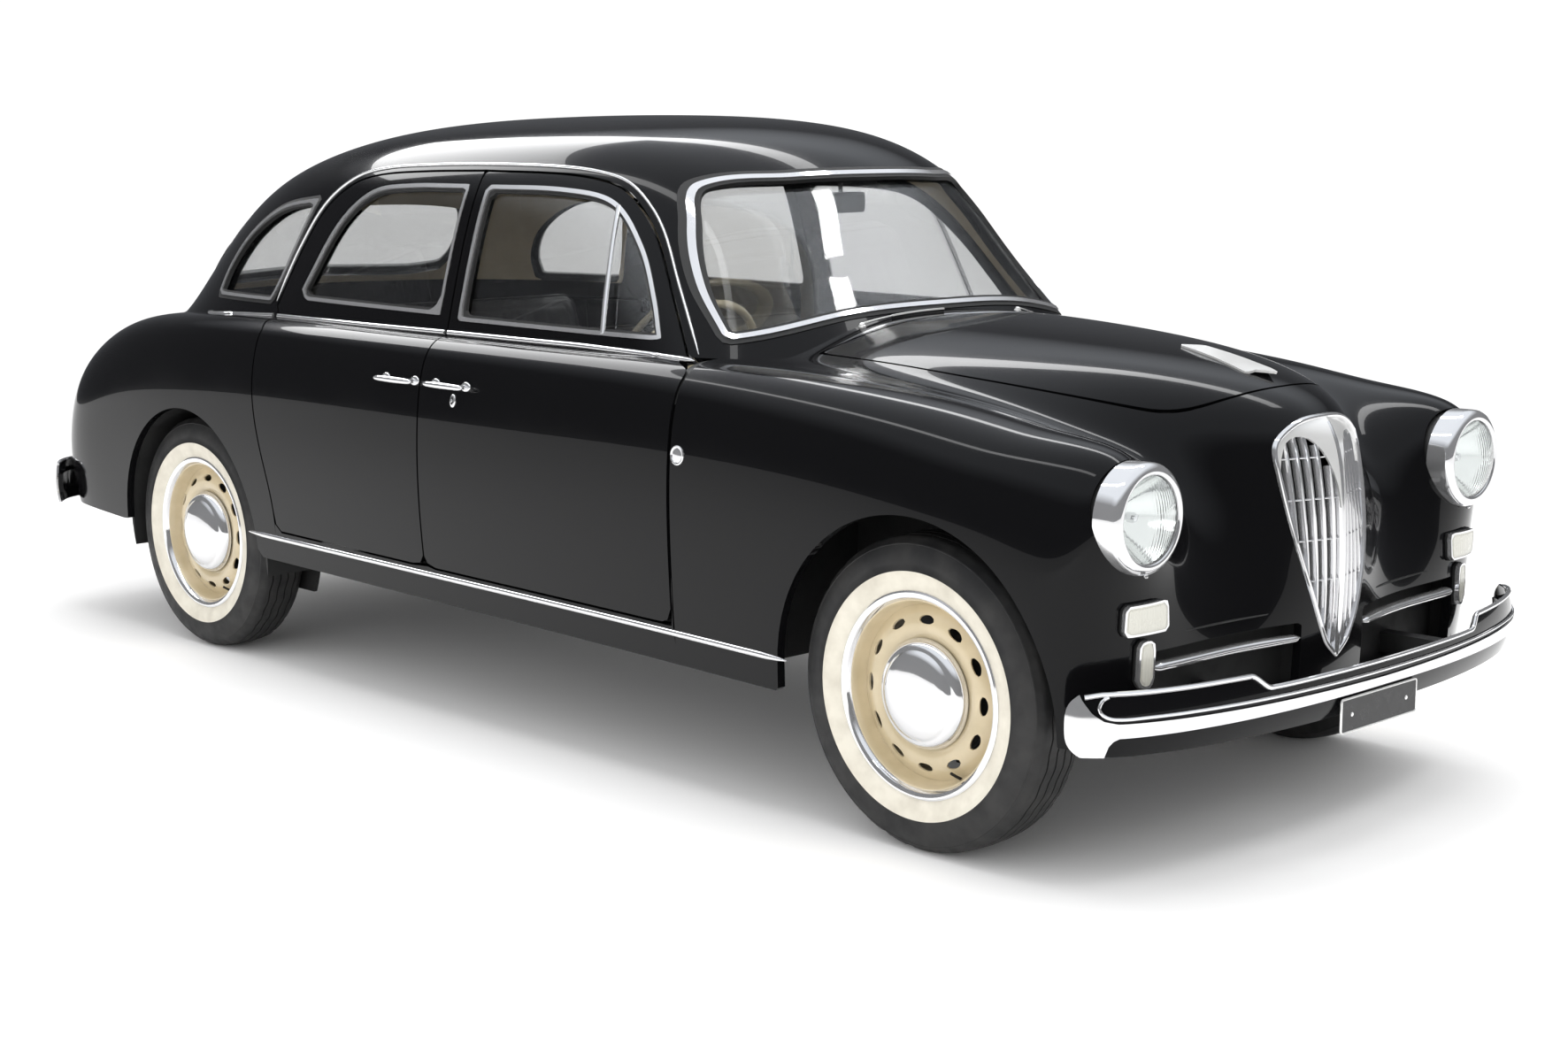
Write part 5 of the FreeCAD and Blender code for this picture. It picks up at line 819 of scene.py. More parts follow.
def tyre_form(centre, side):
    """A ribbed tyre with zigzag grooves, a cream band on the outer flank and its thickness to the beads."""
    flank = [(.2028, .0600), (.2145, .0605), (.2175, .0640), (.226, .0712), (.238, .0770), (.252, .0808),
             (.2655, .0822), (.2665, .0832), (.2685, .0832), (.270, .0820), (.285, .0818), (.300, .0795),
             (.312, .0762), (.3215, .0712), (.3225, .0716), (.3250, .0702), (.3255, .0690), (.3335, .0610),
             (.3375, .0545)]
    tread = []
    for n, place in enumerate(GROOVES):
        tread += [(place - .0022, n, 0), (place - .0014, n, 1), (place + .0014, n, 1), (place + .0022, n, 0)]
    middles = [(-.050, -1, 0), (-.0245, -1, 0), (0.0, -1, 0), (.0245, -1, 0), (.050, -1, 0)]
    row = sorted(tread + middles, key=lambda item: item[0])
    inner = [(.329, .048), (.318, .058), (.262, .0700), (.222, .0600), (.2028, .0480)]
    width = len(flank) * 2 + len(row) + len(inner) * 2
    points, faces, numbers = [], [], []
    for n in range(TREAD_STEPS):
        angle = math.tau * n / TREAD_STEPS
        cos, sin = math.cos(angle), math.sin(angle)
        zig = .0024 * (abs((n % 8) - 4) / 2 - 1)
        lug = .0022 if n % 8 in (0, 1) else 0
        loop = [(r - (lug if .330 < r < .338 else 0), -w) for r, w in flank]
        for w, groove, deep in row:
            crown = TYRE_RADIUS - .0040 * (abs(w) / .0545) ** 2.4
            loop.append((crown - (.0065 if deep else 0), w + (zig if groove >= 0 else 0)))
        loop += [(r - (lug if .330 < r < .338 else 0), w) for r, w in reversed(flank)]
        loop += [(r, w) for r, w in reversed(inner)]
        loop += [(r, -w) for r, w in inner]
        points.extend((centre[0] + r * cos, centre[1] + side * w, centre[2] + r * sin) for r, w in loop)
    for n in range(TREAD_STEPS):
        here, there = n * width, (n + 1) % TREAD_STEPS * width
        for i in range(width):
            j = (i + 1) % width
            faces.append((here + i, here + j, there + j, there + i))
            outer_flank = len(flank) + len(row)
            local = i - outer_flank
            last = len(flank) - 1
            numbers.append(1 if 0 <= local < last and last - 6 <= local + 1 <= last - 1 else 0)
    return points, faces, numbers


def ellipse_clear(sheet, centre):
    """How far each point of the disc lies outside the row of cooling slots."""
    x = sheet.points[:, 0] - centre[0]
    z = sheet.points[:, 2] - centre[2]
    radius = np.hypot(x, z)
    pitch = math.tau / SLOTS
    angle = (np.arctan2(z, x) + pitch / 2) % pitch - pitch / 2
    along = angle * radius
    return np.hypot(along / .021, (radius - .160) / .0095) * .0095 - .0095


def disc_sheet(profile, centre, side):
    """An open disc pressed to a profile of (radius, distance out), with its outward normals."""
    profile = np.array(profile)
    angles = np.linspace(0, math.tau, DISC_STEPS, endpoint=False)
    slope = np.gradient(profile[:, 1]) / np.gradient(profile[:, 0])
    points, normals = [], []
    for angle in angles:
        c, s = math.cos(angle), math.sin(angle)
        for (r, a), k in zip(profile, slope):
            points.append((centre[0] + r * c, centre[1] + side * a, centre[2] + r * s))
            normals.append((-k * c, side, -k * s))
    size = len(profile)
    faces = []
    for n in range(DISC_STEPS):
        here, there = n * size, (n + 1) % DISC_STEPS * size
        for i in range(size - 1):
            quad = (here + i, here + i + 1, there + i + 1, there + i)
            faces.append(quad if side > 0 else tuple(reversed(quad)))
    return Sheet(np.array(points), unit(np.array(normals)), faces)


RIM = [(.2145, .0612), (.2170, .0640), (.2165, .0668), (.2130, .0675), (.2085, .0650), (.2050, .0580), (.2020, .0480),
       (.1975, .0330), (.1925, .0240), (.1860, .0150), (.1860, -.0250), (.2010, -.0380), (.2010, -.0600),
       (.2140, -.0615), (.2140, -.0665), (.1975, -.0665), (.1960, -.0400), (.1830, -.0270), (.1830, .0180),
       (.1900, .0270), (.1960, .0420), (.1985, .0560), (.2010, .0600)]
TRIM = [(.2215, .0652), (.2240, .0680), (.2235, .0712), (.2195, .0732), (.2140, .0728), (.2085, .0700), (.2040, .0630),
        (.2005, .0520), (.1965, .0390), (.1935, .0290), (.1950, .0285), (.1990, .0400), (.2030, .0530), (.2060, .0625),
        (.2100, .0680), (.2150, .0700), (.2190, .0690)]
DISC = [(.1930, .0240), (.1880, .0262), (.1820, .0300), (.1760, .0345), (.1700, .0385), (.1640, .0415), (.1580, .0436),
        (.1520, .0450), (.1450, .0456), (.1380, .0454), (.1310, .0440), (.1240, .0410), (.1170, .0380), (.1100, .0370)]
CAP = [(0, .0905), (.025, .0898), (.050, .0874), (.070, .0838), (.084, .0795), (.0925, .0748), (.0965, .0712),
       (.0985, .0700), (.1030, .0694), (.1090, .0650), (.1145, .0585), (.1180, .0510), (.1195, .0440), (.1180, .0425),
       (.1120, .0480), (.0960, .0560), (0, .0600)]
for end, axle_x in (("front", FRONT_AXLE_X), ("rear", REAR_AXLE_X)):
    for side, hand in SIDES:
        centre = (axle_x, side * HALF_TRACK, TYRE_RADIUS)
        owner = f"{end}_wheel_{hand}"
        points, faces, numbers = tyre_form(centre, side)
        made = piece(f"{end}_tyre_with_tread_{hand}", [(points, faces, 0)], owner, [TYRE, WHITEWALL],
                     [f"{end}_tyre_{hand}"], 40)
        made.data.polygons.foreach_set("material_index", numbers)
        pressed = disc_sheet(DISC, centre, side)
        pressed = pressed.clip(ellipse_clear(pressed, centre))
        mesh_of(f"{end}_wheel_disc_{hand}", shell(pressed, .004, 0, 0), owner, [BEIGE])
        axis = (0, side, 0)
        forms = [turned(RIM, centre, axis, 112, 0), turned(TRIM, centre, axis, 136, 1),
                 turned(CAP, centre, axis, 112, 1)]
        hub = [(0, .0380), (.060, .0380), (.110, .0330), (.110, .0300), (.046, .0280), (.046, -.0300), (0, -.0300)]
        drum = [(.0, -.0080), (.0, -.0020), (.128, -.0020), (.138, -.0060), (.138, -.0220), (.130, -.0220),
                (.130, -.0080)]
        forms += [turned(hub, centre, axis, 64, 2), turned(drum, centre, axis, 96, 2)]
        stem = np.array(centre) + (.196 * math.sin(.5), side * .040, -.196 * math.cos(.5))
        bends = ((0, -.012, 0), (-.006, .004, .010), (-.010, .016, .018))
        forms.append(tube([stem + (dx, side * dy, dz) for dx, dy, dz in bends], .0032, number=3))
        piece(f"{end}_wheel_rim_and_cap_{hand}", forms, owner, [BEIGE, CHROME, CAST, RUBBER], [owner], 30)

# Bumpers: a blade drawn flat, cut to its outlines, then wrapped on its path
BUMPER_PATHS = {
    "front": [(2.215, 0), (2.203, .30), (2.165, .55), (2.105, .73), (2.04, .805), (1.985, .822)],
    "rear": [(-2.215, 0), (-2.213, .30), (-2.20, .55), (-2.155, .72), (-2.08, .80), (-2.0, .822)],
}
BLADE_LOW = .311
BLADE_HIGH = .438
BLADE_MIDDLE = (BLADE_LOW + BLADE_HIGH) / 2
BLADE_BULGE = .012
REAR_RISE = .040


def bumper_path(end):
    """The plan line of a whole bumper, which way it faces and how much higher it hangs than the front one."""
    half = np.array(BUMPER_PATHS[end])
    whole = np.concatenate([half[:0:-1] * (1, -1), half])
    path = curve_through(np.column_stack([whole, np.zeros(len(whole))]), .01)[:, :2]
    return (path, 1, 0) if end == "front" else (path, -1, REAR_RISE)


def wrap(flat, path, way, lift):
    """Points of a flat blade (along, height) laid on a plan path, bulged in the middle of its height."""
    lengths = np.concatenate([[0], np.cumsum(np.linalg.norm(np.diff(path, axis=0), axis=1))])
    lengths -= lengths[-1] / 2
    s, z = flat[:, 0], flat[:, 1]
    along = np.gradient(path, axis=0)
    out = unit(np.stack([along[:, 1], -along[:, 0]], 1)) * way
    px, py, nx, ny = (np.interp(s, lengths, row) for row in (*path.T, *out.T))
    middle = np.clip((z - BLADE_LOW) / (BLADE_HIGH - BLADE_LOW) * 2 - 1, -1, 1)
    bulge = -BLADE_BULGE * middle ** 2 + lift
    return np.stack([px + nx * bulge, py + ny * bulge, z], 1)


def blade(end, tests, lift, wall):
    """The part of the blade where every test of (along, height) is above nought."""
    path, way, rise = bumper_path(end)
    reach = np.linalg.norm(np.diff(path, axis=0), axis=1).sum() / 2
    s = np.linspace(-reach, reach, 181)
    z = np.linspace(BLADE_LOW, BLADE_HIGH, 23)
    points = np.array([(a, b, 0) for a in s for b in z])
    faces = [tuple(f) for f in grid_faces(len(s), len(z)).tolist()]
    flat = Sheet(points, np.tile((0, 0, 1.0), (len(points), 1)), faces)
    for test in tests:
        flat = flat.clip(test(np.abs(flat.points[:, 0]), flat.points[:, 1]))
    step = .0005
    moves = ((0, 0, 0), (step, 0, 0), (0, step, 0))
    here, ahead, over = (wrap(flat.points + move, path, way, lift) for move in moves)
    normals = unit(np.cross(ahead - here, over - here))
    if (normals[:, 0] * way).sum() < 0:
        normals = -normals
    here[:, 2] += rise
    sheet = Sheet(here, normals, flat.faces)
    f = sheet.faces[len(sheet.faces) // 2]
    a, b, c = (sheet.points[i] for i in f[:3])
    if np.dot(np.cross(b - a, c - b), normals[f[0]]) < 0:
        sheet.faces = [tuple(reversed(g)) for g in sheet.faces]
    return shell(sheet, wall, 0, 0)


def top_edge(s, z):
    return np.interp(s, (.392, .434), (.409, .437)) - z


def flare_edge(z):
    return np.interp(z, (.311, .335, .347, .353, .357, .376, .379, .385, .400, .425, .438),
                     (.797, .790, .780, .765, 0, 0, .765, .798, .822, .842, .85))


def rounded_end(reach):
    """A test that ends the blade at reach, drawn in towards its upper and lower edges."""
    return lambda s, z: reach - s - (np.abs(z - BLADE_MIDDLE) * 2 / (BLADE_HIGH - BLADE_LOW)) ** 4 * .03


def wire(end, half_line, radius, lift):
    """A bright moulding along a line of (along, height) on the blade, for both halves."""
    path, way, rise = bumper_path(end)
    drawn = [(-a, b, 0) for a, b in half_line[:0:-1]] + [(a, b, 0) for a, b in half_line]
    line = curve_through(drawn, .006)
    spots = wrap(line, path, way, lift)
    nearer = wrap(line, path, way, lift + .01)
    spots[:, 2] += rise
    nearer[:, 2] += rise
    return swept(spots, nearer - spots, ring(radius, 10))


TOP_WIRE = [(0, .4085), (.2, .4085), (.385, .4085), (.4, .412), (.434, .4355), (.450, .437), (.585, .437),
            (.706, .437), (.80, .4365), (.838, .431)]
LOW_WIRE = [(0, .388), (.3, .3885), (.583, .3895), (.70, .3895), (.780, .390), (.802, .398), (.8095, .411),
            (.803, .425), (.790, .432)]
for end in ("front", "rear"):
    black = blade(end, [top_edge, rounded_end(.868)], 0, .005)
    bright = blade(end, [top_edge, rounded_end(.876), lambda s, z: s - flare_edge(z)], .005, .006)
    backing = blade(end, [lambda s, z: .862 - s, lambda s, z: .404 - z, lambda s, z: z - .345], -.005, .014)
    mesh_of(f"{end}_bumper_blade", recolour(black + backing, 0) + recolour(bright, 1), "body", [PAINT, CHROME],
            [f"{end}_bumper"])
    piece(f"{end}_bumper_mouldings", [wire(end, TOP_WIRE, .0055, .002), wire(end, LOW_WIRE, .0036, .003)], "body",
          [CHROME])
    iron_x = (2.185, 1.90) if end == "front" else (-2.185, -2.10)
    iron_z = .359 if end == "front" else .412
    irons = [box_form((min(iron_x), side * .36 - .02, iron_z - .023), (max(iron_x), side * .36 + .02, iron_z + .023))
             for side in (1, -1)]
    piece(f"{end}_bumper_irons", irons, "body", [PAN])

# Lamps
BEZEL = [(.1126, -.060), (.1130, -.046), (.1132, -.020), (.1124, -.012), (.1100, -.0070), (.1050, -.0030),
         (.1010, -.0004), (.0975, .0010), (.0940, .0012), (.0910, .0002), (.0888, -.0020), (.0880, -.0050),
         (.0890, -.0090), (.0930, -.0110), (.1000, -.0200), (.1070, -.0600)]
BOWL = [(.1065, -.060), (.1040, -.110), (.0820, -.160), (.0450, -.184), (0, -.190), (0, -.187), (.0430, -.1805),
        (.0790, -.157), (.1010, -.108), (.1035, -.060)]
LAMP_FACE_X = 2.055


def fluted_lens(centre, radius, rise, wall):
    """A domed glass, smooth outside and finely ribbed inside."""
    rings, count = 22, 128
    ball = (radius ** 2 + rise ** 2) / (2 * rise)
    points = []
    for layer in (0, 1):
        for i in range(1, rings + 1):
            r = radius * i / rings
            dome = math.sqrt(ball ** 2 - r ** 2) - ball + rise
            for n in range(count):
                angle = math.tau * n / count
                y, z = r * math.cos(angle), r * math.sin(angle)
                flute = .0007 * math.cos(y * math.tau / .0085) * (1 if i < rings else 0)
                points.append((centre[0] + dome - (wall + flute if layer else 0), centre[1] + y, centre[2] + z))
        points.append((centre[0] + rise - (wall + .0007 if layer else 0), centre[1], centre[2]))
    faces = []
    per = rings * count + 1
    for layer in (0, 1):
        base = layer * per
        for i in range(rings - 1):
            for n in range(count):
                m = (n + 1) % count
                a, b = base + i * count, base + (i + 1) * count
                faces.append((a + n, b + n, b + m, a + m))
        for n in range(count):
            faces.append((base + n, base + (n + 1) % count, base + per - 1))
    last = (rings - 1) * count
    for n in range(count):
        m = (n + 1) % count
        faces.append((last + n, per + last + n, per + last + m, last + m))
    return points, faces


forms, lenses = [], []
for side in (1, -1):
    centre = (LAMP_FACE_X, side * HEADLAMP_Y, HEADLAMP_Z)
    axis = (1, 0, 0)
    reflector = [(.0875 * math.sqrt(i / 16), -.082 + .070 * i / 16) for i in range(17)]
    bowl = reflector + [(r + .0012, d - .0012) for r, d in reversed(reflector)]
    bowl[0], bowl[-1] = (0, reflector[0][1]), (0, reflector[0][1] - .0012)
    forms.append(turned(BEZEL, centre, axis, 144, 0))
    forms.append(turned(BOWL, centre, axis, 64, 1))
    forms.append(turned(bowl, centre, axis, 96, 2))
    shade = [(0, -.036), (.007, -.038), (.0105, -.044), (.0105, -.056), (.007, -.060), (.007, -.079), (0, -.079)]
    forms.append(turned(shade, centre, axis, 32, 0))
    screw = (LAMP_FACE_X - .012, side * HEADLAMP_Y, HEADLAMP_Z - .1135)
    forms.append(turned([(0, .0048), (.0030, .0042), (.0052, .0020), (.0052, -.006), (0, -.006)], screw, (.35, 0, -1),
                        20, 0))
    points, faces = fluted_lens((LAMP_FACE_X - .002, centre[1], centre[2]), .0888, .0265, .0035)
    lenses.append((points, faces, 0))
piece("headlamp_shells", forms, "body", [CHROME, PAN, MIRROR], ["headlamps"], 30)
piece("headlamp_lenses", lenses, "body", [LENS], ["headlamp_glass"], 40)


def rounded_box(width, height, radius):
    """The outline of a rounded oblong about its middle."""
    corners = []
    for a, b, start in ((1, 1, 0), (-1, 1, 90), (-1, -1, 180), (1, -1, 270)):
        for n in range(7):
            angle = math.radians(start + 15 * n)
            corners.append((a * (width / 2 - radius) + radius * math.cos(angle),
                            b * (height / 2 - radius) + radius * math.sin(angle)))
    return corners


def box_outline(y, z, width, height, radius):
    return np.array([(y + a, z + b) for a, b in rounded_box(width, height, radius)])


def lamp_layers(outline, x_low, x_high, layers):
    """Raised layers of the skin inside an outline: (inset, lift, wall, material number)."""
    made = []
    for inset, outset, lift, wall, number in layers:
        sheet = body.clip(end_depth(body, outline, x_low, x_high) - inset)
        if outset is not None:
            sheet = sheet.clip(outset - end_depth(sheet, outline, x_low, x_high))
        made += recolour(shell(sheet.moved(-lift), wall, 0, 0), number)
    return made


small = []
for side in (1, -1):
    for y, z, width, height, radius in ((.600, .558, .120, .064, .012), (.600, .465, .042, .098, .016)):
        line = box_outline(side * y, z, width, height, radius)
        small += lamp_layers(line, 1.6, 3, [(-.0015, None, .006, .0055, 2), (.0005, .0050, .0165, .0110, 1),
                                            (.0045, None, .0150, .0100, 0), (.0090, None, .0162, .0030, 0)])
mesh_of("front_side_lamps", small, "body", [MILK, CHROME, RUBBER], ["front_sidelamps"])

forms = []
for side in (1, -1):
    found, normals = on_skin(body_tree, [(0, side * .640, .700)], (1, 0, 0))
    forms.append(turned([(0, .0165), (.010, .0160), (.018, .0142), (.0245, .0105), (.0275, .0060), (.0275, -.010),
                         (0, -.010)], found[0], normals[0], 48, 0))
    forms.append(turned([(.0270, -.010), (.0270, .0070), (.0285, .0085), (.0305, .0070), (.0320, .0010),
                         (.0320, -.010)], found[0], normals[0], 48, 1))
piece("tail_lamp_lenses", forms, "body", [RED, CHROME], ["tail_lamps"], 30)

# Grille: two flat faces that meet in a thick middle bar
GRILLE_LOW = ([0, .045, .095, .135, .158], [.395, .435, .54, .66, .80])
ARCH_TOP = ([.010, .020, .040, .065, .095, .122, .140, .148], [.745, .795, .842, .868, .874, .862, .832, .780])


def nose_x(y, z):
    """The skin's place on the nose, and the grille's flat face between its middle and its edge."""
    y, z = np.broadcast_arrays(np.asarray(y, float), np.asarray(z, float))
    edge = np.interp(z, [.395, .435, .54, .66, .80, .865, .905, .915], [.012, .045, .095, .135, .158, .152, .12, .09])
    result = np.zeros(y.shape)
    flat_y, flat_z, flat_edge, flat = y.ravel(), z.ravel(), edge.ravel(), result.reshape(-1)
    for i in range(len(flat)):
        key = round(float(flat_z[i]), 4)
        if key not in nose_cache:
            middle, _ = on_skin(body_tree, [(0, 0, key)], (-1, 0, 0))
            side_spot, _ = on_skin(body_tree, [(0, flat_edge[i], key)], (-1, 0, 0))
            nose_cache[key] = (middle[0][0] + .006, side_spot[0][0])
        centre_x, edge_x = nose_cache[key]
        flat[i] = centre_x + (edge_x - centre_x) * min(1.3, abs(flat_y[i]) / flat_edge[i])
    return result


nose_cache = {}
forms = []
for side in (1, -1):
    for n in range(1, 7):
        y = n * .316 / 13
        low = np.interp(y, *GRILLE_LOW) + .010
        top = np.interp(y, *ARCH_TOP) + .006
        z = np.linspace(low, top, 26)
        x = nose_x(np.full(26, y), z)
        path = np.stack([x, np.full(26, side * y), z], 1)
        forms.append(swept(path, (1.0, 0, 0),
                           [(-.0022, -.020), (.0022, -.020), (.0022, -.0022), (.0012, -.0008), (-.0012, -.0008),
                            (-.0022, -.0022)]))
    for n in range(1, 6):
        z = .395 + .52 * n / 6
        reach = np.interp(z, GRILLE_LOW[1], GRILLE_LOW[0]) - .006
        y = np.linspace(.002, reach, 12)
        path = np.stack([nose_x(y, np.full(12, z)) - .008, side * y, np.full(12, z)], 1)
        forms.append(swept(path, (1.0, 0, 0), ring(.0018, 8)))
z = np.linspace(.400, .900, 60)
path = np.stack([nose_x(np.zeros(60), z) - .001, np.zeros(60), z], 1)
forms.append(swept(path, (1.0, 0, 0), [(-.0085, -.022), (.0085, -.022), (.0080, -.004), (.0040, .0012), (0, .0024),
                                       (-.0040, .0012), (-.0080, -.004)]))
edge_line = np.array([(y * .965, .655 + (z - .655) * .984) for y, z in grille_line])
edge_x = np.array([on_skin(body_tree, [(0, y, z)], (-1, 0, 0))[0][0][0] for y, z in edge_line])
path = np.column_stack([edge_x, edge_line])
forms.append(swept(path, (1.0, 0, 0), [(-.0050, -.018), (.0050, -.018), (.0052, .001), (.0035, .0045), (0, .0058),
                                       (-.0035, .0045), (-.0052, .001)], True))
piece("grille_bars_and_frame", forms, "body", [CHROME], ["grille"], 40)

cap = []
arch_line = flow([(.148, .60), (.148, .780), (.140, .832), (.122, .862), (.095, .874), (.065, .868), (.040, .842),
                  (.020, .795), (.010, .745), (.010, .60)], 60)
for side in (1, -1):
    ys = np.linspace(0, .165, 67)
    zs = np.linspace(.72, .92, 81)
    grid_y, grid_z = np.meshgrid(ys, zs, indexing="ij")
    grid_x = nose_x(grid_y, grid_z)
    points = np.stack([grid_x, side * grid_y, grid_z], -1)
    along = np.gradient(points, axis=0)
    rise = np.gradient(points, axis=1)
    normals = unit(np.cross(along, rise) * side)
    quads = grid_faces(*grid_y.shape)
    quads = quads if side > 0 else quads[:, ::-1]
    plate = Sheet(points.reshape(-1, 3), normals.reshape(-1, 3), [tuple(q) for q in quads.tolist()])
    py, pz = plate.points[:, 1] * side, plate.points[:, 2]
    keep = np.minimum(depth_in(py * side, pz, edge_line), -depth_in(py, pz, arch_line))
    cap += shell(plate.clip(keep), .006, 0, 0)
mesh_of("grille_cap", cap, "body", [BRIGHT])

forms = []
for side in (1, -1):
    line = [(0, side * y, .452) for y in np.linspace(.572, .122, 60)]
    spots, normals = on_skin(body_tree, line, (-1, 0, 0))
    share = np.linspace(0, 1, len(spots))
    size = np.sqrt(np.clip(np.minimum(share * 26, 1), .02, 1)) * np.interp(share, [0, .8, .97, 1], [1, 1, .8, .3])
    forms.append(swept(spots - normals * .003, normals, half_round(.0190, .0145, 10, .007), False, 0, size))
piece("intake_mouldings", forms, "body", [CHROME], ["intake_bars"], 40)

# Dark ducts behind the intakes, following the skin
forms = []
for side in (1, -1):
    face, _ = on_skin(body_tree, [(0, side * y, .405) for y in np.linspace(.100, .600, 24)], (-1, 0, 0))
    count = len(face)
    forms.append(swept(face - (.062, 0, 0), (1.0, 0, 0),
                       [(-.108, -.0015), (.108, -.0015), (.108, .0015), (-.108, .0015)]))
    for z in (.298, .512):
        deck = np.column_stack([face[:, 0] - .036, face[:, 1], np.full(count, z)])
        forms.append(swept(deck, (0, 0, 1.0),
                           [(-.027, -.0015), (.027, -.0015), (.027, .0015), (-.027, .0015)]))
    for end in (face[0], face[-1]):
        forms.append(box_form(end + (-.0635, -.0015, -.109), end + (-.004, .0015, .109)))
piece("intake_ducts", forms, "body", [PAN])


# Side trims: belt, sill and rain mouldings
def outermost(points, side):
    """A line drawn in side view laid on whichever skin stands further out."""
    drawn = curve_through([(x, 0, z) for x, z in points])
    spots, normals = [], []
    for place in drawn:
        best = None
        for tree in (body_tree, house_tree):
            found, normal = on_skin(tree, [place], (0, -side, 0))
            if len(found) and (best is None or abs(found[0][1]) > abs(best[0][1])):
                best = (found[0], normal[0])
        if best is not None:
            spots.append(best[0])
            normals.append(best[1])
    return np.array(spots), np.array(normals)


def strip(points, side, width, height, ends=(1, 1)):
    spots, normals = outermost(points, side)
    share = np.linspace(0, 1, len(spots))
    size = np.ones(len(spots))
    if ends[0]:
        size = np.minimum(size, np.sqrt(np.clip(share * 30, .03, 1)))
    if ends[1]:
        size = np.minimum(size, np.sqrt(np.clip((1 - share) * 30, .03, 1)))
    return swept(spots, normals, half_round(width, height, 8, .003), False, 0, size)


def belt(x0, x1, side, ends):
    heights = ([-1.416, -.979, -.135, .40, .800], [.978, .995, .999, .999, .990])
    return strip([(x, float(np.interp(x, *heights))) for x in np.linspace(x0, x1, 8)], side, .0135, .0065, ends)


VENT_POST = [(.465, 1.032), (.448, 1.10), (.425, 1.20), (.403, 1.29), (.392, 1.331)]
SILL_TRIM = [(1.203, .366), (.6, .374), (0, .380), (-.5, .385), (-.975, .390)]
RAIN_TRIM = [(.775, 1.000), (.655, 1.148), (.540, 1.287), (.430, 1.368), (.340, 1.401), (.175, 1.420), (-.135, 1.425),
             (-.398, 1.420), (-.615, 1.408), (-.738, 1.381), (-.842, 1.310), (-.922, 1.180), (-.985, 1.035)]
for side, hand in SIDES:
    piece(f"front_door_mouldings_{hand}", [belt(-.128, .800, side, (0, 1)), strip(VENT_POST, side, .013, .004, (0, 0))],
          f"front_door_{hand}", [CHROME])
    piece(f"rear_door_mouldings_{hand}", [belt(-.958, -.142, side, (0, 0))], f"rear_door_{hand}", [CHROME])
    piece(f"side_mouldings_{hand}", [belt(-1.416, -.985, side, (1, 0)), strip(SILL_TRIM, side, .0150, .0065),
                                     strip(RAIN_TRIM, side, .0075, .0055)], "body", [CHROME])


# Door handles and locks
HANDLE_Z = .880
LOCK = (.012, 0, .842)


def lay_plate(place, direction, width, height, rise, number=0):
    """An oval dished plate set on the skin."""
    found, normals = on_skin(body_tree, [place], direction)
    normal = unit(normals[0])
    across = unit(np.cross((0, 0, 1), normal))
    upward = np.cross(normal, across)
    count = 48
    points = []
    profile = [(1, -.004), (1, rise * .35), (.93, rise * .8), (.80, rise), (0, rise * 1.15)]
    for share, out in profile[:-1]:
        for n in range(count):
            angle = math.tau * n / count
            points.append(found[0] + across * width / 2 * share * math.cos(angle)
                          + upward * height / 2 * share * math.sin(angle) + normal * out)
    points.append(found[0] + normal * profile[-1][1])
    faces = between_loops(len(profile) - 1, count)
    last = (len(profile) - 2) * count
    for n in range(count):
        faces.append((last + n, last + (n + 1) % count, len(points) - 1))
    faces.append(tuple(reversed(range(count))))
    return points, faces, number


for side, hand in SIDES:
    for end, x, lock in (("front", -.005, True), ("rear", -.220, False)):
        inward = (0, -side, 0)
        found, _ = on_skin(body_tree, [(x, 0, HANDLE_Z)], inward)
        y = found[0][1] + side * .026
        share = np.linspace(-1, 1, 41)
        path = np.stack([x + share * .0825, np.full(41, y), np.full(41, HANDLE_Z)], 1)
        size = np.clip(np.sqrt(np.clip(1 - np.abs(share) ** 9, 0, 1)), .05, 1) * (.86 + .14 * np.cos(share * 1.9))
        grip = [(.0082 * math.cos(t), .0078 * math.sin(t) + (.0008 if math.sin(t) > 0 else 0))
                for t in np.linspace(0, math.tau, 24, endpoint=False)]
        forms = [swept(path, (0, side, 0.0), grip, False, 0, size)]
        for foot in (-.0627, .0627):
            spot, out = on_skin(body_tree, [(x + foot, 0, HANDLE_Z)], inward)
            top = (x + foot, y - side * .002, HANDLE_Z)
            stem_path = np.array([spot[0] - out[0] * .006, spot[0] + (np.array(top) - spot[0]) * .5, top])
            forms.append(swept(stem_path, (1.0, 0, 0), ring(.0058, 20)))
            forms.append(lay_plate((x + foot, 0, HANDLE_Z), inward, .036, .024, .0035))
        if lock:
            forms.append(lay_plate(LOCK, inward, .021, .034, .0042))
            forms.append(lay_plate(LOCK, inward, .0125, .022, .0058, 1))
            spot, out = on_skin(body_tree, [LOCK], inward)
            barrel = [(0, .0084), (.0038, .0080), (.0046, .0066), (.0046, 0), (0, 0)]
            forms.append(turned(barrel, spot[0], out[0], 24, 0))
        piece(f"{end}_door_handle_{hand}", forms, f"{end}_door_{hand}", [CHROME, SATIN], [f"{end}_handle_{hand}"], 40)

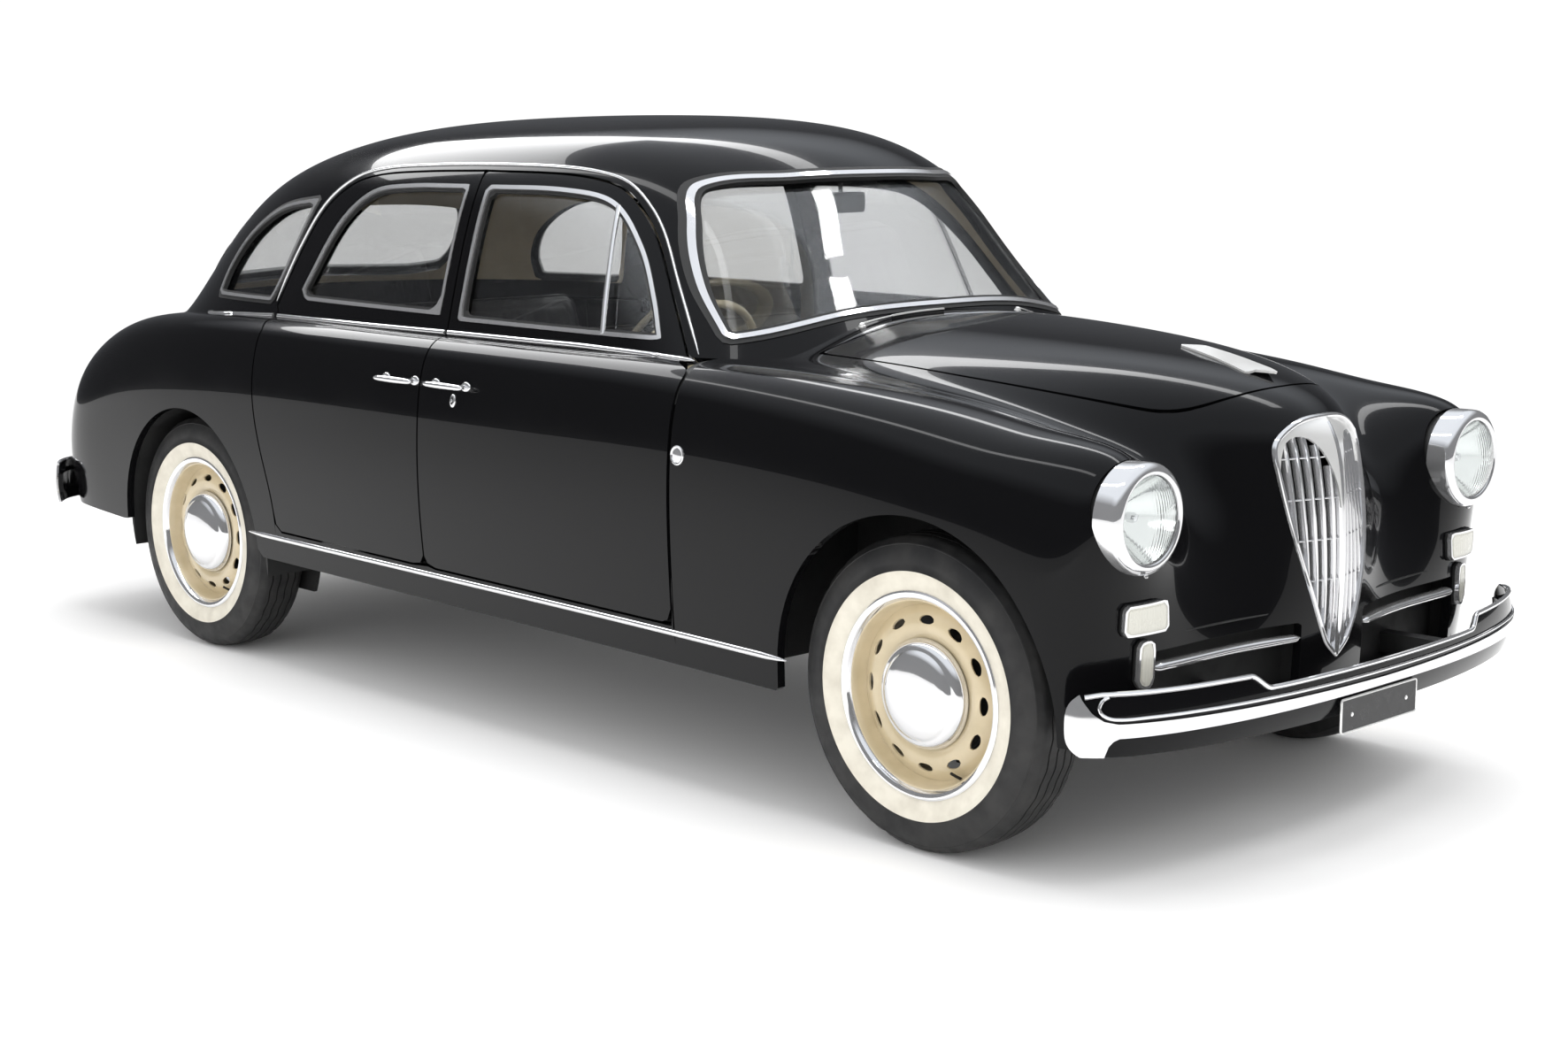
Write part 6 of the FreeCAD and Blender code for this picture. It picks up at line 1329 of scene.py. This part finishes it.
# Bonnet ornament: a ridged spear
spear_line = np.array([(1.66, 0), (1.88, .052), (1.875, .0312), (1.915, 0), (1.875, -.0312), (1.88, -.052)])
bonnet_top = body.clip(body.points[:, 2] - .80)
spear = bonnet_top.clip(depth_in(bonnet_top.points[:, 0], bonnet_top.points[:, 1], spear_line) + .0001)
share = np.clip(1 - np.abs(spear.points[:, 1]) / (.052 * np.clip((spear.points[:, 0] - 1.66) / .22, .02, 1)), 0, 1)
rise = .0040 + .0130 * share * np.clip((spear.points[:, 0] - 1.655) / .07, 0, 1)
raised = Sheet(spear.points + spear.normals * rise[:, None], spear.normals, spear.faces)
mesh_of("bonnet_spear", shell(raised, .006, 0, 0), "bonnet", [BRIGHT], ["bonnet_ornament"])

# Wipers along the foot of the windscreen
HALF_BEAM = .822
WIPER_PIVOT = [(0, .0105), (.004, .0102), (.0062, .0080), (.0064, .0050), (.0088, .0040), (.0096, -.002), (0, -.002)]
WIPER_ARM = [(-.0040, -.0012), (.0040, -.0012), (.0034, .0014), (-.0034, .0014)]
WIPER_HOLDER = [(-.0026, -.0010), (.0026, -.0010), (.0022, .0026), (-.0022, .0026)]
WIPER_RUBBER = [(-.0012, -.0040), (.0012, -.0040), (.0016, .0020), (-.0016, .0020)]
forms = []
for foot, tip in (((.962, -.36), (.998, -.06)), ((.980, .30), (.905, .58))):
    start = np.array((foot[0], foot[1] * HALF_BEAM))
    stop = np.array((tip[0], tip[1] * HALF_BEAM))
    line = [tuple(start + (stop - start) * t) for t in np.linspace(0, 1, 40)]
    spots, normals = on_skin(body_tree, [(x, y, 0) for x, y in line], (0, 0, -1))
    forms.append(turned(WIPER_PIVOT, spots[0], normals[0], 28, 0))
    forms.append(swept((spots + normals * .0080)[:18], normals[:18], WIPER_ARM, False, 0, np.linspace(1, .6, 18)))
    forms.append(swept((spots + normals * .0074)[14:], normals[14:], WIPER_HOLDER, False, 0))
    forms.append(swept((spots + normals * .0046)[14:], normals[14:], WIPER_RUBBER, False, 1))
piece("wiper_arms", forms, "body", [BRIGHT, RUBBER], ["wipers"], 40)

# Blank number plates
PLATE_HALF_WIDTH = .1435
PLATE_HALF_HEIGHT = .0345
forms = []
for x, face, y, z in ((2.2193, 1, -.024, .312), (-2.2193, -1, 0, .4145)):
    back = x - face * .004
    front = x - face * .0016
    forms.append(box_form((min(back, front), y - PLATE_HALF_WIDTH, z - PLATE_HALF_HEIGHT),
                          (max(back, front), y + PLATE_HALF_WIDTH, z + PLATE_HALF_HEIGHT), 0))
    rim_points = np.array([(x - face * .0012, y + a, z + b) for a, b in rounded_box(.289, .071, .006)])
    forms.append(swept(rim_points, np.tile((float(face), 0, 0), (len(rim_points), 1)),
                       [(-.0022, -.0028), (.0022, -.0028), (.0018, .0004), (0, .0012), (-.0018, .0004)], True, 1))
    for bolt_y in (-.105, .105):
        forms.append(turned([(0, .0016), (.0035, .0012), (.0050, 0), (.0050, -.0024), (0, -.0024)],
                            (x - face * .0012, y + bolt_y, z), (face, 0, 0), 20, 1))
piece("blank_plates", forms, "body", [PLATE, BRIGHT], ["number_plates"], 30)

# Interior mirror
MIRROR_X = .600
MIRROR_Z = 1.330
MIRROR_FOOT_Z = 1.335
outline = rounded_box(.170, .052, .012)


def mirror_form(loops, number):
    """A closed form between loops of the mirror's outline, each (width, height, distance forward)."""
    count = len(outline)
    points = [(MIRROR_X + out, a * wide, MIRROR_Z + b * high) for wide, high, out in loops for a, b in outline]
    ends = [tuple(range(count)), tuple(reversed(range(len(points) - count, len(points))))]
    return points, ends + between_loops(len(loops), count), number


case = [(.94, .94, -.0080), (1.0, 1.0, -.0050), (1.0, 1.0, .0045), (.975, .975, .0070), (.90, .90, .0080)]
forms = [mirror_form(case, 0), mirror_form([(.95, .90, -.0085), (.95, .90, -.0070)], 1)]
roof_spot, _ = on_skin(house_tree, [(MIRROR_X, 0, 0)], (0, 0, -1))
stem_top = roof_spot[0][2] - ROOF_WALL
stem = [(MIRROR_X, 0, MIRROR_FOOT_Z), (MIRROR_X, 0, (MIRROR_FOOT_Z + stem_top) / 2), (MIRROR_X, 0, stem_top)]
forms.append(tube(curve_through(stem), .0058, False, 0, 20))
forms.append(turned([(0, -.001), (.0058, -.001), (.0058, .010), (.0052, .012), (0, .012)],
                    (MIRROR_X, 0, stem_top - .014), (0, 0, 1), 28, 0))
piece("cabin_mirror", forms, "body", [SATIN, MIRROR], ["interior_mirror"], 35)

# Steering wheel
STEERING_RADIUS = .208
BOSS = [(0, .0112), (.0120, .0108), (.0175, .0086), (.0190, .0060), (.0200, .0060), (.0290, .0030), (.0338, -.004),
        (.0338, -.0330), (0, -.0330)]
HORN_BUTTON = [(0, .0125), (.0100, .0120), (.0160, .0100), (.0175, .0070), (.0175, .0050), (0, .0050)]
hub = np.array((.420, -.360, .905))
axis = unit(np.array((-.8829, 0, .4695)))
cross = np.array((0, 1.0, 0))
down = np.cross(axis, cross)
forms = []
count = 180
angles = np.linspace(0, math.tau, count, endpoint=False)
path = np.array([hub + (cross * math.cos(a) + down * math.sin(a)) * STEERING_RADIUS for a in angles])
grips = .965 + .035 * np.cos(angles * 36)
forms.append(swept(path, axis, ring(.0110, 20), True, 0, grips))
forms.append(turned(BOSS, hub, axis, 72, 0))
forms.append(turned(HORN_BUTTON, hub, axis, 48, 1))
for angle in (0, 180, 90):
    direction = cross * math.cos(math.radians(angle)) + down * math.sin(math.radians(angle))
    line = np.array([hub + direction * r - axis * (.004 * math.sin(math.pi * (r - .02) / .19))
                     for r in np.linspace(.020, .204, 24)])
    width = np.interp(np.linspace(0, 1, 24), [0, .3, .8, 1], [1, .72, .66, .95])
    forms.append(swept(line, axis, ring(.0088, 20, .0062 / .0088), False, 0, width))
forms.append(turned([(0, -.060), (.0098, -.060), (.0098, -.030), (0, -.030)], hub, axis, 32, 1))
piece("steering_wheel_rim", forms, "steering_wheel", [CREAM, CHROME], ["steering_wheel"], 40)

# Blank round disc behind each front wheel
forms = []
for side in (1, -1):
    spot, out = on_skin(body_tree, [(.857, 0, .787)], (0, -side, 0))
    forms.append(turned([(0, .0026), (.0150, .0022), (.0165, .0014), (.0175, .0030), (.0200, .0036), (.0225, .0022),
                         (.0230, -.004), (0, -.004)], spot[0], out[0], 64, 0))
piece("side_discs", forms, "body", [CHROME])

# Seats: each cushion and back is a stuffed leather form, swollen as cloth and then sewn in channels
def stuffed(centre, half, radius, lean, crown):
    """A rounded block of even squares, higher in its middle, leaning back with height."""
    cells = [max(6, int(round(h * 2 / .0155))) for h in half]
    half = np.array(half)
    keys, points, faces = {}, [], []

    def index(place):
        if place not in keys:
            keys[place] = len(points)
            unit_place = np.array([2 * p / c - 1 for p, c in zip(place, cells)])
            flat = unit_place * half
            inner = np.clip(flat, -(half - radius), half - radius)
            away = flat - inner
            length = np.linalg.norm(away)
            spot = inner + (away * (radius / length) if length > 1e-9 else 0)
            swell = (1 - unit_place[0] ** 4) * (1 - unit_place[1] ** 4) * (1 - unit_place[2] ** 4)
            edge = np.abs(unit_place).max()
            domed = crown * (1 - np.sort(np.abs(unit_place))[1] ** 2) * edge
            spot = spot * (1 - .012 * (1 - swell)) + unit_place * domed
            points.append(spot)
        return keys[place]

    for axis in range(3):
        a, b = [k for k in range(3) if k != axis]
        for end in (0, cells[axis]):
            for i in range(cells[a]):
                for j in range(cells[b]):
                    quad = []
                    for di, dj in ((0, 0), (1, 0), (1, 1), (0, 1)):
                        place = [0, 0, 0]
                        place[axis], place[a], place[b] = end, i + di, j + dj
                        quad.append(index(tuple(place)))
                    faces.append(quad if (end > 0) == (axis != 1) else quad[::-1])
    points = np.array(points)
    points[:, 0] -= lean * points[:, 2]
    return points + np.array(centre), faces


pads = []
PAD_CROWN = .006
FRONT_SEAT_Y = .300


def pad(name, centre, half, radius, lean, axis, channels, fill):
    points, faces = stuffed(centre, half, radius, lean, PAD_CROWN)
    mesh = bpy.data.meshes.new(name)
    mesh.from_pydata([tuple(p) for p in points], [], faces)
    mesh.materials.append(LEATHER)
    made = placed(name, mesh)
    pads.append((made, points, centre, half, lean, axis, channels, fill))


for side, hand in SIDES:
    pad(f"front_cushion_{hand}", (.262, side * FRONT_SEAT_Y, .478), (.232, .250, .070), .062, 0, 2, 8, .85)
    pad(f"front_backrest_{hand}", (-.012, side * FRONT_SEAT_Y, .755), (.046, .250, .238), .044, .378, 0, 8, .8)
pad("rear_cushion", (-.770, 0, .562), (.232, .520, .070), .062, 0, 2, 14, .85)
pad("rear_backrest", (-1.040, 0, .800), (.046, .520, .200), .044, .378, 0, 14, .8)

for made, *_ in pads:
    cloth = made.modifiers.new("swell", "CLOTH")
    cloth.settings.quality = 5
    cloth.settings.mass = .4
    cloth.settings.tension_stiffness = 20
    cloth.settings.compression_stiffness = 20
    cloth.settings.shear_stiffness = 8
    cloth.settings.bending_stiffness = 1.5
    cloth.settings.use_pressure = True
    cloth.settings.uniform_pressure_force = 4
    cloth.settings.effector_weights.gravity = 0
    cloth.collision_settings.use_collision = False
    cloth.point_cache.frame_start = 1
    cloth.point_cache.frame_end = 20
for number in range(1, 21):
    bpy.context.scene.frame_set(number)

SWELL_LIMIT = .012
for made, start, centre, half, lean, axis, channels, fill in pads:
    swollen = start
    graph = bpy.context.evaluated_depsgraph_get()
    result = made.evaluated_get(graph).to_mesh()
    flat = np.empty(len(result.vertices) * 3)
    result.vertices.foreach_get("co", flat)
    made.evaluated_get(graph).to_mesh_clear()
    moved = flat.reshape(-1, 3) - start
    length = np.linalg.norm(moved, axis=1, keepdims=True)
    swollen = start + moved * np.minimum(1, SWELL_LIMIT / np.maximum(length, 1e-9))
    made.modifiers.clear()
    made.data.vertices.foreach_set("co", swollen.ravel())
    made.data.update()
    smooth = made.modifiers.new("smooth", "SUBSURF")
    smooth.levels = smooth.render_levels = 1
    fine = bpy.data.meshes.new_from_object(made.evaluated_get(bpy.context.evaluated_depsgraph_get()))
    made.modifiers.clear()
    made.data = fine
    count = len(fine.vertices)
    spots, outs = np.empty(count * 3), np.empty(count * 3)
    fine.vertices.foreach_get("co", spots)
    fine.vertices.foreach_get("normal", outs)
    spots, outs = spots.reshape(-1, 3), outs.reshape(-1, 3)
    local = spots - np.array(centre)
    local[:, 0] += lean * local[:, 2]
    facing = np.clip((outs[:, axis] - .35) * 3, 0, 1)
    pitch = 2 * half[1] * .80 / channels
    phase = np.abs(((local[:, 1] / pitch) + 100.5) % 1 - .5) * pitch
    along = 2 if axis == 0 else 0
    inside = np.clip((half[1] * .82 - np.abs(local[:, 1])) / .01, 0, 1) * np.clip(
        (half[along] * .78 - np.abs(local[:, along])) / .02, 0, 1)
    groove = np.exp(-(phase / .006) ** 2) * inside
    across_edge, along_edge = half[1] * .84, half[along] * .82
    across_place, along_place = np.abs(local[:, 1]), np.abs(local[:, along])
    border = np.maximum(np.exp(-((across_place - across_edge) / .005) ** 2) * (along_place < along_edge),
                        np.exp(-((along_place - along_edge) / .005) ** 2) * (across_place < across_edge))
    rise = .0022 * inside * (1 - (phase / pitch * 2) ** 2)
    spots += outs * ((rise - .0055 * np.maximum(groove, border * .9)) * facing)[:, None]
    fine.vertices.foreach_set("co", spots.ravel())
    fine.polygons.foreach_set("use_smooth", [True] * len(fine.polygons))
    fine.update()
    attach(made, "body")
bpy.context.scene.frame_set(1)


def welt(pad_object, centre, half, lean, axis, level):
    """Piping sewn round a stuffed form, laid on its own surface."""
    form = bmesh.new()
    form.from_mesh(pad_object.data)
    tree = BVHTree.FromBMesh(form)
    form.free()
    if axis == 2:
        loop = [(a, b, level) for a, b in rounded_box(half[0] * 2, half[1] * 2, .05)]
    else:
        loop = [(level, a, b) for a, b in rounded_box(half[1] * 2, half[2] * 2, .05)]
    path = []
    for place in loop:
        spot, normal, _, _ = tree.find_nearest(Vector((centre[0] + place[0] - lean * place[2], centre[1] + place[1],
                                                       centre[2] + place[2])))
        path.append(np.array(spot) + np.array(normal) * .0012)
    path = curve_through(path + path[:1], .010)[:-1]
    middle = path.mean(0)
    return swept(path, unit(path - middle), ring(.0034, 10), True)


for made, _, centre, half, lean, axis, *_ in pads:
    level = half[axis] * .62
    piece(made.name + "_piping", [welt(made, centre, half, lean, axis, height) for height in (level, -level)], "body",
          [PIPING], (), 60)


def rounded_slab(low, high, radius):
    """A flat slab with rounded corners seen from above."""
    (x0, y0, z0), (x1, y1, z1) = low, high
    outline = [((x0 + x1) / 2 + a, (y0 + y1) / 2 + b) for a, b in rounded_box(x1 - x0, y1 - y0, radius)]
    count = len(outline)
    points = [(x, y, z) for z in (z0, z1) for x, y in outline]
    faces = [tuple(reversed(range(count))), tuple(range(count, 2 * count))]
    return points, faces + between_loops(2, count), 0


# Seat frames and the rear seat's base
forms = []
for side in (1, -1):
    y = side * FRONT_SEAT_Y
    forms.append(rounded_slab((.030, y - .225, .398), (.490, y + .225, .418), .030))
    for x in (.060, .424):
        for dy in (-.20, .16):
            forms.append(box_form((x, y + dy, .3363), (x + .036, y + dy + .04, .400)))
        forms.append(box_form((x, y - .21, .3363), (x + .036, y + .21, .346)))
piece("front_seat_frames", forms, "body", [SATIN], ["front_seats"], 30)
forms = [rounded_slab((-1.000, -.500, .484), (-.545, .500, .500), .03)]
piece("rear_seat_base", forms, "body", [SATIN], ["rear_seat"], 30)

# The solids that stay, each in its own finish
finishes = {
    PAN: ("floor_pan", "front_frame", "tunnel", "rear_floor", "latch_panel", "radiator", "front_axle", "fuel_tank"),
    CAST: ("engine_block", "knuckle_left", "knuckle_right", "rear_axle", "exhaust"),
    SATIN: ("dashboard", "steering_column"),
}
for look, names in finishes.items():
    for name in names:
        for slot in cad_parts[name].material_slots:
            slot.link = "OBJECT"
            slot.material = look

# Floor, light and camera
floor = bpy.data.meshes.new("studio_floor")
floor.from_pydata([(-30, -30, 0), (30, -30, 0), (30, 30, 0), (-30, 30, 0)], [], [(0, 1, 2, 3)])
FLOOR, shader, place = material("pale_floor", (.95, .95, .95), .7, 0.0, Specular_IOR_Level=0.0)
floor.materials.append(FLOOR)
floor_object = placed("studio_floor", floor)
floor_object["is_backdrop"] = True

world = bpy.data.worlds.new("studio")
bpy.context.scene.world = world
world.use_nodes = True
world.node_tree.nodes["Background"].inputs[0].default_value = (1.0, 1.0, 1.0, 1)
world.node_tree.nodes["Background"].inputs[1].default_value = 1.08
world.cycles_visibility.glossy = False


def softbox(name, place, target, width, height, power, in_gloss=True, in_diffuse=True):
    lamp = bpy.data.lights.new(name, "AREA")
    lamp.shape = "RECTANGLE"
    lamp.size = width
    lamp.size_y = height
    lamp.energy = power
    made = placed(name, lamp)
    made.location = place
    made.visible_glossy = in_gloss
    made.visible_diffuse = in_diffuse
    made.rotation_euler = (Vector(target) - Vector(place)).to_track_quat("-Z", "Y").to_euler()


softbox("top", (.2, 0, 4.6), (.2, 0, 0), 6.4, 3.6, 170, False)
softbox("top_gloss", (-2.0, .1, 4.6), (-2.0, .1, 0), 9.4, 4.4, 820, True, False)
softbox("near_side", (3.5, -7.0, 2.6), (0, 0, .6), 6, 2.5, 90, False)

# A dim room that only polished surfaces mirror: dark at eye height, lighter overhead
ROOM_WALL = [(26.0, -.2), (25.4, 4.5), (23.8, 9.5), (20.0, 15.5), (14.0, 20.9), (7.0, 24.0), (0, 25.0), (0, 25.2),
             (7.1, 24.2), (14.2, 21.1), (20.2, 15.7), (24.0, 9.6), (25.6, 4.6), (26.2, -.2)]
room_points, room_faces, _ = turned(ROOM_WALL, (0, 0, 0), (0, 0, 1), 48)
room_mesh = bpy.data.meshes.new("studio_room")
room_mesh.from_pydata([tuple(p) for p in room_points], [], room_faces)
ROOM = bpy.data.materials.new("studio_room")
ROOM.use_nodes = True
tree = ROOM.node_tree
tree.nodes.clear()
glow = tree.nodes.new("ShaderNodeEmission")
out = tree.nodes.new("ShaderNodeOutputMaterial")
tree.links.new(glow.outputs[0], out.inputs[0])
place = Socket(tree, tree.nodes.new("ShaderNodeTexCoord").outputs["Object"])
height = place.node("ShaderNodeSeparateXYZ", {0: place}, 2)
tree.links.new(height.ramp(11.0, 16.5, 0, 1).colours((.085, .088, .095), (.80, .84, .90)).socket, glow.inputs[0])
room_mesh.materials.append(ROOM)
room = placed("studio_room", room_mesh)
for kind in ("camera", "diffuse", "transmission", "volume_scatter", "shadow"):
    setattr(room, "visible_" + kind, False)
room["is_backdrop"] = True

yaw, pitch, roll = (math.radians(a) for a in (135.705974, -9.516917, -.09473))
forward = Vector((math.cos(yaw) * math.cos(pitch), math.sin(yaw) * math.cos(pitch), math.sin(pitch)))
level = forward.cross(Vector((0, 0, 1))).normalized()
upright = level.cross(forward)
across_view = level * math.cos(roll) + upright * math.sin(roll)
up_view = across_view.cross(forward)
camera = bpy.data.cameras.new("camera")
camera.sensor_width = 36
camera.lens = 2672.311 / 1772 * 36
camera_object = placed("camera", camera)
turn = Matrix((across_view, up_view, -forward)).transposed().to_4x4()
camera_object.matrix_world = Matrix.Translation((4.81867901, -4.31736327, 1.52112924)) @ turn
bpy.context.scene.camera = camera_object
bpy.context.scene.view_settings.view_transform = "Standard"

low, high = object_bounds()
